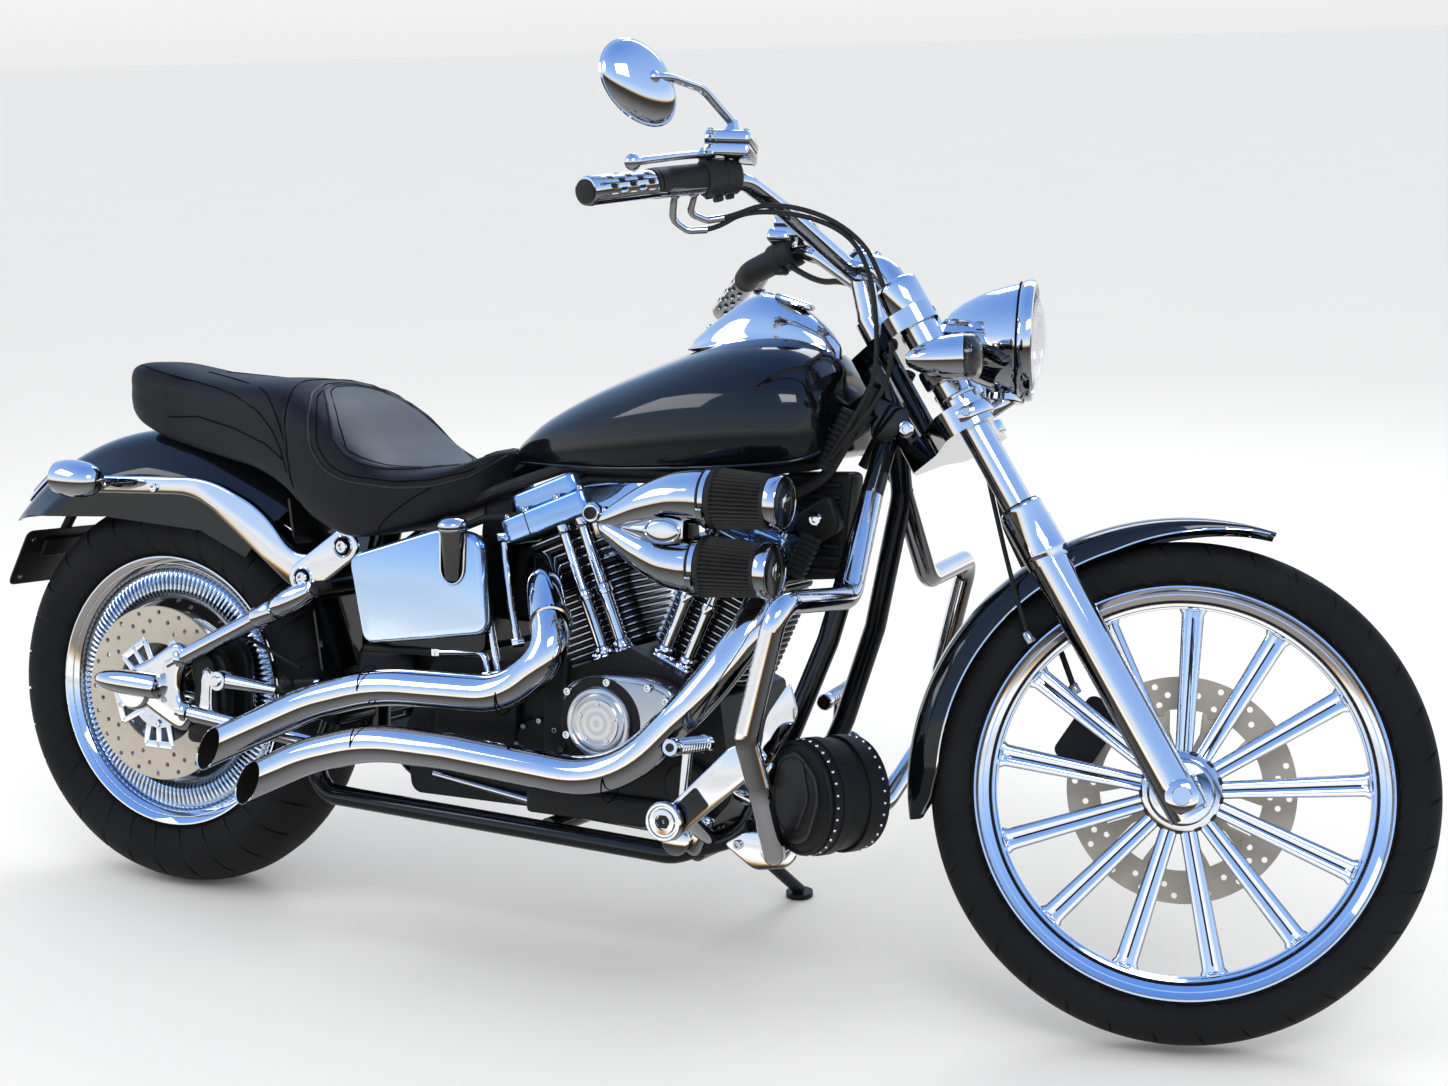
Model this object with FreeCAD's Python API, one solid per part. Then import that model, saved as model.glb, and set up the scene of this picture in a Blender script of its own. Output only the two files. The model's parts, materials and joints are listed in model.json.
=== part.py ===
import FreeCAD, Part
import math
import os

V = FreeCAD.Vector

# A long chopper motorcycle with a V-twin engine, parked on its side stand.
# All pieces are drawn on the upright motorcycle with its front wheel straight:
# X forward, Y to the left, Z up, with the origin on the ground under the rear axle, in mm.
# The last step turns the fork, leans the motorcycle on its stand and moves its box to the origin.

# Pose when parked
lean_angle = 8.0
steer_angle = 17.0

# Layout
wheelbase = 1690.0
rake_angle = 33.0
trail = 130.0
seat_gap = 0.3

# Front wheel
front_tyre_radius = 343.0
front_tyre_width = 94.0
front_rim_radius = 281.5
front_rim_width = 70.0
front_spoke_count = 13
front_hub_radius = 36.0
front_hub_width = 92.0
front_disc_radius = 158.0
front_disc_inner = 104.0
front_disc_side = 58.0
disc_thickness = 5.0
front_axle_radius = 12.0
front_fender_clearance = 30.0
front_fender_width = 128.0

# Rear wheel
rear_tyre_radius = 330.0
rear_tyre_width = 160.0
rear_rim_radius = 226.5
rear_rim_width = 124.0
rear_hub_radius = 44.0
rear_hub_width = 168.0
rear_disc_radius = 145.0
rear_disc_inner = 62.0
rear_disc_side = -86.8
rear_axle_radius = 12.5
rear_dropout_side = 128.0
pulley_radius = 112.0
belt_width = 20.0
belt_side = 95.0
belt_thickness = 4.0
belt_clearance = 5.0
front_pulley_radius = 40.0
front_pulley_x = 612.0
front_pulley_z = 310.0

# Frame
rail_radius = 16.0
rail_side = 122.0
backbone_radius = 24.0
neck_radius = 31.0
neck_low = 966.0
neck_high = 1090.0
stem_radius = 15.0

# Fork, measured up the steering axis from the ground
fork_side = 115.0
fork_tube_radius = 20.5
fork_cover_radius = 25.5
slider_radius = 27.0
sleeve_radius = 30.0
sleeve_low = 732.0
sleeve_high = 797.0
lower_clamp_low = 930.0
clamp_thickness = 35.7
upper_clamp_low = 1090.3
upper_clamp_thickness = 26.0
fork_top = 1138.0

# Engine
crank_x = 905.0
crank_z = 285.0
cylinder_angle = 22.5
barrel_radius = 56.0
fin_length = 154.0
fin_width = 150.0
fin_thickness = 3.4
fin_pitch = 10.0
fin_count = 12
deck_height = 195.0
head_low = 324.0
head_high = 398.0
head_fin_count = 5
rocker_high = 468.0
case_right = 130.0
case_left = 96.0

# Exhaust
pipe_radius = 28.0
pipe_wall = 2.5

# Handlebar
bar_radius = 12.7
grip_radius = 18.5
housing_radius = 26.0

# Cables and hose
throttle_cable_radius = 4.5
clutch_cable_radius = 5.0
brake_hose_radius = 4.5

# Side stand, in the frame of the parked motorcycle
stand_pivot = (955.0, 148.0, 172.0)
stand_foot = (1000.0, 305.0)
stand_radius = 10.0

rake = math.radians(rake_angle)
axis_up = V(-math.sin(rake), 0, math.cos(rake))
axis_front = V(math.cos(rake), 0, math.sin(rake))
axis_foot = V(wheelbase + trail, 0, 0)
front_axle = V(wheelbase, 0, front_tyre_radius)
rear_axle = V(0, 0, rear_tyre_radius)
fork_offset = (front_axle - axis_foot).dot(axis_front)
axle_height = (front_axle - axis_foot).dot(axis_up)
upright = V(0, 0, 1)
leftward = V(0, 1, 0)

# Tank, from the seat's nose to the steering head
tank_rear = 640.0
tank_front = axis_foot.x - 634.0


# Shape helpers

def outline(points):
    # A closed flat outline. A third number at a point rounds that corner.
    corners = [V(p[0], p[1], 0) for p in points]
    starts, mids, ends = [], [], []
    for i, corner in enumerate(corners):
        radius = points[i][2] if len(points[i]) > 2 else 0
        to_last = (corners[i - 1] - corner).normalize()
        to_next = (corners[(i + 1) % len(corners)] - corner).normalize()
        half_turn = (math.pi - to_last.getAngle(to_next)) / 2
        if radius == 0 or half_turn < 0.001:
            starts.append(corner)
            mids.append(None)
            ends.append(corner)
            continue
        back = radius * math.tan(half_turn)
        middle = (to_last + to_next).normalize()
        starts.append(corner + to_last * back)
        mids.append(corner + middle * (radius / math.cos(half_turn) - radius))
        ends.append(corner + to_next * back)
    edges = []
    for i in range(len(corners)):
        if mids[i] is not None:
            edges.append(Part.Arc(starts[i], mids[i], ends[i]).toShape())
        following = starts[(i + 1) % len(corners)]
        if ends[i].distanceToPoint(following) > 1e-4:
            edges.append(Part.LineSegment(ends[i], following).toShape())
    return Part.Wire(edges)


def side_slab(points, y_from, y_to):
    # A side-view outline (x, z) made solid between two distances across the motorcycle.
    face = Part.Face(outline(points))
    face.rotate(V(0, 0, 0), V(1, 0, 0), 90)
    face.translate(V(0, y_from, 0))
    return face.extrude(V(0, y_to - y_from, 0))


def both_sides(points, y_from, y_to):
    return [side_slab(points, y_from, y_to), side_slab(points, -y_from, -y_to)]


def aimed(shape, base, direction):
    # Carries a shape drawn along Z to a base point and a direction.
    shape.Placement = FreeCAD.Placement(V(*base), FreeCAD.Rotation(upright, V(*direction)))
    return shape


def lathe(points, base, direction):
    # A solid of revolution from an outline of (height along the axis, radius).
    face = Part.Face(outline(points))
    face.rotate(V(0, 0, 0), V(0, 1, 0), -90)
    face.rotate(V(0, 0, 0), V(0, 0, 1), 90)
    turned = face.revolve(V(0, 0, 0), V(0, 0, 1), 360)
    return aimed(turned, base, direction)


def rod(start, end, radius):
    start, end = V(*start), V(*end)
    return Part.makeCylinder(radius, (end - start).Length, start, end - start)


def cone(start, end, start_radius, end_radius):
    start, end = V(*start), V(*end)
    return Part.makeCone(start_radius, end_radius, (end - start).Length, start, end - start)


def ball(centre, radius):
    return Part.makeSphere(radius, V(*centre))


def route(points, bend):
    # Straight runs joined by tangent arcs. A bend is as large as asked, where its runs allow it.
    places = [V(*p) for p in points]
    edges = []
    start = places[0]
    for i in range(1, len(places) - 1):
        place = places[i]
        to_last = places[i - 1] - place
        to_next = places[i + 1] - place
        run = min(to_last.Length, to_next.Length)
        to_last.normalize()
        to_next.normalize()
        half_turn = (math.pi - to_last.getAngle(to_next)) / 2
        back = min(0.45 * run, bend * math.tan(half_turn))
        radius = back / math.tan(half_turn)
        middle = (to_last + to_next).normalize()
        arc_start = place + to_last * back
        arc_middle = place + middle * (radius / math.cos(half_turn) - radius)
        arc_end = place + to_next * back
        edges.append(Part.LineSegment(start, arc_start).toShape())
        edges.append(Part.Arc(arc_start, arc_middle, arc_end).toShape())
        start = arc_end
    edges.append(Part.LineSegment(start, places[-1]).toShape())
    return Part.Wire(edges)


def tube(points, radius, bend=60.0):
    # A round bar or the outside of a pipe along a route.
    if len(points) == 2:
        return rod(points[0], points[1], radius)
    path = route(points, bend)
    direction = V(*points[1]) - V(*points[0])
    ring = Part.Wire(Part.makeCircle(radius, V(*points[0]), direction))
    return path.makePipeShell([ring], True, False)


def mirrored(shape):
    return shape.mirror(V(0, 0, 0), V(0, 1, 0))


def mirror_point(point):
    return (point[0], -point[1], point[2])


def fused(shapes):
    shapes = list(shapes)
    joined = shapes[0].multiFuse(shapes[1:]) if len(shapes) > 1 else shapes[0]
    return joined.removeSplitter()


def smooth_ring(points):
    # A closed smooth curve through the points.
    curve = Part.BSplineCurve()
    curve.interpolate([V(*p) for p in points], PeriodicFlag=True)
    return Part.Wire(curve.toShape())


def loft(rings):
    return Part.makeLoft(rings, True, False)


def fork_place(shape):
    # Carries a shape from fork axes (forward, left, up the steering axis) to the motorcycle.
    turn = FreeCAD.Placement(axis_foot, FreeCAD.Rotation(V(0, 1, 0), -rake_angle))
    shape.Placement = turn.multiply(shape.Placement)
    return shape


def fork_point(forward, side, height):
    place = axis_foot + axis_front * forward + axis_up * height
    return (place.x, side, place.z)


def wheel_ring(points, centre):
    # Points are (distance to the left of the wheel's middle, radius).
    return lathe(points, (centre.x, 0, centre.z), (0, 1, 0))


def from_head(points):
    # Points of the front end, with x counted from the foot of the steering axis.
    return [(axis_foot.x + p[0],) + tuple(p[1:]) for p in points]


# Wheels

def tyre(centre, radius, width, rim_radius, rim_width):
    # The crown is one arc, and the bead sits between the rim's flanges.
    half = width / 2
    shoulder = radius - 0.8 * half
    seat_radius = rim_radius - 13.5
    bead = rim_width / 2 - 5 - seat_gap
    low_left = V(-half, shoulder, 0)
    low_right = V(half, shoulder, 0)
    edges = [Part.Arc(low_left, V(0, radius, 0), low_right).toShape()]
    sides = [low_right, V(bead, rim_radius + 1, 0), V(bead, seat_radius + seat_gap, 0),
             V(-bead, seat_radius + seat_gap, 0), V(-bead, rim_radius + 1, 0), low_left]
    for a, b in zip(sides, sides[1:]):
        edges.append(Part.LineSegment(a, b).toShape())
    turned = Part.Face(Part.Wire(edges)).revolve(V(0, 0, 0), V(1, 0, 0), 360)
    turned.rotate(V(0, 0, 0), V(0, 0, 1), 90)
    turned.translate(centre)
    return turned


def rim_profile(rim_radius, rim_width, well, lip):
    half = rim_width / 2
    seat_radius = rim_radius - 13.5
    return [(-half, rim_radius, 2), (-half + 5, rim_radius, 2), (-half + 5, seat_radius),
            (-half + 20, seat_radius), (-half + 25, seat_radius - 8), (half - 25, seat_radius - 8),
            (half - 20, seat_radius), (half - 5, seat_radius), (half - 5, rim_radius, 2),
            (half, rim_radius, 2), (half, rim_radius - lip, 2), (half - 15, seat_radius - well + 5),
            (half - 22, seat_radius - well), (-half + 22, seat_radius - well),
            (-half + 15, seat_radius - well + 5), (-half, rim_radius - lip, 2)]


def front_spoke(angle):
    # A cast spoke with two rounded ribs beside a sunk web.
    inner = front_hub_radius - 4
    outer = front_rim_radius - 13.5 - 14 + 1
    rib = 5.5
    spread_in, spread_out = 6.0, 10.5
    web = loft([Part.Wire(Part.makePolygon([V(x, y, h) for x, y in
                                            [(-w, -4), (w, -4), (w, 4), (-w, 4), (-w, -4)]]))
                for w, h in [(spread_in, inner), (spread_out, outer)]])
    ribs = [cone((side * spread_in, 0, inner), (side * spread_out, 0, outer), rib, rib + 1.5)
            for side in (-1, 1)]
    spoke = fused([web] + ribs)
    spoke.rotate(V(0, 0, 0), V(0, 1, 0), angle)
    spoke.translate(front_axle)
    return spoke


def front_wheel():
    rim = wheel_ring(rim_profile(front_rim_radius, front_rim_width, 14, 16), front_axle)
    half = front_hub_width / 2
    disc_face = front_disc_side - disc_thickness / 2 - seat_gap
    bore = front_axle_radius + seat_gap
    hub = wheel_ring([(-half, bore), (-half, 22, 2), (-half + 14, 26), (-half + 20, front_hub_radius, 4),
                      (half - 20, front_hub_radius, 4), (disc_face - 10, 46, 2), (disc_face, 46, 2),
                      (disc_face, bore)],
                     front_axle)
    spokes = [front_spoke(i * 360.0 / front_spoke_count) for i in range(front_spoke_count)]
    wheel = fused([rim, hub] + spokes)
    hole = rod((wheelbase, -half - 1, front_axle.z), (wheelbase, disc_face + 1, front_axle.z), bore)
    return wheel.cut(hole)


def disc(centre, side, outer, inner, carrier_outer, bore, arms):
    # A brake ring on arms that meet a carrier ring on the hub.
    def flat(r_out, r_in, thick):
        plate = rod((centre.x, side - thick / 2, centre.z), (centre.x, side + thick / 2, centre.z), r_out)
        hole = rod((centre.x, side - thick, centre.z), (centre.x, side + thick, centre.z), r_in)
        return plate.cut(hole)
    pieces = [flat(outer, inner, disc_thickness), flat(carrier_outer, bore, disc_thickness)]
    for i in range(arms):
        arm = Part.makeBox(18, disc_thickness, inner - carrier_outer + 8,
                           V(-9, -disc_thickness / 2, carrier_outer - 4))
        arm.rotate(V(0, 0, 0), V(0, 1, 0), i * 360.0 / arms + 18)
        arm.translate(V(centre.x, side, centre.z))
        pieces.append(arm)
    return fused(pieces)


def rear_wheel():
    rim = wheel_ring(rim_profile(rear_rim_radius, rear_rim_width, 16, 14), rear_axle)
    half = rear_hub_width / 2
    bore = rear_axle_radius + seat_gap
    hub = wheel_ring([(-half, bore), (-half, rear_hub_radius, 3), (half, rear_hub_radius, 3), (half, bore)],
                     rear_axle)
    plate_in = rear_hub_radius - 3
    plate_out = rear_rim_radius - 13.5 - 14
    plate = wheel_ring([(-24, plate_in), (-24, 70, 4), (-44, 150, 10), (-44, plate_out), (-36, plate_out),
                        (-36, 150, 10), (-14, 70, 4), (-14, plate_in)], rear_axle)
    far_plate = mirrored(plate)
    slots = []
    for i in range(5):
        slot = Part.makeBox(22, 200, 46, V(-11, -100, 88))
        slot.rotate(V(0, 0, 0), V(0, 1, 0), i * 72)
        slot.translate(rear_axle)
        slots.append(slot)
    wheel = fused([rim, hub, plate.cut(fused(slots)), far_plate])
    hole = rod((0, -half - 1, rear_axle.z), (0, half + 1, rear_axle.z), bore)
    return wheel.cut(hole)


def belt_pulley():
    half = belt_width / 2
    inner = rear_hub_radius + seat_gap
    return wheel_ring([(belt_side - half - 4, inner), (belt_side - half - 4, pulley_radius + 4),
                       (belt_side - half, pulley_radius + 4), (belt_side - half, pulley_radius - 3),
                       (belt_side + half, pulley_radius - 3), (belt_side + half, pulley_radius + 4),
                       (belt_side + half + 2, pulley_radius + 4), (belt_side + half + 2, 60),
                       (belt_side + half - 12, 52), (belt_side + half - 12, inner)], rear_axle)


belt_gap = 3.0


def belt_loop(rear_radius, front_radius, y_from, y_to):
    # All that a loop round both pulleys encloses.
    rise = front_pulley_z - rear_axle.z
    span = math.hypot(front_pulley_x, rise)
    tilt = math.atan2(rise, front_pulley_x)
    spread = math.acos((rear_radius - front_radius) / span)
    corners = []
    for turn in (tilt + spread, tilt - spread):
        across, up = math.cos(turn), math.sin(turn)
        side = [(rear_radius * across, rear_axle.z + rear_radius * up),
                (front_pulley_x + front_radius * across, front_pulley_z + front_radius * up)]
        corners += side if not corners else reversed(side)
    rear_end = rod((0, y_from, rear_axle.z), (0, y_to, rear_axle.z), rear_radius)
    front_end = rod((front_pulley_x, y_from, front_pulley_z),
                    (front_pulley_x, y_to, front_pulley_z), front_radius)
    return fused([side_slab(corners, y_from, y_to), rear_end, front_end])


def belt_room():
    # The space that the belt and its front pulley run in.
    half = belt_width / 2 + belt_gap
    grown = belt_thickness + belt_clearance
    return belt_loop(pulley_radius + grown, front_pulley_radius + grown,
                     belt_side - half, belt_side + half)


def drive_belt():
    half = belt_width / 2 - seat_gap
    rear = pulley_radius - 3 + seat_gap
    front = front_pulley_radius + seat_gap
    inner = belt_loop(rear, front, belt_side - half - 1, belt_side + half + 1)
    outer = belt_loop(rear + belt_thickness, front + belt_thickness, belt_side - half, belt_side + half)
    return outer.cut(inner)


# Frame

def rail_route(side):
    rear = [(372, side, 330), (330, side, 213), (981, side, 198)]
    return rear + from_head([(-730, side * 0.92, 240), (-670, side * 0.86, 383), (-620, side * 0.72, 528),
                             (-575, side * 0.5, 729), (-570, side * 0.16, 812)])


backbone_route = from_head([(-580, 0, 872), (-660, 0, 812), (-820, 0, 786)])
backbone_route += [(700, 0, 776), (560, 0, 692), (400, 0, 672), (372, 0, 560), (372, 0, 300)]


def frame_room():
    # The space of the outer frame tubes, for what is clamped or butted to them.
    return fused([tube(rail_route(side), rail_radius + seat_gap, 70) for side in (rail_side, -rail_side)])


def frame_tubes():
    pieces = [tube(rail_route(side), rail_radius, 70) for side in (rail_side, -rail_side)]
    pieces.append(tube(backbone_route, backbone_radius, 70))
    for x, z in [(372, 330), (770, 210), (1020, 206)]:
        pieces.append(rod((x, -rail_side, z), (x, rail_side, z), rail_radius - 2))
    for side in (-60, 60):
        pieces.append(rod((770, side, 205), (770, side, 235 - seat_gap), 12))
        pieces.append(rod((1020, side, 202), (1020, side, 235 - seat_gap), 12))
    pieces.append(stand_lug())
    neck = fork_place(Part.makeCylinder(neck_radius, neck_high - neck_low, V(0, 0, neck_low)))
    pieces.append(neck)
    frame = fused(pieces)
    bore = fork_place(Part.makeCylinder(stem_radius + seat_gap, 400, V(0, 0, neck_low - 100)))
    return frame.cut(bore)


def swingarm():
    pieces = []
    for side in (-1, 1):
        y = side * rear_dropout_side
        pieces += [side_slab([(-32, 300, 12), (60, 296, 12), (96, 330, 12), (70, 396, 12), (-20, 366, 12)],
                             y - 8, y + 8)]
        pieces.append(tube([(60, y, 318), (362, y, 290)], 15))
        pieces.append(tube([(50, y, 372), (240, y, 498), (335, y, 498)], 15, 40))
    pieces.append(rod((335, -rear_dropout_side, 498), (335, rear_dropout_side, 498), 11))
    arm = fused(pieces).cut(frame_room())
    arm = max(arm.Solids, key=lambda piece: piece.Volume)
    hole = rod((0, -160, rear_axle.z), (0, 160, rear_axle.z), rear_axle_radius + seat_gap)
    return arm.cut(hole)


def axle_covers():
    # The rear axle with its cone-shaped chrome ends.
    end = rear_dropout_side + 8 + seat_gap
    axle = rod((0, -end, rear_axle.z), (0, end, rear_axle.z), rear_axle_radius)
    pieces = [axle]
    for side in (-1, 1):
        pieces.append(lathe([(0, 0), (0, 26, 3), (14, 24), (40, 10), (54, 0)],
                            (0, side * end, rear_axle.z), (0, side, 0)))
    return fused(pieces)


# Body work

def tank_ring(x, half, low, top):
    tall = top - low
    right = [(x, half * 0.82, low + 1), (x, half, low + tall * 0.36), (x, half * 0.68, low + tall * 0.83)]
    left = [mirror_point(p) for p in reversed(right)]
    return smooth_ring([(x, 0, low)] + right + [(x, 0, top)] + left)


# Each ring of the tank: its share of the tank's length, half width, bottom and top.
tank_stations = [(0, 22, 738, 768), (0.11, 62, 741, 813), (0.256, 96, 742, 856), (0.421, 124, 745, 894),
                 (0.586, 143, 751, 927), (0.733, 152, 757, 947), (0.861, 150, 764, 948),
                 (0.952, 132, 772, 928), (1, 100, 786, 893)]


def tank_shape():
    length = tank_front - tank_rear
    return loft([tank_ring(tank_rear + share * length, half, low, top)
                 for share, half, low, top in tank_stations])


def fuel_tank():
    tunnel = tube(backbone_route, backbone_radius + seat_gap, 70)
    half = backbone_radius + seat_gap
    channel = Part.makeBox(tank_front - 560, 2 * half, 100, V(560, -half, 690))
    over_rockers = [cylinder_place(fin(head_high, rocker_high - head_high + 3, 122, 138), front)
                    for front in (False, True)]
    return tank_shape().cut(fused([tunnel, channel])).cut(over_rockers[0]).cut(over_rockers[1])


def tank_console():
    stations = from_head([(-890, 12, 920, 934), (-845, 34, 925, 968), (-790, 44, 930, 1003),
                          (-750, 44, 930, 1006), (-710, 38, 930, 988), (-670, 26, 925, 958),
                          (-648, 12, 905, 932)])
    return loft([tank_ring(*station) for station in stations]).cut(tank_shape())


seat_stations = [(-88, 62, 812, 872), (-40, 90, 770, 871), (60, 102, 742, 861), (150, 122, 726, 856),
                 (230, 142, 712, 857), (295, 156, 686, 850), (360, 165, 640, 822), (425, 168, 620, 768),
                 (490, 160, 632, 733), (560, 128, 652, 736), (612, 78, 676, 757), (636, 40, 706, 768)]


def seat():
    rings = []
    for x, half, low, top in seat_stations:
        tall = top - low
        right = [(x, half * 0.84, low + 2), (x, half, low + tall * 0.42),
                 (x, half * 0.86, low + tall * 0.88)]
        left = [mirror_point(p) for p in reversed(right)]
        rings.append(smooth_ring([(x, 0, low)] + right + [(x, 0, top)] + left))
    cushion = loft(rings)
    cushion = cushion.cut(fender_skin(436.3, 20, 140))
    cushion = cushion.cut(tube(backbone_route, backbone_radius + seat_gap, 70))
    cushion = cushion.cut(side_slab([(258, 400), (258, 673), (345, 673), (345, 400)], -100.3, 100.3))
    cushion = cushion.cut(side_slab([(429, 462), (429, 593), (590, 632.3), (655, 636.3), (655, 462)],
                                    -125 - seat_gap, 125 + seat_gap))
    for strut in both_sides(strut_outline, 106, 122 + seat_gap):
        cushion = cushion.cut(strut)
    cushion = cushion.cut(tank_shape())
    return max(cushion.Solids, key=lambda piece: piece.Volume)


def fender_skin(radius, start, stretch):
    # The outer volume of the rear fender: a rounded section turned about the rear axle.
    half = 106.0 + (radius - 436.0)
    points = [(-half, 240), (-half, radius - 70, 34), (-half * 0.55, radius, 60), (half * 0.55, radius, 60),
              (half, radius - 70, 34), (half, 240)]
    return fender_turn(points, start, stretch)


def fender_turn(points, start, stretch):
    # Turns an outline of (across, radius) about the rear axle from one angle through another.
    flat = [(p[1], p[0]) + tuple(p[2:]) for p in points]
    face = Part.Face(outline(flat))
    face.rotate(V(0, 0, 0), V(0, 1, 0), -start)
    turned = face.revolve(V(0, 0, 0), V(0, 1, 0), -stretch)
    turned.translate(rear_axle)
    return turned


def rear_fender():
    outer = 436.0
    wall = 4.0
    shell = fender_turn([(-106, 250), (-106, 366, 34), (-58, outer, 60), (58, outer, 60), (106, 366, 34),
                         (106, 250)], 52, 90)
    inner = fender_turn([(-102, 230), (-102, 364, 31), (-56, outer - wall, 57), (56, outer - wall, 57),
                         (102, 364, 31), (102, 230)], 40, 120)
    shell = shell.cut(inner)
    lower = side_slab([(-500, 300), (-500, 560), (-341, 590), (-300, 606, 30), (-100, 618), (97, 609),
                       (198, 568), (267, 533), (420, 440), (420, 300)], -150, 150)
    shell = shell.cut(lower)
    panel = side_slab([(340, 400), (319, 512), (282, 600), (270, 672), (266, 669), (278, 599), (315, 511),
                       (336, 400)], -100, 100)
    return fused([shell, panel])


strut_outline = [(-136, 657, 14), (104, 666, 90), (195, 601, 60), (313, 515, 15), (400, 588, 12),
                 (392, 612, 12), (300, 575, 25), (234, 652, 60), (124, 696, 60), (-136, 686, 14)]


def fender_struts():
    return Part.makeCompound(both_sides(strut_outline, 106 + seat_gap, 122))


def oil_tank():
    side = [(430, 462, 16), (654, 462, 16), (654, 636, 16), (590, 632, 60), (430, 592, 16)]
    body = side_slab(side, -125, 125)
    return body.cut(tube(backbone_route, backbone_radius + 2, 70))


def oil_tank_cover():
    points = [(420, 593, 8), (590, 648, 10), (658, 637, 10), (673, 492, 10), (450, 458, 10)]
    plate = side_slab(points, -125 - seat_gap, -152)
    cap = rod((612, -162, 585), (612, -162, 656), 18)
    recess = rod((612, -162, 575), (612, -162, 700), 20)
    return fused([plate.cut(recess), cap, rod((612, -140, 590), (612, -162, 590), 12)])


# Engine

def cylinder_point(front, height, across=0.0, side=0.0):
    # A point of one cylinder: up its axis, across it in side view, and to the left.
    angle = math.radians(cylinder_angle if front else -cylinder_angle)
    x = crank_x + height * math.sin(angle) + across * math.cos(angle)
    z = crank_z + height * math.cos(angle) - across * math.sin(angle)
    return (x, side, z)


def cylinder_place(shape, front):
    shape.rotate(V(0, 0, 0), V(0, 1, 0), cylinder_angle if front else -cylinder_angle)
    shape.translate(V(crank_x, 0, crank_z))
    return shape


def fin(height, thick, length, width):
    corner = 26
    plate = Part.Face(outline([(-length / 2, -width / 2, corner), (length / 2, -width / 2, corner),
                               (length / 2, width / 2, corner), (-length / 2, width / 2, corner)]))
    plate.translate(V(0, 0, height))
    return plate.extrude(V(0, 0, thick))


def cylinder(front):
    pieces = [Part.makeCylinder(barrel_radius, head_high - deck_height, V(0, 0, deck_height))]
    for i in range(fin_count):
        pieces.append(fin(deck_height + 8 + i * fin_pitch, fin_thickness, fin_length, fin_width))
    pieces.append(fin(head_low, head_high - head_low, fin_length - 34, fin_width - 30))
    for i in range(head_fin_count):
        pieces.append(fin(head_low + 4 + i * 14, fin_thickness + 1, fin_length - 6, fin_width))
    return cylinder_place(fused(pieces), front)


def cylinders():
    return Part.makeCompound([cylinder(False), cylinder(True)])


def rocker_covers():
    covers = []
    for front in (False, True):
        low = head_high + seat_gap
        base = fin(low, 34, 136, 174)
        base.translate(V(0, -14, 0))
        top = fin(low + 34, rocker_high - low - 34, 116, 132)
        top = top.makeFillet(12, [e for e in top.Edges if abs(e.BoundBox.ZMin - rocker_high) < 0.01
                                  and e.BoundBox.ZLength < 0.01])
        covers.append(cylinder_place(fused([base, top]), front))
    return Part.makeCompound(covers)


def crankcase():
    rear_deck = cylinder_point(False, deck_height - seat_gap, -80)
    front_deck = cylinder_point(True, deck_height - seat_gap, 80)
    middle = cylinder_point(True, deck_height - seat_gap, -80.5)
    points = [(770, 235, 20), (1030, 235, 30), (1078, 290, 30), (front_deck[0], front_deck[2], 8),
              (crank_x, middle[2], 0), (rear_deck[0], rear_deck[2], 8), (742, 380, 20)]
    return side_slab(points, -case_right, case_left)


def cam_cover():
    points = [(813, 433, 16), (991, 437, 16), (966, 365, 40), (900, 318, 30), (866, 318, 30),
              (815, 365, 40)]
    plate = side_slab(points, -case_right - seat_gap, -168)
    face = lathe([(0, 0), (0, 50, 3), (10, 50, 3), (12, 40), (14, 0)], (882, -168, 383), (0, -1, 0))
    return fused([plate, face])


def pushrod_tubes():
    tubes = []
    for front, across in [(False, 12), (False, 46), (True, -40), (True, -2)]:
        y = -fin_width / 2 - 12
        low = cylinder_point(front, deck_height, across, y)
        middle = cylinder_point(front, deck_height + 90, across, y)
        high = cylinder_point(front, head_high, across, y)
        tubes.append(fused([rod(low, middle, 10.5), rod(middle, high, 8.5)]))
    return Part.makeCompound(tubes)


def gearbox_case():
    points = [(520, 232, 20), (741.7, 235, 12), (741.7, 425, 20), (700, 452, 12), (560, 452, 30),
              (505, 330, 30)]
    case = side_slab(points, -112, case_left).cut(belt_room())
    half = belt_width / 2
    return fused([case, rod((front_pulley_x, belt_side - half - belt_gap - 1, front_pulley_z),
                            (front_pulley_x, belt_side + half, front_pulley_z), front_pulley_radius)])


def primary_cover():
    points = [(590, 236, 60), (930, 236, 62), (985, 290, 50), (960, 372, 60), (610, 402, 78),
              (520, 330, 60)]
    body = side_slab(points, case_left + seat_gap, 158)
    clutch = lathe([(0, 0), (0, 62, 3), (7, 60, 3), (9, 0)], (612, 158, 320), (0, 1, 0))
    inspection = lathe([(0, 0), (0, 30, 3), (5, 28, 2), (6, 0)], (885, 158, 296), (0, 1, 0))
    return fused([body, clutch, inspection]).cut(belt_room())


# Intake and exhaust

filter_radius = 38.0
upper_filter = [(1064, -206, 722), (1178, -206, 722)]
lower_filter = [(1050, -206, 627), (1166, -206, 627)]


def intake_horns():
    y = -206
    pieces = []
    for start, z in ((1064 - seat_gap, 722), (1050 - seat_gap, 627)):
        waist = (980, y, 676 + (z - 676) * 0.5)
        pieces.append(cone((900, y, 676), waist, 5, 28))
        pieces.append(ball(waist, 28))
        pieces.append(cone(waist, (start - 20, y, z), 28, filter_radius - 1))
        pieces.append(rod((start - 30, y, z), (start, y, z), filter_radius))
    pieces.append(rod((970, y, 676), (915, -24, 622), 26))
    pieces.append(rod((800, -30, 616), (1010, -30, 616), 20))
    horns = fused(pieces).cut(fused([cylinder(True), cylinder(False)]))
    return max(horns.Solids, key=lambda piece: piece.Volume)


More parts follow.
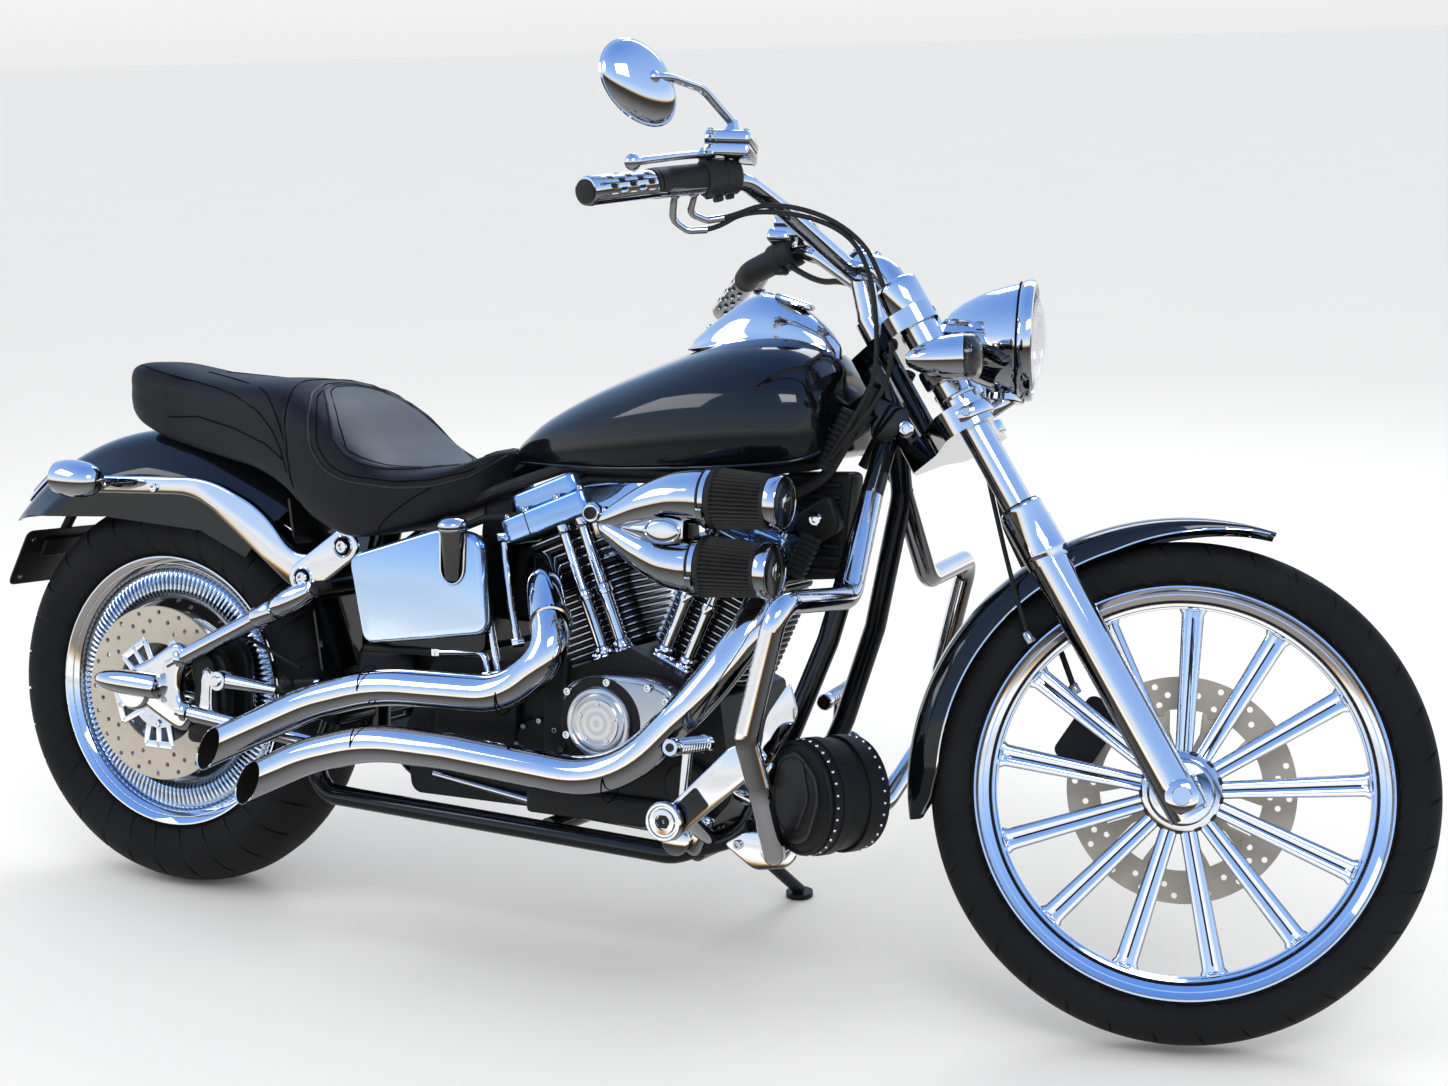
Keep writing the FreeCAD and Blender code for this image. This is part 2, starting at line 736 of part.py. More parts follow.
def air_filters():
    filters = []
    for start, end in (upper_filter, lower_filter):
        length = end[0] - start[0]
        filters.append(lathe([(0, 0), (0, filter_radius, 2), (14, filter_radius, 2), (14, filter_radius - 2),
                              (length - 14, filter_radius - 2), (length - 14, filter_radius, 2),
                              (length, filter_radius, 2), (length, filter_radius - 7),
                              (length + 2, filter_radius - 9), (length + 2, 0)], start, (1, 0, 0)))
    return Part.makeCompound(filters)


def exhaust(points, slash):
    outer = tube(points, pipe_radius, 90)
    end = V(*points[-1])
    back = (end - V(*points[-2])).normalize()
    inner = rod(end - back * 70, end + back * 10, pipe_radius - pipe_wall)
    pipe = outer.cut(inner)
    knife = Part.makeBox(240, 240, 120, V(-120, -120, 0))
    knife.rotate(V(0, 0, 0), V(0, 1, 0), slash)
    knife.translate(end - back * 14)
    head_face = Part.makeBox(500, 80, 500, V(points[0][0] - 250, -fin_width / 2 - seat_gap, 350))
    return pipe.cut(knife).cut(head_face)


rear_pipe_route = [(716, -56, 590), (774, -150, 562), (822, -204, 482), (742, -206, 414), (520, -206, 408),
                   (400, -206, 372), (160, -206, 258)]
front_pipe_route = [(1080, -56, 616), (1136, -160, 566), (1072, -212, 452), (935, -222, 308),
                    (660, -222, 325), (520, -222, 325), (400, -222, 290), (250, -222, 216)]


def rear_exhaust():
    return exhaust(rear_pipe_route, -100)


def front_exhaust():
    return exhaust(front_pipe_route, -100)


# Crash bar, bag, controls

crash_route = from_head([(-574, -60, 734), (-563, -150, 600), (-575, -362, 612), (-615, -362, 430),
                         (-604, -335, 355), (-640, -200, 236), (-720, -106, 258)])


def crash_bar():
    right = tube(crash_route, 16, 34)
    left = tube([mirror_point(p) for p in crash_route], 16, 34)
    room = frame_room()
    return Part.makeCompound([max(bar.cut(room).Solids, key=lambda piece: piece.Volume)
                              for bar in (right, left)])


def drum_bag():
    along = V(-0.525, -0.849, 0).normalize()
    middle = axis_foot + V(-569.4, -188, 323)
    base = middle - along * 48
    half_section = [(0, 0), (0, 70, 8), (6, 78, 3), (90, 78, 3), (96, 70, 8), (96, 0)]
    return lathe(half_section, tuple(base), tuple(along))


def foot_controls():
    pieces = []
    for side in (-1, 1):
        bars = [((-780, 116, 220), (-751, 262, 286), 11), ((-751, 255, 289), (-751, 325, 289), 20),
                ((-751, 262, 289), (-748, 262, 378), 8), ((-748, 205, 378), (-748, 318, 390), 12)]
        rods = []
        for start, end, radius in bars:
            start, end = from_head([(p[0], side * p[1], p[2]) for p in (start, end)])
            rods.append(rod(start, end, radius))
        control = fused(rods).cut(frame_room())
        pieces.append(max(control.Solids, key=lambda piece: piece.Volume))
    return Part.makeCompound(pieces)


# Rear end

def number_plate():
    plate = Part.makeBox(2, 200, 100, V(-1, -100, -50))
    bracket = Part.makeBox(40, 60, 4, V(0, -30, 46))
    both = fused([plate, bracket])
    both.rotate(V(0, 0, 0), V(0, 1, 0), 26)
    both.translate(V(-294, 0, 536))
    return both


def tail_lights():
    lamps = []
    for side in (-1, 1):
        shell = lathe([(-42, 0), (-40, 26, 4), (-20, 29, 10), (22, 26, 10), (42, 0)],
                      (-107, side * 168, 682), (1, 0, 0))
        stalk = rod((-107, side * (122 + seat_gap), 675), (-107, side * 150, 675), 8)
        lamps.append(fused([shell, stalk]))
    lamp = fender_turn([(-46, 437), (-46, 452, 8), (46, 452, 8), (46, 437)], 124, 12)
    lamps.append(lamp)
    return Part.makeCompound(lamps)


def caliper(centre, radius, turn, side, depth, lug, reach):
    # A block that straddles a disc's edge without touching it, with the lug that it is carried by.
    outward = math.copysign(1, side)
    body = Part.makeBox(100, depth, 56, V(-50, -depth / 2, radius - 32))
    body = body.makeFillet(12, [e for e in body.Edges if abs(e.tangentAt(e.FirstParameter).y) > 0.9])
    slit = rod((0, -6, 0), (0, 6, 0), radius + 6)
    body = body.cut(slit)
    y = outward * (depth / 2 - 7)
    arm = rod((lug[0], y, lug[1]), (0, y, radius - 2), 6.5)
    boss = rod((lug[0], y, lug[1]), (lug[0], reach - side, lug[1]), 10)
    body = fused([body, arm, boss])
    body.rotate(V(0, 0, 0), V(0, 1, 0), turn)
    body.translate(V(centre.x, side, centre.z))
    return body


def rear_caliper():
    reach = -(rear_dropout_side - 15 - seat_gap)
    return caliper(rear_axle, rear_disc_radius, 80, rear_disc_side, 40, (34, 106), reach)


def front_caliper():
    reach = fork_side - slider_radius - seat_gap
    offset = math.radians(60 - rake_angle)
    lug = (138 * math.sin(offset), 138 * math.cos(offset))
    return caliper(front_axle, front_disc_radius, -60, front_disc_side, 44, lug, reach)


# Fork

def triple_clamps():
    pieces = []
    for low, thick in ((lower_clamp_low, clamp_thickness), (upper_clamp_low, upper_clamp_thickness)):
        right = [(-30, -16, 16), (12, -62, 30), (fork_offset - 36, -fork_side - 34, 30),
                 (fork_offset + 36, -fork_side - 34, 30), (fork_offset + 20, -40, 40)]
        points = [(n, -side, corner) for n, side, corner in reversed(right)] + right
        plate = Part.Face(outline(points)).extrude(V(0, 0, thick))
        plate.translate(V(0, 0, low))
        pieces.append(plate)
    stem = Part.makeCylinder(stem_radius, upper_clamp_low - lower_clamp_low, V(0, 0, lower_clamp_low + 2))
    clamps = fused(pieces + [stem])
    for side in (-fork_side, fork_side):
        clamps = clamps.cut(Part.makeCylinder(fork_tube_radius + seat_gap, 400,
                                              V(fork_offset, side, lower_clamp_low - 50)))
    return fork_place(clamps)


def fork_tubes():
    tubes = []
    for side in (-fork_side, fork_side):
        low = sleeve_low
        inner = Part.makeCylinder(fork_tube_radius, fork_top - low, V(fork_offset, side, low))
        cover_low = lower_clamp_low + clamp_thickness + seat_gap
        cover = Part.makeCylinder(fork_cover_radius, upper_clamp_low - seat_gap - cover_low,
                                  V(fork_offset, side, cover_low))
        tubes.append(fork_place(fused([inner, cover])))
    return Part.makeCompound(tubes)


def fork_sliders():
    pieces = []
    for side in (-fork_side, fork_side):
        leg = Part.makeCylinder(slider_radius, sleeve_low - seat_gap - axle_height + 20,
                                V(fork_offset, side, axle_height - 20))
        collar = Part.makeCylinder(sleeve_radius, sleeve_high - sleeve_low + 12,
                                   V(fork_offset, side, sleeve_low - 12))
        bore = Part.makeCylinder(fork_tube_radius + seat_gap, 200,
                                 V(fork_offset, side, sleeve_low - seat_gap))
        pieces.append(fork_place(fused([leg, collar]).cut(bore)))
    pieces.append(rod((wheelbase, -fork_side - 34, front_axle.z), (wheelbase, fork_side + 34, front_axle.z),
                      front_axle_radius))
    for side in (-1, 1):
        inner = front_hub_width / 2 + seat_gap
        if side > 0:
            inner = front_disc_side + disc_thickness / 2 + 2
        pieces.append(rod((wheelbase, side * inner, front_axle.z),
                          (wheelbase, side * (fork_side - 20), front_axle.z), 19))
    return fused(pieces)


bar_right = from_head([(-604, 0, 1040), (-628, -62, 1034), (-715, -150, 1097), (-764, -245, 1122),
                       (-852, -320, 1091), (-917, -440, 1050)])


def handlebar():
    right = bar_right
    left = [mirror_point(p) for p in reversed(bar_right[1:])]
    bar = tube(left + right[1:], bar_radius, 60)
    seat_height = upper_clamp_low + upper_clamp_thickness + seat_gap
    risers = []
    for side in (-50, 50):
        risers.append(rod(fork_point(20, side, seat_height), fork_point(20, side, seat_height + 30), 19))
        risers.append(rod(fork_point(20, side, seat_height + 20), (axis_foot.x - 623, side, 1036), 17))
    return fused([bar] + risers)


def grip(points):
    start, end = V(*points[-2]), V(*points[-1])
    along = (end - start).normalize()
    start = start + along * 14
    end = end + along * 4
    outer = rod(tuple(start), tuple(end), grip_radius)
    return outer.cut(rod(tuple(start - along * 4), tuple(end - along * 4), bar_radius + seat_gap))


lever_points = from_head([(-786, -256, 1146), (-814, -340, 1124), (-861, -440, 1089)])
lever_box_rise = 22.0
lever_box_height = 34.0


def switch_clamp(points):
    # The middle of the switch housing on the bar, and the bar's direction there.
    start, end = V(*points[-3]), V(*points[-2])
    along = (end - start).normalize()
    return start + along * 30, along


def switch_housing(points, radius):
    clamp_at, along = switch_clamp(points)
    return rod(tuple(clamp_at - along * 22), tuple(clamp_at + along * 26), radius)


def lever_set(points, side):
    # The lever housing on the bar with its ball-ended lever.
    clamp_at, along = switch_clamp(points)
    housing = switch_housing(points, housing_radius)
    box = Part.makeBox(60, 62, lever_box_height,
                       V(clamp_at.x - 18, clamp_at.y - 31, clamp_at.z + lever_box_rise))
    blade = lever_points
    if side > 0:
        blade = [mirror_point(p) for p in blade]
    lever = tube(blade, 7, 200)
    knob = ball(blade[-1], 11)
    group = fused([housing, box, lever, knob])
    return group.cut(tube(points, bar_radius + seat_gap, 60))


mirror_hole_radius = 5.0
mirror_hole_depth = 16.0


def mirror_seat(points):
    # Where a mirror's stalk meets the top of its lever housing.
    clamp_at = switch_clamp(points)[0]
    y = math.copysign(268, clamp_at.y)
    return V(axis_foot.x - 774, y, clamp_at.z + lever_box_rise + lever_box_height)


def right_controls():
    return Part.makeCompound([grip(bar_right), lever_set(bar_right, -1)])


def left_controls():
    # The mirror's threaded hole on the left stays open.
    left = [mirror_point(p) for p in bar_right]
    top = mirror_seat(left)
    hole = rod(tuple(top + upright * 2), tuple(top - upright * mirror_hole_depth), mirror_hole_radius)
    return Part.makeCompound([grip(left), lever_set(left, 1).cut(hole)])


def mirror():
    foot = mirror_seat(bar_right) + upright * seat_gap
    stalk_route = [tuple(foot), tuple(foot + upright * 16)]
    stalk_route += from_head([(-808, -308, 1220), (-872, -392, 1212)])
    stalk = tube(stalk_route, 6, 40)
    head = aimed(Part.makeSphere(1), (0, 0, 0), (0, 0, 1))
    matrix = FreeCAD.Matrix()
    matrix.scale(54, 22, 40)
    head = head.transformGeometry(matrix)
    head.rotate(V(0, 0, 0), V(0, 0, 1), -60)
    head.translate(axis_foot + V(-875, -398, 1208))
    return fused([stalk, head])


headlamp_at = axis_foot + V(-392, 0, 955)
headlamp_aim = (1, 0, 0.02)


def headlamp():
    shell = lathe([(-116, 0), (-112, 22, 16), (-40, 74, 60), (-6, 84, 10), (14, 86, 4), (14, 80, 2),
                   (6, 78), (6, 0)], tuple(headlamp_at), headlamp_aim)
    height = lower_clamp_low + clamp_thickness / 2
    front = fork_offset + 20 + seat_gap
    foot = rod(fork_point(front, 0, height), fork_point(front + 42, 0, height), 14)
    arm = rod(fork_point(front + 34, 0, height), tuple(headlamp_at - V(16, 0, 55)), 12)
    return fused([shell, foot, arm])


def headlamp_lens():
    return lathe([(6 + seat_gap, 0), (6 + seat_gap, 76), (16, 76, 4), (34, 40, 60), (38, 0)],
                 tuple(headlamp_at), headlamp_aim)


def front_signals():
    lamps = []
    for side in (-1, 1):
        shell = lathe([(-54, 0), (-50, 14, 10), (-10, 29, 20), (44, 31, 5), (48, 28, 3), (48, 0)],
                      (axis_foot.x - 476, side * 186, 898), (1, 0, 0.1))
        stalk = rod((axis_foot.x - 478, side * fork_side, 890), (axis_foot.x - 478, side * 170, 894), 8)
        cover = fork_place(Part.makeCylinder(fork_cover_radius + seat_gap, 300,
                                             V(fork_offset, side * fork_side, 850)))
        lamp = fused([shell, stalk]).cut(cover)
        lamps.append(max(lamp.Solids, key=lambda piece: piece.Volume))
    return Part.makeCompound(lamps)


def front_fender():
    wall, drop = 3.0, 40.0
    half = front_fender_width / 2
    outer = front_tyre_radius + front_fender_clearance + wall
    low = outer - drop
    section = [(low, -half), (outer, -half * 0.6, 30), (outer, half * 0.6, 30), (low, half),
               (low, half - wall), (outer - wall, half * 0.6 - wall, 27),
               (outer - wall, wall - half * 0.6, 27), (low, wall - half)]
    face = Part.Face(outline(section))
    face.rotate(V(0, 0, 0), V(0, 1, 0), -76)
    skin = face.revolve(V(0, 0, 0), V(0, 1, 0), -112)
    skin.translate(front_axle)
    pieces = [skin]
    for side in (-1, 1):
        height = axle_height + low + 6
        pieces.append(rod(fork_point(fork_offset, side * (half - 5), height),
                          fork_point(fork_offset, side * (fork_side - slider_radius - seat_gap), height), 8))
    return fused(pieces)


def brake_hose():
    points = [fork_point(fork_offset - 10, 84, lower_clamp_low - seat_gap),
              fork_point(fork_offset - 10, 84, lower_clamp_low - 40), fork_point(fork_offset - 36, 84, 800),
              fork_point(fork_offset - 46, 84, 650), fork_point(fork_offset - 62, 84, 552)]
    return tube(points, brake_hose_radius, 200)


# Side stand, drawn where the parked motorcycle rests on it

stand_boss_half = 10.0
stand_pin_radius = 6.0


def stand_hinge():
    # The stand's pivot and hinge axis on the parked motorcycle. It folds up towards the rear.
    pivot = parking.multVec(V(*stand_pivot))
    down = V(stand_foot[0], stand_foot[1], 8) - pivot
    return pivot, down.cross(V(-0.98, 0.1, -0.1)).normalize()


def side_stand():
    pivot, axis = stand_hinge()
    foot = V(stand_foot[0], stand_foot[1], 0)
    pad = Part.makeCylinder(22, 8, foot)
    leg = rod(tuple(pivot), tuple(foot + V(0, 0, 10)), stand_radius)
    ends = axis * stand_boss_half
    boss = rod(tuple(pivot - ends), tuple(pivot + ends), 17)
    hole = rod(tuple(pivot - ends * 2), tuple(pivot + ends * 2), stand_pin_radius + seat_gap)
    below = Part.makeBox(200, 200, 60, V(foot.x - 100, foot.y - 100, -60))
    return fused([pad, leg, boss]).cut(hole).cut(below)


def stand_lug():
    # The ear and the pin on the left rail that carry the side stand.
    axis = parking.Rotation.inverted().multVec(stand_hinge()[1])
    pivot = V(*stand_pivot)
    near = pivot - axis * (stand_boss_half + seat_gap)
    far = near - axis * 9
    ear = rod(tuple(far), tuple(near), 16)
    pin = rod(tuple(far), tuple(pivot + axis * (stand_boss_half + 6)), stand_pin_radius)
    head = rod(tuple(pivot + axis * (stand_boss_half + seat_gap)),
               tuple(pivot + axis * (stand_boss_half + 6)), 10)
    to_rail = V(pivot.x, rail_side, 199) - pivot
    across = to_rail - axis * to_rail.dot(axis)
    root = far + axis * 4.5
    arm = [rod(tuple(root), tuple(root + across), 4.4), rod(tuple(root + across), tuple(pivot + to_rail), 8)]
    return fused([ear, pin, head] + arm)


# Placing

def turned_point(point):
    # Where a point of the fork lies once the fork is turned.
    turn = FreeCAD.Rotation(axis_up, steer_angle)
    return axis_foot + turn.multVec(V(*point) - axis_foot)


def lean_turn():
    return FreeCAD.Rotation(V(1, 0, 0), -lean_angle)


def lowest(centre, across, radius, width):
    # The lowest height of a leaning tyre, from its crown's arc.
    rise = 0.8 * width / 2
    crown = ((width / 2) ** 2 + rise ** 2) / (2 * rise)
    return centre.z - (radius - crown) * math.sqrt(1 - across.z ** 2) - crown


def settled():
    # Leans the motorcycle, then lifts and pitches it so that both tyres meet the ground.
    steer = FreeCAD.Rotation(axis_up, steer_angle)
    placing = FreeCAD.Placement(V(0, 0, 0), lean_turn())
    for step in range(4):
        rear_low = lowest(placing.multVec(rear_axle), placing.Rotation.multVec(leftward),
                          rear_tyre_radius, rear_tyre_width)
        front_low = lowest(placing.multVec(turned_point(front_axle)),
                           placing.Rotation.multVec(steer.multVec(leftward)),
                           front_tyre_radius, front_tyre_width)
        pitch = math.degrees(math.atan2(front_low - rear_low, wheelbase))
        fix = FreeCAD.Placement(V(0, 0, 0), FreeCAD.Rotation(V(0, 1, 0), pitch))
        placing = fix.multiply(FreeCAD.Placement(V(0, 0, -rear_low), FreeCAD.Rotation()).multiply(placing))
    return placing


parking = settled()
steering = FreeCAD.Placement(axis_foot - FreeCAD.Rotation(axis_up, steer_angle).multVec(axis_foot),
                             FreeCAD.Rotation(axis_up, steer_angle))


def control_cables():
    # Two throttle cables and the clutch cable, from the turned bar down to the engine.
    def at(point):
        return tuple(turned_point(point))
    houses = []
    for points in (bar_right, [mirror_point(p) for p in bar_right]):
        house = switch_housing(points, housing_radius + seat_gap)
        house.Placement = steering.multiply(house.Placement)
        houses.append(house)
    throttle = [at(p) for p in from_head([(-786, -262, 1108), (-700, -190, 1076), (-620, -120, 1040)])]
    throttle += from_head([(-595, -96, 960), (-608, -92, 850), (-630, -100, 760)])
    clutch = [at(p) for p in from_head([(-786, 262, 1108), (-690, 180, 1062), (-638, 96, 1000)])]
    clutch += from_head([(-644, 70, 925), (-614, 62, 835), (-598, 88, 740)])
    cables = []
    for path, radius, house in ((throttle, throttle_cable_radius, houses[0]),
                                (clutch, clutch_cable_radius, houses[1])):
        cables.append(max(tube(path, radius, 300).cut(house).Solids, key=lambda piece: piece.Volume))
    return Part.makeCompound(cables)


chassis_pieces = {
    "frame_tubes": frame_tubes, "swingarm": swingarm, "axle_covers": axle_covers,
    "fuel_tank": fuel_tank, "tank_console": tank_console, "seat": seat, "rear_fender": rear_fender,
    "fender_struts": fender_struts, "oil_tank": oil_tank, "oil_tank_cover": oil_tank_cover,
    "crankcase": crankcase, "cylinders": cylinders, "rocker_covers": rocker_covers,
    "cam_cover": cam_cover, "pushrod_tubes": pushrod_tubes, "intake_horns": intake_horns,
    "air_filters": air_filters, "rear_exhaust": rear_exhaust, "front_exhaust": front_exhaust,
    "gearbox_case": gearbox_case, "primary_cover": primary_cover, "crash_bar": crash_bar,
    "drum_bag": drum_bag, "foot_controls": foot_controls, "number_plate": number_plate,
    "tail_lights": tail_lights,
    "rear_caliper": rear_caliper,
    "control_cables": control_cables,
    "rear_tyre": lambda: tyre(rear_axle, rear_tyre_radius, rear_tyre_width, rear_rim_radius, rear_rim_width),
    "rear_wheel": rear_wheel,
    "rear_disc": lambda: disc(rear_axle, rear_disc_side, rear_disc_radius, 96, rear_disc_inner, 20, 5),
    "belt_pulley": belt_pulley,
    "drive_belt": drive_belt,
}
fork_pieces = {
    "triple_clamps": triple_clamps, "fork_tubes": fork_tubes, "fork_sliders": fork_sliders,
    "handlebar": handlebar, "right_controls": right_controls, "left_controls": left_controls,
    "mirror": mirror, "headlamp": headlamp, "headlamp_lens": headlamp_lens,
    "front_signals": front_signals, "front_fender": front_fender, "brake_hose": brake_hose,
    "front_caliper": front_caliper,
    "front_tyre": lambda: tyre(front_axle, front_tyre_radius, front_tyre_width, front_rim_radius,
                               front_rim_width),
    "front_wheel": front_wheel,
    "front_disc": lambda: disc(front_axle, front_disc_side, front_disc_radius, front_disc_inner, 50, 14, 5),
}

nodes = {}
for name, make in chassis_pieces.items():
    nodes[name] = make()
    nodes[name].Placement = parking.multiply(nodes[name].Placement)
for name, make in fork_pieces.items():
    nodes[name] = make()
    nodes[name].Placement = parking.multiply(steering).multiply(nodes[name].Placement)
nodes["side_stand"] = side_stand()

whole = FreeCAD.BoundBox()
for shape in nodes.values():
    whole.add(shape.optimalBoundingBox(False, False))
to_origin = V(-whole.Center.x, -whole.Center.y, 0)

if __name__ == "__main__":
    os.makedirs("parts", exist_ok=True)
    for name, shape in nodes.items():
        shape.translate(to_origin)
        shape.exportStep("parts/" + name + ".step")
        print(name, len(shape.Solids), "solids", "valid" if shape.isValid() else "NOT VALID")
    print("length", round(whole.XLength), "width", round(whole.YLength), "height", round(whole.ZLength))
    print("throttle cable radius", throttle_cable_radius)
    print("clutch cable radius", clutch_cable_radius)
    print("brake hose radius", brake_hose_radius)
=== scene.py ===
import json
import math

import bpy
from mathutils import Matrix, Vector


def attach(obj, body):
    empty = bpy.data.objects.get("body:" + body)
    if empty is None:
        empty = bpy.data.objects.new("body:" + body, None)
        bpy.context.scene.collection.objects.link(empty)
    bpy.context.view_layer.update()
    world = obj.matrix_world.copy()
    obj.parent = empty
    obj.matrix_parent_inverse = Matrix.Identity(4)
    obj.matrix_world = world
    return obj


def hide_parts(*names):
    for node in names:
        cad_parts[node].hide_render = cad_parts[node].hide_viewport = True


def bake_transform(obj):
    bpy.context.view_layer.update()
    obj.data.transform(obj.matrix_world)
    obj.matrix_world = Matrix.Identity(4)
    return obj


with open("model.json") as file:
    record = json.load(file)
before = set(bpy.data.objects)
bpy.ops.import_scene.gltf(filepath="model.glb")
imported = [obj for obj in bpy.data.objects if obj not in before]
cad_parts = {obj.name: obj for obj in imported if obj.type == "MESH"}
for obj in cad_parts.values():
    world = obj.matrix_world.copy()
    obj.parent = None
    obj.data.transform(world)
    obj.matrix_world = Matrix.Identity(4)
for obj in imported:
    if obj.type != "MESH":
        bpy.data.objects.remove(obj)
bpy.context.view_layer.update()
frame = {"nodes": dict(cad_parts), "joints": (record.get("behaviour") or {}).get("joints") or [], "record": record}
nodes = frame["nodes"]
print("frame loaded:", len(nodes), "nodes")

# The motorcycle is drawn upright in millimetres, with its front wheel straight:
# x forward from the rear axle, y to the left, z up from the ground.
# It stands leaning and turned in the frame.
stance = {
    "lean": 8.0,                # degrees to the left
    "pitch": -0.1739,           # the small nod that sets both tyres on the ground
    "lift": 0.79955,
    "steer": 17.0,
    "rake": 33.0,
    "wheelbase": 1690.0,
    "trail": 130.0,
    "frontRadius": 343.0,
    "rearRadius": 330.0,
}
millimetre = 0.001
rake = math.radians(stance["rake"])
axisFoot = Vector((stance["wheelbase"] + stance["trail"], 0, 0))
axisUp = Vector((-math.sin(rake), 0, math.cos(rake)))
axisFront = Vector((math.cos(rake), 0, math.sin(rake)))
frontAxle = Vector((stance["wheelbase"], 0, stance["frontRadius"]))
rearAxle = Vector((0, 0, stance["rearRadius"]))
forkOffset = (frontAxle - axisFoot).dot(axisFront)
forkSide = 115.0


def shift(x, y, z):
    return Matrix.Translation((x, y, z))


def spun(angle, axis="Z"):
    return Matrix.Rotation(angle, 4, axis)


def leaning():
    # The frame's own rear axle says where the leaning motorcycle stands.
    turn = spun(math.radians(stance["pitch"]), "Y")
    turn = shift(0, 0, stance["lift"]) @ turn @ spun(-math.radians(stance["lean"]), "X")
    turn = Matrix.Scale(millimetre, 4) @ turn
    axle = Vector(next(j for j in frame["joints"] if j["name"] == "rear_wheel_spin")["pos_m"])
    gap = axle - turn @ rearAxle
    return shift(gap.x, gap.y, 0) @ turn


def steering():
    turn = spun(math.radians(stance["steer"]), axisUp)
    return Matrix.Translation(axisFoot) @ turn @ Matrix.Translation(-axisFoot)


onBike = leaning()              # carries a place on the motorcycle into the frame, in metres
onFork = onBike @ steering()    # the same for what turns with the fork


def forkPoint(forward, side, height):
    place = axisFoot + axisFront * forward + axisUp * height
    return Vector((place.x, side, place.z))


def aimed(base, direction, across=None):
    # A place whose z axis points along a direction, and whose x axis leans towards another.
    up = Vector(direction).normalized()
    side = Vector(across or ((1, 0, 0) if abs(up.x) < 0.9 else (0, 0, 1)))
    side = (side - up * side.dot(up)).normalized()
    turn = Matrix((side, up.cross(side), up)).transposed().to_4x4()
    return Matrix.Translation(Vector(base)) @ turn


def wheelPlace(centre):
    # Wheel axes: x forward, y down, z to the left.
    return aimed(centre, (0, 1, 0), (1, 0, 0))


frontWheelPlace = onFork @ wheelPlace(frontAxle)
rearWheelPlace = onBike @ wheelPlace(rearAxle)


def upright(side, left=False):
    # A place whose x runs forward, whose y runs up and whose z points to the right, or to the left.
    out = 1 if left else -1
    return Matrix(((1, 0, 0, 0), (0, 0, out, out * side), (0, 1, 0, 0), (0, 0, 0, 1)))


# Shader maths

class Wire:
    # One socket that takes part in sums. Each sum adds its Math node.
    def __init__(self, tree, socket):
        self.tree = tree
        self.socket = socket

    def sum(self, operation, *values):
        node = self.tree.nodes.new("ShaderNodeMath")
        node.operation = operation
        for place, value in enumerate((self, *values)):
            if isinstance(value, Wire):
                self.tree.links.new(value.socket, node.inputs[place])
            else:
                node.inputs[place].default_value = value
        return Wire(self.tree, node.outputs[0])

    def __add__(self, other):
        return self.sum("ADD", other)

    def __sub__(self, other):
        return self.sum("SUBTRACT", other)

    def __mul__(self, other):
        return self.sum("MULTIPLY", other)

    def above(self, other):
        return self.sum("GREATER_THAN", other)

    def least(self, other):
        return self.sum("MINIMUM", other)

    def sine(self):
        return self.sum("SINE")

    def size(self):
        return self.sum("ABSOLUTE")


def setRamp(ramp, stops):
    while len(ramp.elements) < len(stops):
        ramp.elements.new(0.5)
    for element, (place, colour) in zip(ramp.elements, stops):
        element.position = place
        element.color = (*colour, 1)


class Finish:
    # A material with one Principled shader, and a short way to add any other node.
    def __init__(self, name, **steady):
        self.material = bpy.data.materials.new(name)
        self.material.use_nodes = True
        self.tree = self.material.node_tree
        self.shader = self.tree.nodes["Principled BSDF"]
        for key, value in steady.items():
            socket = self.shader.inputs[key.replace("_", " ")]
            socket.default_value = (*value, 1) if isinstance(value, tuple) else value

    def node(self, kind, settings=None, output=0, **values):
        made = self.tree.nodes.new("ShaderNode" + kind)
        for key, value in (settings or {}).items():
            if key == "stops":
                setRamp(made.color_ramp, value)
            else:
                setattr(made, key, value)
        for key, value in values.items():
            socket = made.inputs[int(key[2:])] if key[:2] == "in" else made.inputs[key]
            if isinstance(value, Wire):
                self.tree.links.new(value.socket, socket)
            else:
                socket.default_value = (*value, 1) if socket.type == "RGBA" else value
        return Wire(self.tree, made.outputs[output])

    def place(self):
        return self.node("TexCoord", output=3)

    def facing(self):
        return self.node("TexCoord", output=1)

    def noise(self, scale, detail=2.0, roughness=0.5):
        return self.node("TexNoise", Vector=self.place(), Scale=scale, Detail=detail, Roughness=roughness)

    def axes(self, wire):
        # The three numbers of a vector.
        return [self.node("SeparateXYZ", output=i, Vector=wire) for i in range(3)]

    def ramp(self, stops, wire):
        return self.node("ValToRGB", {"stops": stops}, Fac=wire)

    def blend(self, mask, first, second):
        return self.node("Mix", {"data_type": "RGBA"}, output=2, in0=mask, in6=first, in7=second)

    def feed(self, socket, wire):
        self.tree.links.new(wire.socket, self.shader.inputs[socket])

    def rough(self, scale, detail, swing, base):
        self.feed("Roughness", self.noise(scale, detail) * swing + base)

    def bump(self, height, strength, distance):
        self.feed("Normal", self.node("Bump", Height=height, Strength=strength, Distance=distance))


# Finishes

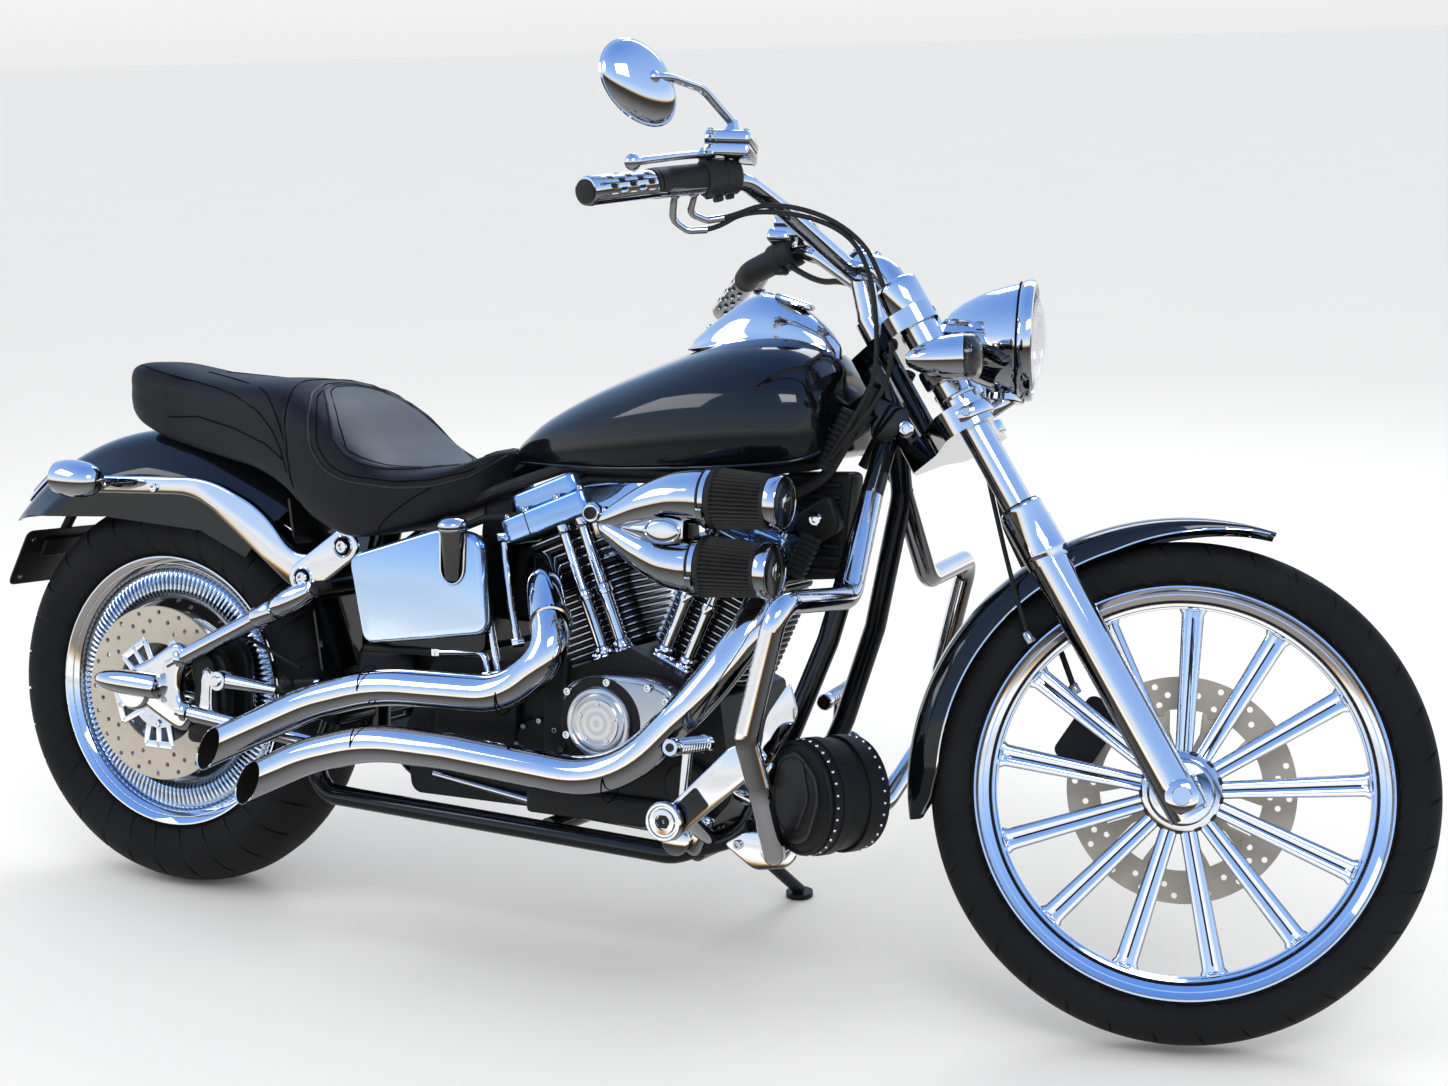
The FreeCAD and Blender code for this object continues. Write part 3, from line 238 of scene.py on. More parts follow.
# Polished faces get a painted reflection in their base colour, set by how far each face looks up: sky above, a
# warm line at the horizon, and dark asphalt under it. The line lies where a face starts to lean down, so it stays
# on each piece from every side.
chromePaintedReflection = [(0.0, (0.34, 0.34, 0.35)), (0.30, (0.20, 0.20, 0.205)), (0.475, (0.060, 0.058, 0.056)),
              (0.508, (0.045, 0.040, 0.036)), (0.518, (0.30, 0.17, 0.07)), (0.527, (0.88, 0.74, 0.52)),
              (0.540, (0.93, 0.94, 0.96)), (1.0, (0.80, 0.83, 0.88))]
# Painted reflection for wheels and hubs: sky, a warm horizon line and dark ground in the base colour, leaning
# forward, with a dark band high up.
wheelPaintedReflection = [(0.0, (0.62, 0.62, 0.62)), (0.16, (0.30, 0.30, 0.30)), (0.30, (0.13, 0.13, 0.13)),
             (0.40, (0.07, 0.065, 0.06)), (0.43, (0.42, 0.28, 0.16)), (0.455, (0.88, 0.84, 0.78)),
             (0.52, (0.94, 0.95, 0.97)), (0.78, (0.62, 0.74, 0.92)), (0.84, (0.10, 0.11, 0.13)),
             (0.88, (0.70, 0.72, 0.76)), (1.0, (0.84, 0.86, 0.90))]
# Painted shade for the black paint: its gloss coat is thinned on faces that look down, so undersides read dark.
paintCoatPaintedShade = [(0.0, (0.05, 0.05, 0.05)), (0.46, (0.10, 0.10, 0.10)), (0.52, (0.10, 0.10, 0.10)),
             (0.56, (0.85, 0.85, 0.85)), (1.0, (1.0, 1.0, 1.0))]
# Painted reflection and shade for the front spokes: dark on walls that turn away from the wheel's axis, sky blue
# and white on faces that look along it.
spokePaintedReflection = [(0.0, (0.02, 0.02, 0.02)), (0.40, (0.035, 0.034, 0.033)), (0.50, (0.30, 0.24, 0.18)),
             (0.58, (0.92, 0.94, 0.98)), (0.72, (0.55, 0.72, 0.97)), (0.86, (0.90, 0.95, 1.0)),
             (0.97, (0.96, 0.97, 0.98)), (1.0, (0.80, 0.86, 0.94))]
# Painted reflection and shade for the rear wheel's rippled face: mostly dark, with a blue and white band where
# faces look along the axis.
ripplePaintedReflection = [(0.0, (0.02, 0.02, 0.02)), (0.74, (0.04, 0.04, 0.045)), (0.82, (0.20, 0.24, 0.30)),
              (0.90, (0.62, 0.74, 0.90)), (0.965, (0.95, 0.97, 1.0)), (0.985, (0.20, 0.21, 0.22)),
              (1.0, (0.10, 0.10, 0.11))]
# Painted reflection for the rims: grey ground below, a warm horizon line, and sky blue above.
rimPaintedReflection = [(0.0, (0.40, 0.37, 0.35)), (0.40, (0.30, 0.28, 0.27)), (0.475, (0.26, 0.22, 0.19)),
           (0.492, (0.60, 0.42, 0.26)), (0.510, (0.90, 0.88, 0.84)), (0.54, (0.90, 0.95, 1.0)),
           (0.64, (0.76, 0.86, 1.0)), (0.80, (0.68, 0.80, 0.97)), (1.0, (0.60, 0.74, 0.94))]
# Painted sky reflection for flat chrome covers, pale low down and deep blue high up.
coverPaintedSky = [(0.0, (0.86, 0.93, 1.0)), (0.45, (0.56, 0.75, 1.0)), (1.0, (0.30, 0.50, 0.86))]


def skyward(finish, ahead=0.0):
    # How far a face looks up, from 0 for straight down to 1 for straight up, or partly how far ahead. It sets
    # where the painted reflection and shade bands fall.
    facing = finish.axes(finish.facing())
    return facing[2] * 0.5 + facing[0] * ahead + 0.5 + (finish.noise(7.0, 3.0) - 0.5) * 0.010


def chromeFinish(name, stops, ahead=0.0):
    finish = Finish(name, Metallic=1.0)
    # The base colour is a painted reflection, picked from the ramp by how far the face looks up.
    finish.feed("Base Color", finish.ramp(stops, skyward(finish, ahead)))
    finish.rough(14.0, 3.0, 0.04, 0.03)
    finish.bump(finish.noise(180.0, 2.0), 0.025, 0.0002)
    return finish.material


def coverFinish():
    # A flat chrome panel with a painted sky reflection in its base colour, deeper blue towards its top.
    finish = Finish("coverChrome", Metallic=0.9)
    height = finish.axes(finish.place())[2]
    finish.feed("Base Color", finish.ramp(coverPaintedSky, (height - 0.45) * 4.2
                                          + (finish.noise(5.0, 2.0) - 0.5) * 0.06))
    finish.rough(14.0, 3.0, 0.05, 0.05)
    finish.bump(finish.noise(6.0, 2.0), 0.04, 0.004)
    return finish.material


def spokeFinish(name, axis, stops):
    # Painted reflection and shade: cast ribs are painted dark where their walls turn away from the wheel's axis,
    # and light where they face along it.
    finish = Finish(name, Metallic=1.0)
    facing = finish.node("VectorMath", {"operation": "DOT_PRODUCT"}, output=1, in0=finish.facing(), in1=axis)
    waver = (finish.noise(9.0, 2.0) - 0.5) * 0.04
    finish.feed("Base Color", finish.ramp(stops, facing.size() + waver))
    finish.rough(14.0, 3.0, 0.05, 0.05)
    finish.bump(finish.noise(180.0, 2.0), 0.03, 0.0002)
    return finish.material


def paintFinish():
    finish = Finish("blackPaint", Coat_Roughness=0.015, Specular_IOR_Level=0.12)
    fleck = finish.noise(2400.0, 1.0)
    finish.feed("Base Color", finish.blend(fleck.above(0.64), (0.0025, 0.003, 0.004), (0.007, 0.008, 0.011)))
    # Painted shade: the coat weight follows how far each face looks up, thin on the undersides.
    finish.feed("Coat Weight", finish.axes(finish.ramp(paintCoatPaintedShade, skyward(finish)))[0])
    finish.rough(14.0, 3.0, 0.05, 0.12)
    finish.bump(finish.noise(350.0, 1.0), 0.02, 0.0002)
    return finish.material


def leatherFinish(name, tone, gloss, shine):
    # Grain cells with creases between them, and a soft shine that varies.
    finish = Finish(name, Specular_IOR_Level=shine)
    cells = finish.node("TexVoronoi", {"feature": "DISTANCE_TO_EDGE"}, Vector=finish.place(), Scale=520.0)
    grain = cells.least(0.15) * 5.0
    wear = finish.noise(8.0, 5.0, 0.6)
    high = (tone * 2.0, tone * 2.0, tone * 2.1)
    finish.feed("Base Color", finish.blend(wear, (tone, tone, tone * 1.05), high))
    finish.feed("Roughness", wear * 0.22 + gloss - grain * 0.06)
    finish.bump(grain + finish.noise(70.0, 4.0) * 0.9, 0.30, 0.0007)
    return finish.material


def brushedFinish(centre):
    # Rings turned into a round cover, as a lathe leaves them.
    finish = Finish("turnedAlloy", Metallic=1.0)
    across = finish.node("VectorMath", {"operation": "DISTANCE"}, output=1, in0=finish.place(), in1=centre)
    rings = (across * 5200.0).sine()
    wide = (across * 520.0 + finish.noise(30.0) * 0.4).sine()
    finish.feed("Base Color", finish.blend(wide * 0.5 + 0.5, (0.74, 0.73, 0.70), (0.56, 0.56, 0.55)))
    finish.feed("Roughness", rings * 0.06 + wide * 0.05 + 0.24)
    finish.bump(rings + wide, 0.10, 0.0002)
    return finish.material


def glassFinish(name, tint):
    finish = Finish(name, Base_Color=tint, Transmission_Weight=1.0, Roughness=0.02, IOR=1.45)
    finish.bump(finish.noise(160.0, 1.0), 0.05, 0.0004)
    return finish.material


def redGlassFinish():
    finish = Finish("redLens", Coat_Weight=0.6, Coat_Roughness=0.04, IOR=1.45)
    finish.feed("Base Color", finish.blend(finish.noise(40.0, 2.0), (0.16, 0.006, 0.006),
                                           (0.09, 0.004, 0.005)))
    finish.rough(60.0, 2.0, 0.08, 0.12)
    finish.bump((finish.axes(finish.place())[1] * 1100.0).sine(), 0.12, 0.0004)
    return finish.material


def mottledFinish(name, first, second, patches, rough, grain=None, metal=0.0, shine=0.5):
    # Two tones in soft patches, a roughness that varies, and a fine grain.
    finish = Finish(name, Metallic=metal, Specular_IOR_Level=shine)
    finish.feed("Base Color", finish.blend(finish.noise(*patches), first, second))
    finish.rough(*rough)
    if grain:
        finish.bump(finish.noise(*grain[:2]), *grain[2:])
    return finish.material


def darker(colour, share):
    return tuple(c * share for c in colour)


def blackMetal(name, first, second):
    return mottledFinish(name, first, second, (9.0, 4.0), (30.0, 4.0, 0.25, 0.28), (700.0, 2.0, 0.12, 0.0004),
                         0.15, 0.20)


def alloyFinish(name, colour, low):
    return mottledFinish(name, colour, darker(colour, 0.8), (12.0, 4.0), (30.0, 4.0, 0.16, low),
                         (700.0, 3.0, 0.08, 0.0003), 1.0)


def discFinish(name, colour):
    return mottledFinish(name, colour, darker(colour, 0.82), (16.0, 4.0), (120.0, 2.0, 0.2, 0.30),
                         (600.0, 2.0, 0.08, 0.0002), 0.35)


coverCentre = tuple(onBike @ Vector((882, -181, 383)))
frontAcross = tuple((onFork.to_3x3() @ Vector((0, -1, 0))).normalized())
rearAcross = tuple((onBike.to_3x3() @ Vector((0, -1, 0))).normalized())

# Each finish with the record's slot that it belongs to.
finishTable = {
    "paint": ("black_paint", paintFinish()),
    "satin": ("black_metal", blackMetal("satinBlack", (0.005, 0.005, 0.0055), (0.014, 0.014, 0.0145))),
    "fin": ("fin_metal", blackMetal("finBlack", (0.006, 0.006, 0.006), (0.016, 0.016, 0.016))),
    "chrome": ("chrome", chromeFinish("chrome", chromePaintedReflection)),
    "wheelChrome": ("chrome", chromeFinish("wheelChrome", wheelPaintedReflection, 0.30)),
    "rim": ("chrome", chromeFinish("rimChrome", rimPaintedReflection)),
    "spoke": ("chrome", spokeFinish("spokeChrome", frontAcross, spokePaintedReflection)),
    "ripple": ("chrome", spokeFinish("rippleChrome", rearAcross, ripplePaintedReflection)),
    "coverChrome": ("chrome", coverFinish()),
    # A dark metal; it also serves as painted shade in the rim grooves, spoke slots and hub flutes.
    "darkChromeAndShade": ("chrome", alloyFinish("darkChromeAndShade", (0.045, 0.045, 0.048), 0.10)),
    "alloy": ("polished_alloy", alloyFinish("polishedAlloy", (0.58, 0.59, 0.61), 0.16)),
    "brushed": ("brushed_cover", brushedFinish(coverCentre)),
    "rearDisc": ("disc_steel", discFinish("rearDiscSteel", (0.56, 0.50, 0.41))),
    "frontDisc": ("disc_steel", discFinish("frontDiscSteel", (0.52, 0.45, 0.36))),
    "reflector": ("chrome", mottledFinish("reflector", (0.56, 0.54, 0.50), (0.44, 0.42, 0.39), (8.0,),
                                          (40.0, 2.0, 0.05, 0.06), None, 1.0)),
    "leather": ("leather", leatherFinish("blackLeather", 0.0060, 0.36, 0.16)),
    "inset": ("leather", leatherFinish("smoothLeather", 0.0075, 0.26, 0.42)),
    "bag": ("bag_leather", leatherFinish("bagLeather", 0.0045, 0.34, 0.16)),
    "tyre": ("tyre_rubber", mottledFinish("tyreRubber", (0.0045, 0.0045, 0.005), (0.015, 0.015, 0.0155),
                                          (9.0, 5.0, 0.6), (40.0, 3.0, 0.25, 0.52),
                                          (1500.0, 2.0, 0.15, 0.0003), 0.0, 0.10)),
    "rubber": ("black_rubber", mottledFinish("blackRubber", (0.008, 0.008, 0.008), (0.020, 0.020, 0.020),
                                             (20.0, 3.0), (60.0, 2.0, 0.2, 0.36), (1100.0, 2.0, 0.12, 0.0003),
                                             0.0, 0.20)),
    "plastic": ("black_plastic", mottledFinish("mattePlastic", (0.009, 0.009, 0.010), (0.020, 0.020, 0.021),
                                               (18.0, 3.0), (70.0, 2.0, 0.18, 0.40),
                                               (1300.0, 2.0, 0.1, 0.0003), 0.0, 0.22)),
    "pleat": ("filter", mottledFinish("pleatedGauze", (0.014, 0.013, 0.0125), (0.034, 0.032, 0.030),
                                      (60.0, 4.0), (90.0, 2.0, 0.2, 0.62), (1900.0, 2.0, 0.25, 0.0004), 0.0,
                                      0.38)),
    # Near black: soot in the exhaust mouths, dark seams and threads, and painted shade in the wells under the oil
    # cap and the capsule bolts.
    "sootAndShade": ("black_metal", mottledFinish("sootAndShade", (0.002, 0.002, 0.002), (0.007, 0.006, 0.006), (30.0, 4.0),
                                          (40.0, 2.0, 0.1, 0.85), None, 0.0, 0.05)),
    "lens": ("lens", glassFinish("clearLens", (0.97, 0.98, 1.0))),
    "smoke": ("lens", glassFinish("smokedLens", (0.34, 0.31, 0.27))),
    "tailRed": ("lens", redGlassFinish()),
}
finishes = {name: material for name, (slot, material) in finishTable.items()}
finishOfSlot = {
    "black_paint": "paint", "black_metal": "satin", "chrome": "chrome", "leather": "leather",
    "bag_leather": "bag",
    "tyre_rubber": "tyre", "black_rubber": "rubber", "fin_metal": "fin", "polished_alloy": "alloy",
    "brushed_cover": "chrome", "disc_steel": "rearDisc", "lens": "lens", "filter": "pleat",
    "black_plastic": "plastic", "signal_metal": "chrome",
}
otherFinish = {"front_wheel": "wheelChrome", "rear_wheel": "wheelChrome", "crankcase": "satin",
               "front_disc": "frontDisc"}
print("finishes made:", len(finishes))

recordSlots = {part["node"]: part["material_slot"] for part in frame["record"]["subparts"]}
for nodeName, node in nodes.items():
    node.data.materials.clear()
    node.data.materials.append(finishes[otherFinish.get(nodeName, finishOfSlot[recordSlots[nodeName]])])
print("nodes dressed")


# Modelling helpers

def objectMode():
    bpy.ops.object.mode_set(mode="OBJECT")


def calm():
    if bpy.context.object and bpy.context.object.mode != "OBJECT":
        objectMode()
    bpy.ops.object.select_all(action="DESELECT")


def editAll():
    bpy.ops.object.mode_set(mode="EDIT")
    bpy.ops.mesh.select_all(action="SELECT")


def faceOutwards():
    bpy.ops.mesh.select_all(action="SELECT")
    bpy.ops.mesh.normals_make_consistent(inside=False)
    objectMode()


def picked(piece):
    calm()
    bpy.context.view_layer.objects.active = piece
    piece.select_set(True)


def added(name, data):
    piece = bpy.data.objects.new(name, data)
    bpy.context.scene.collection.objects.link(piece)
    return piece


def modified(piece, kind, **settings):
    picked(piece)
    change = piece.modifiers.new(kind, kind)
    for key, value in settings.items():
        setattr(change, key, value)
    bpy.ops.object.modifier_apply(modifier=change.name)
    return piece


def joined(pieces):
    calm()
    for piece in pieces:
        piece.select_set(True)
    bpy.context.view_layer.objects.active = pieces[0]
    if len(pieces) > 1:
        bpy.ops.object.join()
    return pieces[0]


def cutOut(piece, cutters):
    # Takes the cutters out of a piece.
    cutter = joined(cutters)
    modified(piece, "BOOLEAN", object=cutter, operation="DIFFERENCE", solver="FAST")
    bpy.data.objects.remove(cutter)


def settle(pieces, name, finish, body, place=None, smooth=38, stands=()):
    # Joins finished pieces under one name, carries them to their place, and gives them finish and body.
    piece = joined(pieces) if isinstance(pieces, list) else pieces
    picked(piece)
    if place is not None:
        piece.data.transform(place)
    piece.name = name
    piece.data.name = name
    piece.data.materials.clear()
    piece.data.materials.append(finishes[finish])
    bpy.ops.object.shade_smooth_by_angle(angle=math.radians(smooth))
    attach(piece, body)
    if stands:
        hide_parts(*stands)
    return piece


def moved(piece, place):
    if place is not None:
        piece.data.transform(place)
    return piece


def ringOf(points, fill="NOTHING"):
    # A circle primitive whose corners are taken to the points in order.
    calm()
    bpy.ops.mesh.primitive_circle_add(vertices=len(points), radius=1, fill_type=fill)
    piece = bpy.context.object
    for vertex, point in zip(piece.data.vertices, points):
        vertex.co = point
    return piece


def turned(points, steps=96, place=None):
    # A solid spun about its z axis from a closed outline of (radius, height).
    piece = ringOf([(radius, 0, height) for radius, height in points])
    editAll()
    bpy.ops.mesh.spin(steps=steps, angle=math.tau, center=(0, 0, 0), axis=(0, 0, 1))
    bpy.ops.mesh.select_all(action="SELECT")
    bpy.ops.mesh.remove_doubles(threshold=0.01)
    bpy.ops.mesh.delete_loose(use_verts=True, use_edges=True, use_faces=False)
    faceOutwards()
    return moved(piece, place)


def plate(points, depth, bevel=0.0, place=None, segments=3):
    # A flat outline in x and y, extruded up z, with its edges rounded.
    piece = ringOf([(p[0], p[1], 0) for p in points], "NGON")
    editAll()
    bpy.ops.mesh.extrude_region_move(TRANSFORM_OT_translate={"value": (0, 0, depth)})
    faceOutwards()
    if bevel:
        modified(piece, "BEVEL", width=bevel, segments=segments, limit_method="ANGLE",
                 angle_limit=math.radians(50))
    return moved(piece, place)


def block(size, bevel, place=None, taper=1.0):
    # A box primitive with its top drawn in and its edges rounded.
    calm()
    bpy.ops.mesh.primitive_cube_add(size=1)
    piece = bpy.context.object
    for vertex in piece.data.vertices:
        share = taper if vertex.co.z > 0 else 1.0
        vertex.co = (vertex.co.x * size[0] * share, vertex.co.y * size[1] * share, vertex.co.z * size[2])
    modified(piece, "BEVEL", width=bevel, segments=3)
    return moved(piece, place)


def wrapped(across, along, shape):
    # A grid primitive wrapped into a form: shape(u, v) gives a place for u across it and v along it.
    calm()
    bpy.ops.mesh.primitive_grid_add(x_subdivisions=across, y_subdivisions=along, size=1)
    piece = bpy.context.object
    for vertex in piece.data.vertices:
        vertex.co = shape(round((vertex.co.x + 0.5) * across) / across,
                          round((vertex.co.y + 0.5) * along) / along)
    editAll()
    bpy.ops.mesh.remove_doubles(threshold=0.01)
    faceOutwards()
    return piece


def softened(before, corner, after, reach, fine):
    # Places on an arc between two runs that meet at a corner.
    back, ahead = (before - corner).normalized(), (after - corner).normalized()
    made = []
    for k in range(fine + 1):
        t = k / fine
        near, far = corner + back * reach * (1 - t), corner + ahead * reach * t
        made.append(near.lerp(far, t))
    return made


def roundedOutline(points, radius, fine=5):
    # The outline with each corner taken round by an arc.
    made = []
    places = [Vector(p) for p in points]
    for before, corner, after in zip(places[-1:] + places, places, places[1:] + places[:1]):
        reach = min(radius, 0.45 * (before - corner).length, 0.45 * (after - corner).length)
        made += softened(before, corner, after, reach, fine)
    return made


def roundedRoute(points, bend, fine=8):
    # Straight runs joined by arcs that touch both, as a bender makes them.
    places = [Vector(p) for p in points]
    path = [places[0]]
    for before, corner, after in zip(places, places[1:], places[2:]):
        back, ahead = before - corner, after - corner
        run = 0.45 * min(back.length, ahead.length)
        half = (math.pi - back.normalized().angle(ahead.normalized())) / 2
        path += softened(before, corner, after, min(run, bend * math.tan(half)), fine)
    path.append(places[-1])
    return path


def boxOutline(length, width, corner):
    half, side = length / 2, width / 2
    return roundedOutline([(-half, -side), (half, -side), (half, side), (-half, side)], corner, 6)


def along(points, t):
    # A place on a smooth line through the points, t from 0 to 1. It works for plain numbers as well.
    last = len(points) - 1
    i = min(int(t * last), last - 1)
    f = t * last - i
    a, b, c, d = points[max(i - 1, 0)], points[i], points[i + 1], points[min(i + 2, last)]
    if isinstance(a, (int, float)):
        return 0.5 * (2 * b + (c - a) * f + (2 * a - 5 * b + 4 * c - d) * f * f
                      + (3 * b - a - 3 * c + d) * f ** 3)
    return [along((w, x, y, z), (1 + f) / 3) for w, x, y, z in zip(a, b, c, d)]


def loopPoint(points, t):
    # A place on a smooth closed line through the points.
    count = len(points)
    i = int(t * count) % count
    f = t * count - int(t * count)
    near = [points[(i + k - 1) % count] for k in range(4)]
    return along(near, (1 + f) / 3)


def smoothOutline(points, fine=6):
    return [loopPoint(points, i / (len(points) * fine)) for i in range(len(points) * fine)]


def bevelled(kind, path, radius, resolution, ends):
    # A mesh along a path of places, made from a curve with a round bevel.
    calm()
    line = bpy.data.curves.new("sweep", "CURVE")
    line.dimensions = "3D"
    spline = line.splines.new(kind)
    spline.points.add(len(path) - 1)
    for point, place in zip(spline.points, path):
        point.co = (*place, 1)
    if kind == "NURBS":
        spline.use_endpoint_u = True
        spline.order_u = 3
        spline.resolution_u = 10
    line.bevel_depth = radius
    line.bevel_resolution = resolution
    line.use_fill_caps = ends
    picked(added("sweep", line))
    bpy.ops.object.convert(target="MESH")
    return bpy.context.object


def swept(path, radius, sides=24, ends=True):
    # A round bar with straight runs between its places.
    return bevelled("POLY", path, radius, max(sides // 4 - 1, 1), ends)


def copies(piece, places):
    # The piece again at each further place, each copy with its own mesh.
    made = [piece]
    first = piece.data.copy()
    for place in places:
        made.append(moved(added(piece.name, first.copy()), place))
    bpy.data.meshes.remove(first)
    return made


def rounds(count):
    # The turns that carry a piece to each further place of a ring.
    return [spun(i * math.tau / count) for i in range(1, count)]


def bolt(place, radius=6.0, height=5.0, socket=True):
    # A screw head with a socket sunk into it.
    rim = 0.55 * radius
    points = [(0, 0), (radius, 0), (radius, height * 0.7), (radius * 0.85, height), (rim, height),
              (rim, height * 0.4), (0, height * 0.4)]
    if not socket:
        points = [(0, 0), (radius, 0), (radius, height * 0.6), (radius * 0.6, height * 0.95), (0, height)]
    return turned(points, 12 if socket else 16, place)


# Tyres

tyres = {
    "front": {"section": [(29.4, 269), (29.6, 284), (36, 287), (42.5, 294), (46.5, 307), (46.3, 319),
                          (40, 330.5), (26, 339), (0, 343)], "segments": 34, "groove": 3.6, "sweep": 1.25,
              "low": 0.10, "high": 0.78, "rows": 44},
    "rear": {"section": [(56.3, 214), (56.6, 229), (65, 232.5), (73, 243), (79, 261), (79.6, 277), (73, 296),
                         (49, 317.5), (0, 330)], "segments": 30, "groove": 4.6, "sweep": 0.75, "low": 0.10,
             "high": 0.76, "rows": 48},
}
grooveCuts = [0.0, 0.03, 0.045, 0.10, 0.115, 0.25, 0.40, 0.50, 0.53, 0.545, 0.60, 0.615, 0.75, 0.90]


def treadedTyre(name, look, place, body, node):
    # Columns of the grid follow the grooves, so that each groove has its own sharp walls.
    half = look["section"]
    section = half + [(-a, r) for a, r in reversed(half[:-1])]
    cuts, rows = len(grooveCuts), look["rows"]

    def shape(u, v):
        column = round(u * cuts * look["segments"])
        cut = column % cuts
        if v > 0.999:
            v = 0.0
        across, radius = along(section, v / (1 - 1 / rows))
        side = 1 - 2 * v / (1 - 1 / rows)
        reach = abs(side)
        inGroove = cut in ((2, 3) if side > 0 else (9, 10))
        if inGroove and look["low"] < reach < look["high"]:
            radius -= look["groove"] * min(1, (reach - look["low"]) / 0.05, (look["high"] - reach) / 0.05)
        turn = (column // cuts + grooveCuts[cut] + look["sweep"] * reach ** 1.5) / look["segments"] * math.tau
        return (radius * math.cos(turn), radius * math.sin(turn), across)

    settle(wrapped(cuts * look["segments"], rows, shape), name, "tyre", body, place, 30, [node])


treadedTyre("frontTyreTreaded", tyres["front"], frontWheelPlace, "front_wheel_assembly", "front_tyre")
treadedTyre("rearTyreTreaded", tyres["rear"], rearWheelPlace, "rear_wheel_assembly", "rear_tyre")
print("tyres treaded")


# Front wheel

frontWheel = {
    "spokes": 13,
    "rim": [(281.3, 30), (281.5, 34), (280.6, 35.5), (278.2, 35.6), (277, 34.6), (262, 24.5), (260.5, 24),
            (258.6, 22.5), (257.4, 19), (257, 14.5), (253.5, 13.5), (252.5, 12), (250.5, 11.5), (250, 10)],
    "spokeIn": 38.0, "spokeOut": 252.5, "widthIn": 11.5, "widthOut": 15.5, "thick": 8.0,
}


def doubleRib(look):
    # A cast spoke: two ribs with a sunk web, flared where it meets the rim.
    def shape(u, v):
        angle = u * math.tau
        flare = 5.5 * max(0, (v - 0.955) / 0.045) ** 2 + 4.0 * max(0, (0.05 - v) / 0.05) ** 2
        half = look["widthIn"] + (look["widthOut"] - look["widthIn"]) * v
        side = math.copysign(abs(math.cos(angle)) ** 0.85, math.cos(angle))
        dip = 1 - 0.50 * math.exp(-(side / 0.30) ** 2)
        rise = look["thick"] * dip * math.copysign(abs(math.sin(angle)) ** 0.7, math.sin(angle))
        return (side * (half + flare), -(look["spokeIn"] + (look["spokeOut"] - look["spokeIn"]) * v), rise)
    return wrapped(32, 22, shape)


def makeFrontWheel(look):
    place = frontWheelPlace
    side = look["rim"]
    inside = [(268, -29.5), (268, -18), (260, -12), (260, 12), (268, 18), (268, 29.5)]
    rim = turned(side + [(r, -z) for r, z in reversed(side)] + inside, 192)
    settle(rim, "frontRim", "rim", "front_wheel_assembly", place, 30, ["front_wheel"])
    # Painted shade: a thin dark ring lies in the groove inside each lip.
    grooves = [turned([(260.9, s * 24.2), (259.0, s * 23.1), (257.7, s * 19.5), (257.3, s * 14.7),
                       (256.9, s * 14.7), (257.2, s * 19.6), (258.5, s * 23.5), (260.8, s * 24.6)], 192)
               for s in (-1, 1)]
    settle(grooves, "frontRimGrooves", "darkChromeAndShade", "front_wheel_assembly", place, 60)
    count = look["spokes"]
    settle(copies(doubleRib(look), rounds(count)), "frontSpokes", "spoke", "front_wheel_assembly", place, 50)
    # Painted shade: a thin dark strip lies down the middle of each spoke's web, on both faces.
    slots = []
    for sign in (-1, 1):
        slot = plate(boxOutline(2.2, 186, 1), 1.2, 0, shift(0, -146, sign * 4.2 - 0.6))
        slots += copies(slot, rounds(count))
    settle(slots, "frontSpokeSlots", "darkChromeAndShade", "front_wheel_assembly", place)
    nuts = []
    for sign in (-1, 1):
        nut = block((15, 5, 7), 1.5, shift(0, -250, sign * 12.5))
        nuts += copies(nut, rounds(count))
    settle(nuts, "frontSpokeFeet", "wheelChrome", "front_wheel_assembly", place)
    hub = turned([(13, -47), (22, -47), (24, -45), (25, -36), (30, -34), (40, -33), (44, -31), (46, -27),
                  (52, -25), (55, -22), (55, -12), (51, -10), (42, -9), (42, 9), (51, 10), (55, 12), (55, 22),
                  (46, 27), (46, 53), (13, 53)], 96)
    settle(hub, "frontHub", "wheelChrome", "front_wheel_assembly", place)
    # Painted shade: dark blocks between the spokes mark the hub's flutes.
    cups = []
    for sign in (-1, 1):
        cup = block((11, 12, 10), 2.0, shift(0, -51, sign * 20))
        cups += copies(moved(cup, spun(math.pi / count)), rounds(count))
    settle(cups, "frontHubFlutes", "darkChromeAndShade", "front_wheel_assembly", place)


makeFrontWheel(frontWheel)


# Rear wheel

rearWheel = {
    "ripples": 64,
    "lip": [(226.2, 56), (226.5, 60.8), (225.4, 62.3), (223, 62.4), (221.6, 61.4), (207, 50.5), (205, 48),
            (203.5, 44), (203, 40)],
    "face": [(203, 41, 0), (198, 44, 0.5), (190, 46, 1), (180, 47.5, 1), (170, 48, 1), (164, 46, 0.5),
             (160, 42, 0), (152, 39, 0), (138, 40, 0), (118, 33, 0), (98, 22, 0), (80, 17, 0), (60, 15, 0),
             (42, 15, 0)],
}


def makeRearWheel(look):
    place = rearWheelPlace
    side = look["lip"]
    inside = [(213, -56), (213, -40), (205, -34), (205, 34), (213, 40), (213, 56)]
    rim = turned(side + [(r, -z) for r, z in reversed(side)] + inside, 192)
    settle(rim, "rearRim", "rim", "rear_wheel_assembly", place, 30, ["rear_wheel"])
    face = look["face"]
    band = face + [(r, -z, w) for r, z, w in reversed(face)]

    def shape(u, v):
        radius, height, weight = band[round(v * (len(band) - 1))]
        angle = u * math.tau
        wave = 3.0 * weight * math.cos(look["ripples"] * angle)
        return (radius * math.cos(angle), radius * math.sin(angle), height + math.copysign(wave, height))

    settle(wrapped(look["ripples"] * 8, len(band) - 1, shape), "rearWheelFace", "ripple",
           "rear_wheel_assembly", place, 40)
    hub = turned([(13, -84), (40, -84), (44, -81), (44, 81), (40, 84), (13, 84)], 64)
    settle(hub, "rearHub", "wheelChrome", "rear_wheel_assembly", place)


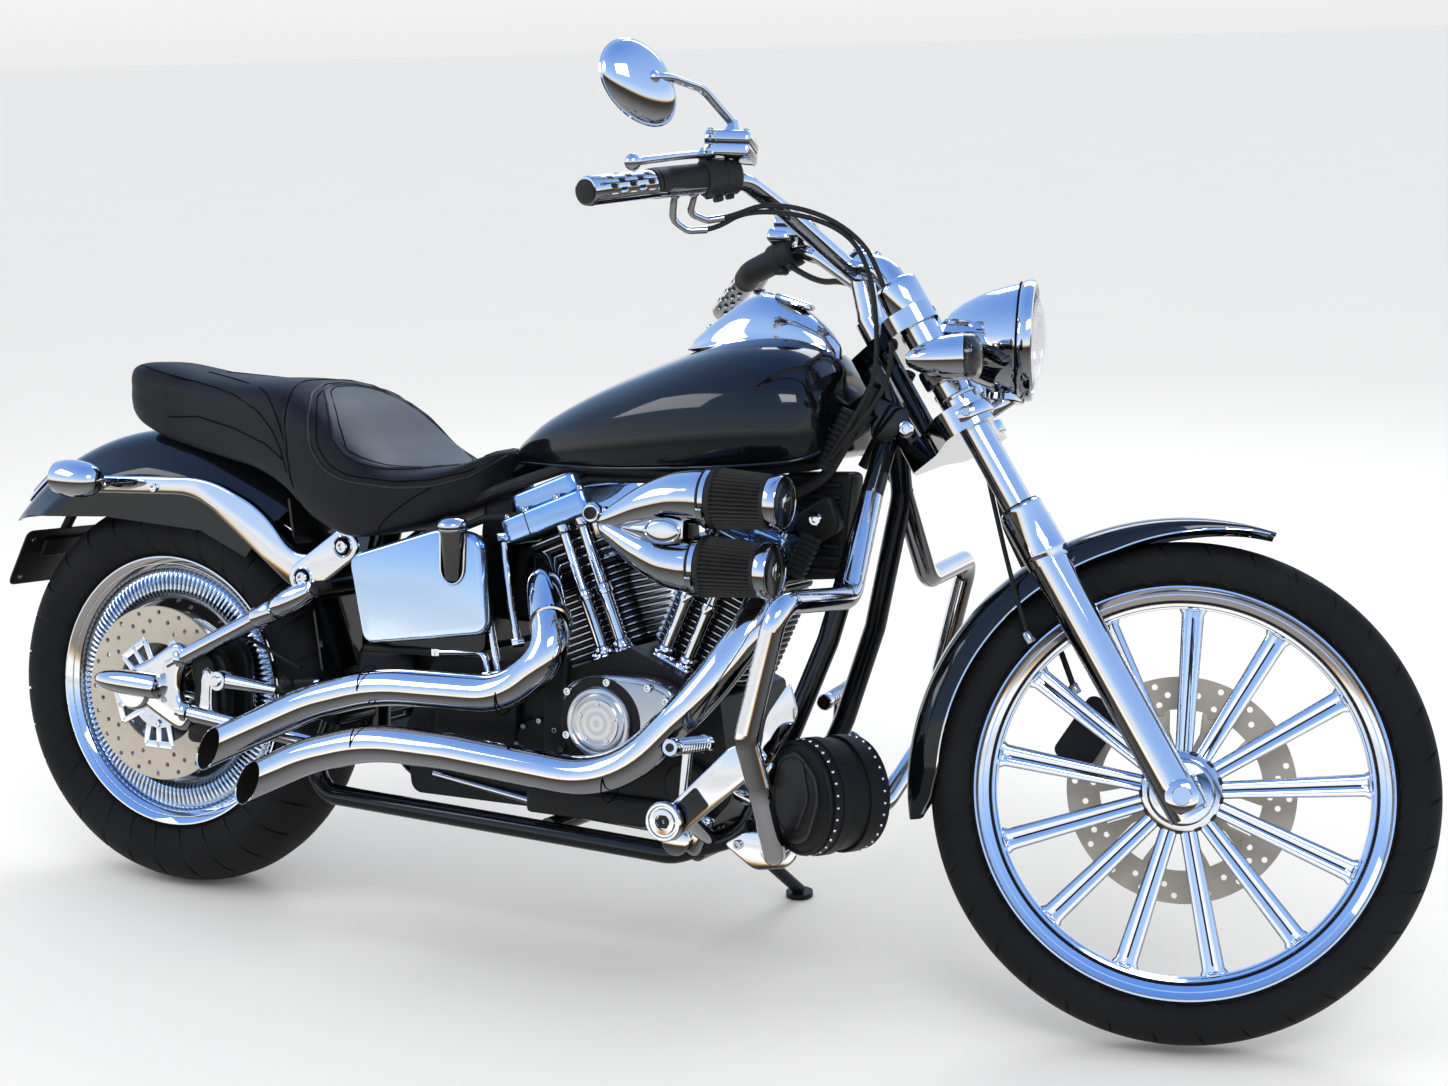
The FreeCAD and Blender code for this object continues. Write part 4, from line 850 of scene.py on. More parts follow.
makeRearWheel(rearWheel)
print("wheels made")


# Brake discs

discs = {
    "front": {"radius": 158, "inner": 112, "side": 58, "thick": 5, "arms": 10,
              "rows": [(147, 0.0), (133, 0.35), (121, 0.0)], "count": 20, "hole": 4.2},
    "rear": {"radius": 145, "inner": 84, "side": -86.8, "thick": 5, "arms": 5,
             "rows": [(135, 0.0), (120, 0.5), (105, 0.0)], "count": 20, "hole": 4.0},
}


def drilledRing(look):
    radius, inner, half, edge = look["radius"], look["inner"], look["thick"] / 2, 0.8
    ring = turned([(inner, -half), (radius - edge, -half), (radius, -half + edge), (radius, half - edge),
                   (radius - edge, half), (inner, half)], 120)
    drills = []
    for i in range(look["count"]):
        for radius, offset in look["rows"]:
            # The innermost row has half as many holes.
            if radius == look["rows"][-1][0] and i % 2:
                continue
            turn = (i + offset) / look["count"] * math.tau
            spot = (radius * math.cos(turn), radius * math.sin(turn), 0)
            calm()
            bpy.ops.mesh.primitive_cylinder_add(vertices=10, radius=look["hole"], depth=look["thick"] * 3,
                                                location=spot)
            bpy.ops.object.transform_apply(location=True, rotation=True, scale=True)
            drills.append(bpy.context.object)
    cutOut(ring, drills)
    return ring


def makeDiscs():
    look = discs["front"]
    place = frontWheelPlace @ shift(0, 0, look["side"])
    settle(drilledRing(look), "frontDiscRing", "frontDisc", "front_wheel_assembly", place, 30, ["front_disc"])
    carrier = turned([(14, -2.5), (50, -2.5), (50, 2.5), (14, 2.5)], 64)
    turns = [spun(i * math.tau / look["arms"]) for i in range(look["arms"])]
    arm = [(34, -10), (82, -5), (108, -12), (115, -12), (115, 12), (108, 12), (82, 5), (34, 10)]
    arms = [plate(arm, 4, 0.8, turn @ shift(0, 0, -2)) for turn in turns]
    button = [(0, -4), (6, -4), (6, 4), (0, 4)]
    buttons = [turned(button, 16, turn @ shift(112, 0, 0)) for turn in turns]
    settle([carrier] + arms + buttons, "frontDiscCarrier", "frontDisc", "front_wheel_assembly", place)

    look = discs["rear"]
    place = rearWheelPlace @ shift(0, 0, look["side"])
    settle(drilledRing(look), "rearDiscRing", "rearDisc", "rear_wheel_assembly", place, 30, ["rear_disc"])
    carrier = [turned([(20, -2.5), (58, -3.5), (60, 2.5), (20, 2.5)], 64)]
    for i in range(look["arms"]):
        turn = spun(i * math.tau / look["arms"] + 0.3)
        for offset in (-17, 0, 17):
            carrier.append(plate([(40, -6), (92, -5), (92, 5), (40, 6)], 6, 1.6,
                                 turn @ spun(offset * 0.012) @ shift(0, offset * 0.55, -3.5)))
        carrier.append(plate([(80, -26), (93, -30), (93, 30), (80, 26)], 6, 1.6, turn @ shift(0, 0, -3.5)))
        carrier.append(bolt(turn @ shift(50, 0, -3) @ spun(math.pi, "X"), 6.5, 5))
    settle(carrier, "rearDiscCarrier", "wheelChrome", "rear_wheel_assembly", place)


makeDiscs()
print("discs drilled")


# Bodywork

def closing(v, rows, reach):
    # Draws a skin together over its first and last rows, as a round end does.
    return math.sqrt(max(0.0, 1 - (1 - min(1, min(v, 1 - v) * rows / reach)) ** 2))


def lofted(stations, section, sides, rows):
    # A skin over stations. Each station is a tuple that starts with x, and section makes its ring in y and z.
    def shape(u, v):
        station = along(stations, v)
        full = closing(v, rows, 3.0)
        ring = section(*station[1:])
        y, z = loopPoint(ring, u)
        middle = sum(p[1] for p in ring) / len(ring)
        return (station[0], y * full, middle + (z - middle) * full)
    return wrapped(sides, rows, shape)


tankLook = {
    "stations": [(640, 22, 738, 768), (700, 62, 741, 813), (780, 96, 742, 856), (870, 124, 745, 894),
                 (960, 143, 751, 927), (1040, 152, 757, 947), (1110, 150, 764, 948), (1160, 132, 772, 928),
                 (1186, 100, 786, 893)],
    "console": [(930, 12, 920, 934), (975, 34, 925, 968), (1030, 44, 930, 1003), (1070, 44, 930, 1006),
                (1110, 38, 930, 988), (1150, 26, 925, 958), (1172, 12, 905, 932)],
}


def tankRing(half, low, top):
    tall = top - low
    side = [(0, low), (0.55 * half, low), (0.86 * half, low + 2), (0.965 * half, low + 0.10 * tall),
            (half, low + 0.33 * tall), (0.935 * half, low + 0.62 * tall), (0.66 * half, low + 0.85 * tall),
            (0.30 * half, low + 0.965 * tall)]
    return side + [(0, top)] + [(-y, z) for y, z in reversed(side[1:])]


def consoleRing(half, low, top):
    tall = top - low
    side = [(0, low), (half, low), (half, low + 0.25 * tall), (0.86 * half, low + 0.62 * tall),
            (0.5 * half, low + 0.92 * tall)]
    return side + [(0, top)] + [(-y, z) for y, z in reversed(side[1:])]


def makeTank(look):
    tank = lofted(look["stations"], tankRing, 96, 96)
    settle(tank, "tankShell", "paint", "chassis", onBike, 50, ["fuel_tank"])
    # The pressed seam that runs round the lower edge.
    seam = []
    for side in (-1, 1):
        path = []
        for i in range(61):
            x, half, low = along(look["stations"], 0.03 + 0.95 * i / 60)[:3]
            path.append((x, side * (half * 0.93), low + 3.5))
        seam.append(swept(path, 2.6, 8))
    settle(seam, "tankSeam", "paint", "chassis", onBike, 60)
    dome = lofted(look["console"], consoleRing, 64, 60)
    settle(dome, "tankConsole", "chrome", "chassis", onBike, 50, ["tank_console"])
    base = []
    for i in range(49):
        x, half, low = along(look["console"], 0.02 + 0.96 * i / 48)[:3]
        base.append((x, half + 1.5, low + 4))
    rim = swept(base + [(p[0], -p[1], p[2]) for p in reversed(base)] + base[:1], 2.6, 8, ends=False)
    settle(rim, "consoleTrim", "chrome", "chassis", onBike, 60)
    dials = [turned([(0, 0), (30, 0), (31, 3), (30, 5.5), (26, 6.5), (24, 5.5), (0, 5.5)], 48,
                    onBike @ aimed((1094, 0, 994), (0.32, 0, 0.95))),
             bolt(onBike @ aimed((1049, 0, 1005.5), (0, 0, 1)), 9, 5),
             bolt(onBike @ aimed((960, 0, 957), (-0.5, 0, 0.85)), 6, 4)]
    settle(dials, "consoleSwitch", "chrome", "chassis")


makeTank(tankLook)
print("tank made")

# Seat: one upholstered piece, with the rider's dish, the backrest and the passenger's tail.
seatLook = {
    "stations": [(-90, 40, 818, 866), (-72, 72, 796, 874), (-40, 92, 774, 875), (10, 100, 755, 868),
                 (60, 104, 743, 861), (150, 124, 727, 857), (230, 144, 713, 858), (295, 158, 687, 851),
                 (360, 167, 641, 822), (425, 170, 621, 768), (490, 162, 633, 733), (560, 130, 653, 736),
                 (612, 80, 677, 757), (638, 40, 706, 769)],
    "puff": 5.0,
}


def seatRing(half, low, top):
    tall = top - low
    side = [(0, low), (0.6 * half, low), (0.90 * half, low + 0.03 * tall), (0.99 * half, low + 0.20 * tall),
            (half, low + 0.45 * tall), (0.965 * half, low + 0.72 * tall), (0.83 * half, low + 0.90 * tall),
            (0.50 * half, low + 0.985 * tall)]
    return side + [(0, top)] + [(-y, z) for y, z in reversed(side[1:])]


def makeSeat(look):
    stations = look["stations"]

    def shape(u, v):
        station = along(stations, v)
        full = closing(v, 110, 7)
        ring = seatRing(*station[1:])
        y, z = loopPoint(ring, u)
        middle = (station[2] + station[3]) / 2
        # One sewn channel crosses at the backrest's foot.
        height = (z - station[2]) / (station[3] - station[2])
        cross = math.exp(-((station[0] - 297) / 8) ** 2) * (0.6 if height > 0.5 else 0)
        sink = 3.5 * cross
        crown = look["puff"] * math.sin(math.pi * min(1, max(0, (height - 0.5) * 2))) * (1 - cross)
        scale = 1 + (crown * 0.5 - sink) / max(station[1], 40)
        return (station[0], y * full * scale, middle + (z - middle) * full * scale)

    seat = wrapped(128, 160, shape)
    settle(seat, "seatCover", "leather", "chassis", onBike, 60, ["seat"])


makeSeat(seatLook)
print("seat made")

# Fender struts, with the capsule plates that carry the fender bolts.
strutLook = {
    "outline": [(-136, 657), (104, 666), (195, 601), (313, 515), (400, 588), (392, 612), (300, 575),
                (234, 652), (124, 696), (-136, 686)],
    "side": 106.3, "thick": 15.7,
}


def makeStruts(look):
    parts = []
    for left in (False, True):
        parts.append(plate(roundedOutline(look["outline"], 45, 8), look["thick"], 4.5,
                           onBike @ upright(look["side"], left)))
    settle(parts, "fenderStruts", "chrome", "chassis", None, 42, ["fender_struts"])
    bolts = []
    for left in (False, True):
        base = onBike @ upright(look["side"] + look["thick"] - 0.5, left)
        for x, y, size in ((18, 674, 8), (-92, 672, 8), (330, 560, 9), (374, 592, 9)):
            bolts.append(bolt(base @ shift(x, y, 0), size, 5))
    settle(bolts, "strutBolts", "chrome", "chassis")


makeStruts(strutLook)

# Exhausts: each pipe with its heat shield, and a sooty mouth cut on the slant.
exhaustLook = {
    "radius": 28, "wall": 1.6, "bend": 420, "slash": (-0.55, -0.83, 0.06), "back": 42, "headFace": -75.3,
    "rear": [(716, -56, 590), (774, -150, 562), (822, -204, 482), (742, -206, 414), (520, -206, 408),
             (400, -206, 372), (160, -206, 258)],
    "front": [(1080, -56, 616), (1136, -160, 566), (1072, -212, 452), (935, -222, 308), (660, -222, 325),
              (520, -222, 325), (400, -222, 290), (250, -222, 216)],
}


def bisect(piece, place, normal):
    # Keeps what lies on the side that the normal points to.
    picked(piece)
    editAll()
    bpy.ops.mesh.bisect(plane_co=place, plane_no=normal, clear_inner=True)
    objectMode()


def makeExhaust(look, name, node):
    route = roundedRoute(look[name], look["bend"], 12)
    end = Vector(look[name][-1])
    ahead = (end - Vector(look[name][-2])).normalized()
    # The mouth is cut so that it looks back and outwards.
    normal = -Vector(look["slash"])
    cutAt = end - ahead * look["back"]
    pipes = []
    for radius in (look["radius"], look["radius"] - look["wall"]):
        pipe = swept(route + [end + ahead * 30], radius, 48, ends=False)
        bisect(pipe, cutAt, normal)
        bisect(pipe, (0, look["headFace"], 0), (0, -1, 0))
        pipes.append(pipe)
    outer, inner = pipes
    settle(inner, name + "PipeInside", "sootAndShade", "chassis", onBike, 60)
    modified(outer, "SOLIDIFY", thickness=look["wall"] * 0.9, offset=-1)
    settle(outer, name + "Pipe", "chrome", "chassis", onBike, 50, [node])


for exhaustName in ("rear", "front"):
    makeExhaust(exhaustLook, exhaustName, exhaustName + "_exhaust")
print("exhausts made")


# Engine

engineLook = {
    "crank": (905, 285), "angle": 22.5, "fins": 12, "pitch": 10.0, "finLow": 203.0, "finThick": 3.4,
    "fin": (154, 150, 26), "headLow": 324.0, "headHigh": 398.0, "headFins": 5, "headPitch": 14.0,
}


def cylinderPlace(front):
    # Up the cylinder along z, forward along x, left along y.
    turn = math.radians(engineLook["angle"] if front else -engineLook["angle"])
    return onBike @ shift(engineLook["crank"][0], 0, engineLook["crank"][1]) @ spun(turn, "Y")


def makeCylinders(look):
    # The fins are black with their edges machined bright.
    edges = []
    length, width, corner = look["fin"]
    for front in (False, True):
        place = cylinderPlace(front)
        for i in range(look["fins"]):
            height = look["finLow"] + i * look["pitch"] + look["finThick"] / 2 - 0.9
            edges.append(plate(boxOutline(length + 0.7, width + 0.7, corner), 1.8, 0,
                               place @ shift(0, 0, height)))
        for i in range(look["headFins"]):
            height = look["headLow"] + 4 + i * look["headPitch"] + 1.2
            edges.append(plate(boxOutline(length - 5.3, width + 0.7, corner), 2.0, 0,
                               place @ shift(0, 0, height)))
    settle(edges, "finEdges", "alloy", "chassis", None, 30)


def makeRockers(look):
    chrome, dark, bolts = [], [], []
    for front in (False, True):
        place = cylinderPlace(front)
        low = look["headHigh"]
        dark.append(plate(boxOutline(137, 175, 26), 2.2, 0, place @ shift(0, -14, low + 0.3)))
        chrome.append(plate(boxOutline(156, 182, 14), 36, 4, place @ shift(-4, -15, low + 2.5)))
        chrome.append(plate(boxOutline(120, 160, 16), 31, 6, place @ shift(0, -10, low + 39.3), 5))
        dark.append(plate(boxOutline(121, 161, 16), 1.4, 0, place @ shift(0, -10, low + 38.2)))
        # The lower box is split beside its middle, and its screws sit in pockets on the shoulder.
        dark.append(block((1.6, 3, 35), 0.3, place @ shift(-34, -105, low + 20.6)))
        for x, y in ((-70, -92), (64, -92), (-70, 62), (64, 62), (-34, -98), (24, -98)):
            bolts.append(bolt(place @ shift(x, y, low + 38), 6, 7))
        for x in (-40, 40):
            bolts.append(bolt(place @ shift(x, -60, low + 70), 6.5, 5))
    settle(chrome, "rockerBoxes", "coverChrome", "chassis", None, 40, ["rocker_covers"])
    settle(dark, "rockerGaskets", "rubber", "chassis")
    settle(bolts, "rockerBolts", "alloy", "chassis")


def makePushrods(look):
    tubes, blocks = [], []
    y = -look["fin"][1] / 2 - 12
    for front, across in ((False, 12), (False, 46), (True, -40), (True, -2)):
        place = cylinderPlace(front) @ shift(across, y, 0)
        tubes.append(turned([(0, 195), (13, 195), (13.6, 198), (13.6, 204), (12, 207), (10.5, 208),
                             (10.5, 279), (12.6, 280), (13, 283), (13, 291), (12.2, 294), (9, 296),
                             (8.5, 298), (8.5, 384), (10.5, 386), (11, 389), (11, 398), (0, 398)], 32, place))
        tubes.append(block((3.4, 4, 52), 1.2, place @ shift(0, -11.5, 312)))
    for front, middle in ((False, 29), (True, -21)):
        place = cylinderPlace(front) @ shift(middle, y, 0)
        blocks.append(block((66, 34, 26), 6, place @ shift(0, 0, 182)))
        for x in (-17, 17):
            blocks.append(turned([(0, 172), (17, 172), (17, 192), (15, 196), (0, 196)], 32,
                                 place @ shift(x, 0, 0)))
        for x, side in ((-27, -12), (27, -12), (0, -13)):
            blocks.append(bolt(place @ shift(x, side, 194.5), 5, 5))
    settle(tubes, "pushrodTubes", "chrome", "chassis", None, 40, ["pushrod_tubes"])
    settle(blocks, "tappetBlocks", "chrome", "chassis")


camLook = {
    "outline": [(816, 434), (872, 452), (952, 454), (1001, 440), (996, 394), (972, 386), (946, 334),
                (905, 316), (862, 316), (818, 348)],
    "side": 130.3, "thick": 37.7, "face": (882, 383),
    "screws": [(828, 424), (893, 443), (960, 441), (990, 424), (982, 396), (948, 352), (828, 360)],
}


def makeCamCover(look):
    place = onBike @ upright(look["side"])
    base = plate(roundedOutline(look["outline"], 26, 7), look["thick"], 6, place, 5)
    step = plate(roundedOutline([(824, 427), (874, 444), (950, 446), (992, 433), (988, 400), (966, 391),
                                 (940, 341), (902, 324), (866, 324), (826, 353)], 22, 7), 3, 1.5,
                 place @ shift(0, 0, look["thick"] - 0.5))
    settle([base, step], "camCover", "alloy", "chassis", None, 40, ["cam_cover"])
    face = aimed((look["face"][0], -168, look["face"][1]), (0, -1, 0))
    disc = turned([(0, 0), (52, 0), (52, 8), (50, 10.5), (46, 11), (44.5, 9.8), (43, 11), (41, 12.2),
                   (37, 12.4), (35.5, 11.2), (34, 12.6), (0, 13.8)], 96, onBike @ face)
    settle(disc, "roundCover", "brushed", "chassis")
    gap = turned([(52.6, 0), (66, 0), (66, 4), (52.6, 4)], 72, onBike @ face @ shift(0, 0, -0.4))
    settle(gap, "roundCoverGap", "satin", "chassis")
    bolts = [bolt(place @ shift(x, z, look["thick"] + 2), 6.5, 5) for x, z in look["screws"]]
    for i in range(5):
        turn = i * math.tau / 5 + 0.3
        bolts.append(bolt(onBike @ face @ shift(29 * math.cos(turn), 29 * math.sin(turn), 12.2), 3.6, 2.4))
    settle(bolts, "camBolts", "chrome", "chassis")


hornLook = {
    "upper": [((891, -206, 676), 3), ((903, -206, 681), 12), ((935, -207, 693), 21), ((975, -208, 708), 30),
              ((1015, -207, 719), 36), ((1045, -206, 722), 38.5), ((1063, -206, 722), 39)],
    "lower": [((891, -206, 676), 3), ((903, -206, 671), 12), ((932, -207, 659), 21), ((968, -208, 644), 30),
              ((1004, -207, 631), 36), ((1034, -206, 627), 38.5), ((1049, -206, 627), 39)],
    "filters": [((1064, -206, 722), 114), ((1050, -206, 627), 116)],
    "pleats": 42,
}


def horn(points):
    # A tapering tube whose rings stand across its path.
    places = [p[0] for p in points]
    radii = [p[1] for p in points]

    def shape(u, v):
        ahead = Vector(along(places, min(1, v + 0.01))) - Vector(along(places, max(0, v - 0.01)))
        ahead.normalize()
        up = Vector((0, 0, 1))
        up = (up - ahead * up.dot(ahead)).normalized()
        turn = u * math.tau
        ring = up * math.cos(turn) + ahead.cross(up) * math.sin(turn)
        return Vector(along(places, v)) + ring * along(radii, v)

    return wrapped(48, 48, shape)


def saddleShape(u, v):
    turn = u * math.tau
    hump = 16 + 18 * math.sin(math.pi * v) ** 0.7
    return (938 + 98 * v, -210 - hump * max(-0.2, math.cos(turn)) * 0.9,
            675 - v + math.sin(turn) * (6 + 36 * v ** 1.2))


def makeIntake(look):
    upper, lower = horn(look["upper"]), horn(look["lower"])
    # The saddle lies between the horns, and the body runs in to the cylinders.
    saddle = wrapped(40, 30, saddleShape)
    body = turned([(0, 0), (30, 0), (30, 70), (26, 150), (0, 150)], 48,
                  aimed((968, -196, 676), (-0.32, 1, -0.30)))
    settle([upper, lower, saddle, body], "intakeHorns", "chrome", "chassis", onBike, 50, ["intake_horns"])
    throat = turned([(0, 0), (24, 0), (26, 3), (26, 30), (24, 33), (0, 33)], 40,
                    aimed((800, -30, 616), (1, 0, 0)))
    runner = swept([(805, -30, 616), (1008, -30, 616)], 20, 32)
    casting = [throat, runner, block((46, 34, 26), 6, shift(948, -120, 636) @ spun(0.4, "Y")),
               turned([(0, 0), (13, 0), (14, 2), (14, 16), (9, 20), (0, 20)], 24,
                      aimed((940, -140, 628), (0, -1, -0.2))),
               turned([(0, 0), (9, 0), (9, 22), (6, 25), (0, 25)], 24,
                      aimed((968, -132, 622), (0.3, -1, -0.5))),
               turned([(0, 0), (7, 0), (7, 30), (0, 30)], 20, aimed((926, -128, 648), (-0.4, -1, 0.1)))]
    settle(casting, "throttleBody", "alloy", "chassis", onBike, 40)
    medal = wrapped(48, 8, lambda u, v: (1014 + 27 * v * math.cos(u * math.tau),
                                         -243 - 3.5 * math.sqrt(max(0, 1 - v ** 4)),
                                         675 + 16 * v * math.sin(u * math.tau)))
    ring = swept([Vector((1014 + 27 * math.cos(i * math.tau / 40), -243.5,
                          675 + 16 * math.sin(i * math.tau / 40))) for i in range(41)], 2.2, 8, ends=False)
    lug = plate(roundedOutline([(868, 690), (898, 702), (906, 664), (884, 650)], 10, 6), 16, 4, upright(182))
    boss = turned([(0, 0), (15, 0), (15, 8), (12, 11), (0, 11)], 32, aimed((880, -198, 690), (0, -1, 0)))
    settle([medal, ring, lug, boss], "intakeTrim", "chrome", "chassis", onBike, 45)
    screw = turned([(0, 0), (9, 0), (9, 3), (6, 3), (6, 1), (0, 1)], 24,
                   onBike @ aimed((880, -209.5, 690), (0, -1, 0)))
    settle(screw, "intakeScrew", "plastic", "chassis")

    gauze, clamps, seals, caps, faces = [], [], [], [], []
    for base, length in look["filters"]:
        place = onBike @ aimed(base, (1, 0, 0))

        def shape(u, v, length=length):
            radius = 40.5 - 5.5 * v + 2.9 * math.cos(u * math.tau * look["pleats"])
            return (radius * math.cos(u * math.tau), radius * math.sin(u * math.tau), 16 + (length - 30) * v)

        gauze.append(moved(wrapped(look["pleats"] * 6, 4, shape), place))
        seals.append(turned([(0, 0), (41.5, 0), (43, 1.5), (43, 4), (41.8, 5), (41.8, 13), (44, 14), (44, 20),
                             (42, 22), (0, 22)], 64, place))
        seals.append(turned([(0, length - 20), (36.6, length - 20), (37.4, length - 18), (37.4, length - 12),
                             (0, length - 12)], 64, place))
        clamps.append(turned([(41.6, 5), (43.2, 5.4), (43.2, 12.6), (41.6, 13), (40, 13), (40, 5)], 64,
                             place))
        clamps.append(block((16, 8, 9), 2, place @ spun(0.4) @ shift(0, 46, 9)))
        caps.append(turned([(0, length - 13), (38.2, length - 13), (39.4, length - 11), (39.4, length + 2),
                            (38, length + 4.6), (35.4, length + 4.6), (34, length + 3.4), (0, length + 3.4)],
                           64, place))
        faces.append(turned([(0, length + 3), (34, length + 3), (34, length + 4), (33, length + 4.4),
                             (16, length + 4.6), (0, length + 4.6)], 64, place))
        caps.append(plate(smoothOutline([(13, 0), (6.5, 11.3), (-6.5, 11.3), (-13, 0), (-6.5, -11.3),
                                         (6.5, -11.3)], 1), 2.2, 0.8, place @ shift(0, 0, length + 4.4)))
    settle(gauze, "filterGauze", "pleat", "chassis", None, 24, ["air_filters"])
    settle(seals, "filterSeals", "rubber", "chassis")
    settle(faces, "filterFaces", "darkChromeAndShade", "chassis")
    settle(clamps + caps, "filterCaps", "chrome", "chassis")


makeCylinders(engineLook)
makeRockers(engineLook)
makePushrods(engineLook)
makeCamCover(camLook)
makeIntake(hornLook)
print("engine made")


# Headlamp and signals

lampLook = {
    "at": (1428, 0, 955), "aim": (1, 0, 0.02), "radius": 76,
    "bulletAt": (1344, 186, 898), "bulletAim": (1, 0, 0.1),
}


def makeHeadlamp(look):
    place = onFork @ aimed(look["at"], look["aim"])
    shell = turned([(0, -117), (13, -115.5), (24, -111), (38, -99), (52, -80), (63, -59), (71, -39),
                    (76, -22), (79, -10), (80, -6), (80, -3), (78.8, -2), (78.8, -0.5), (82.5, 0), (84.5, 3),
                    (86, 8), (86.5, 14), (85, 18.5), (81, 20), (77.5, 18.5), (76, 14), (76, 6), (74, -8),
                    (68, -30), (55, -55), (30, -80), (0, -90)], 96, place)
    lower = forkPoint(forkOffset + 20, 0, 947.8)
    arm = moved(swept([lower, lower + axisFront * 38, (1406, 0, 884), (1412, 0, 893)], 12, 24), onFork)
    cup = turned([(0, 0), (24, 0), (26, 2), (26, 10), (20, 14), (14, 22), (0, 22)], 40,
                 onFork @ aimed((1413, 0, 866), (0.05, 0, 1)))
    settle([shell, arm, cup], "headlampShell", "chrome", "fork", None, 40, ["headlamp"])
    bowl = turned([(74, 12), (70, -4), (60, -24), (44, -42), (24, -54), (12, -58), (12, -60), (24, -56.5),
                   (45, -44), (61, -26), (71.5, -5), (75, 12)], 96, place)
    settle(bowl, "headlampBowl", "reflector", "fork")
    bulb = [turned([(0, -58), (10, -58), (10, -40), (7.5, -36), (7.5, -18), (5, -12), (0, -10)], 32, place),
            turned([(0, -14), (17, -12), (19, -9), (17, -5), (0, -3)], 40, place @ shift(0, 0, 2))]
    for turn in (0.5, 2.6, 4.7):
        bulb.append(block((58, 2.4, 1.6), 0.6, place @ spun(turn) @ shift(44, 0, -6)))
    settle(bulb, "headlampBulb", "chrome", "fork")
    radius = look["radius"]
    glass = turned([(0, 34), (20, 33), (40, 30), (56, 25.5), (68, 20.5), (radius - 1, 16), (radius, 13),
                    (radius - 1, 12), (66, 17), (54, 21.5), (38, 26), (20, 29.5), (0, 30.5)], 96, place)
    settle(glass, "headlampGlass", "lens", "fork", None, 60, ["headlamp_lens"])
    seam = turned([(79, -3.4), (82.6, -3.2), (82.6, -0.2), (79, -0.2)], 96, place)
    settle(seam, "headlampSeam", "sootAndShade", "fork")


def makeSignals(look):
    shells, glasses, bowls = [], [], []
    for side in (-1, 1):
        x, y, z = look["bulletAt"]
        place = aimed((x, y * side, z), look["bulletAim"])
        shell = turned([(0, -54), (6, -53), (11, -49), (17, -38), (23, -24), (28, -8), (30.5, 8), (31.2, 22),
                        (31.6, 25), (30.6, 26.5), (28.5, 26), (24, 18), (0, 0)], 64, place)
        stalk = swept([(1342, side * 140, 891), (1342, side * 164, 894)], 8, 20)
        boss = turned([(26.2, -15), (33, -13), (34, -8), (34, 8), (33, 13), (26.2, 15)], 48,
                      aimed(forkPoint(forkOffset, side * forkSide, 1008), axisUp))
        link = swept([(1338, side * 141, 890), (1340, side * 150, 892)], 12, 24)
        shells += [shell, stalk, boss, link]
        glasses.append(turned([(0, 50), (12, 49.5), (22, 47.5), (28, 43.5), (30.8, 37), (31.4, 27),
                               (29, 26.6), (28.4, 36), (25, 41.5), (12, 46.5), (0, 47)], 48, place))
        bowls.append(turned([(27.5, 30), (20, 20), (8, 10), (0, 8), (0, 6), (9, 8), (21.5, 19), (28.4, 30)],
                            48, place))
        bowls.append(turned([(0, 6), (6, 8), (8, 20), (5, 29), (0, 32)], 32, place))
    settle(shells, "frontSignals", "chrome", "fork", onFork, 40, ["front_signals"])
    settle(glasses, "signalGlasses", "smoke", "fork", onFork, 60)
    settle(bowls, "signalBowls", "reflector", "fork", onFork)


# Fork covers, clamps and risers

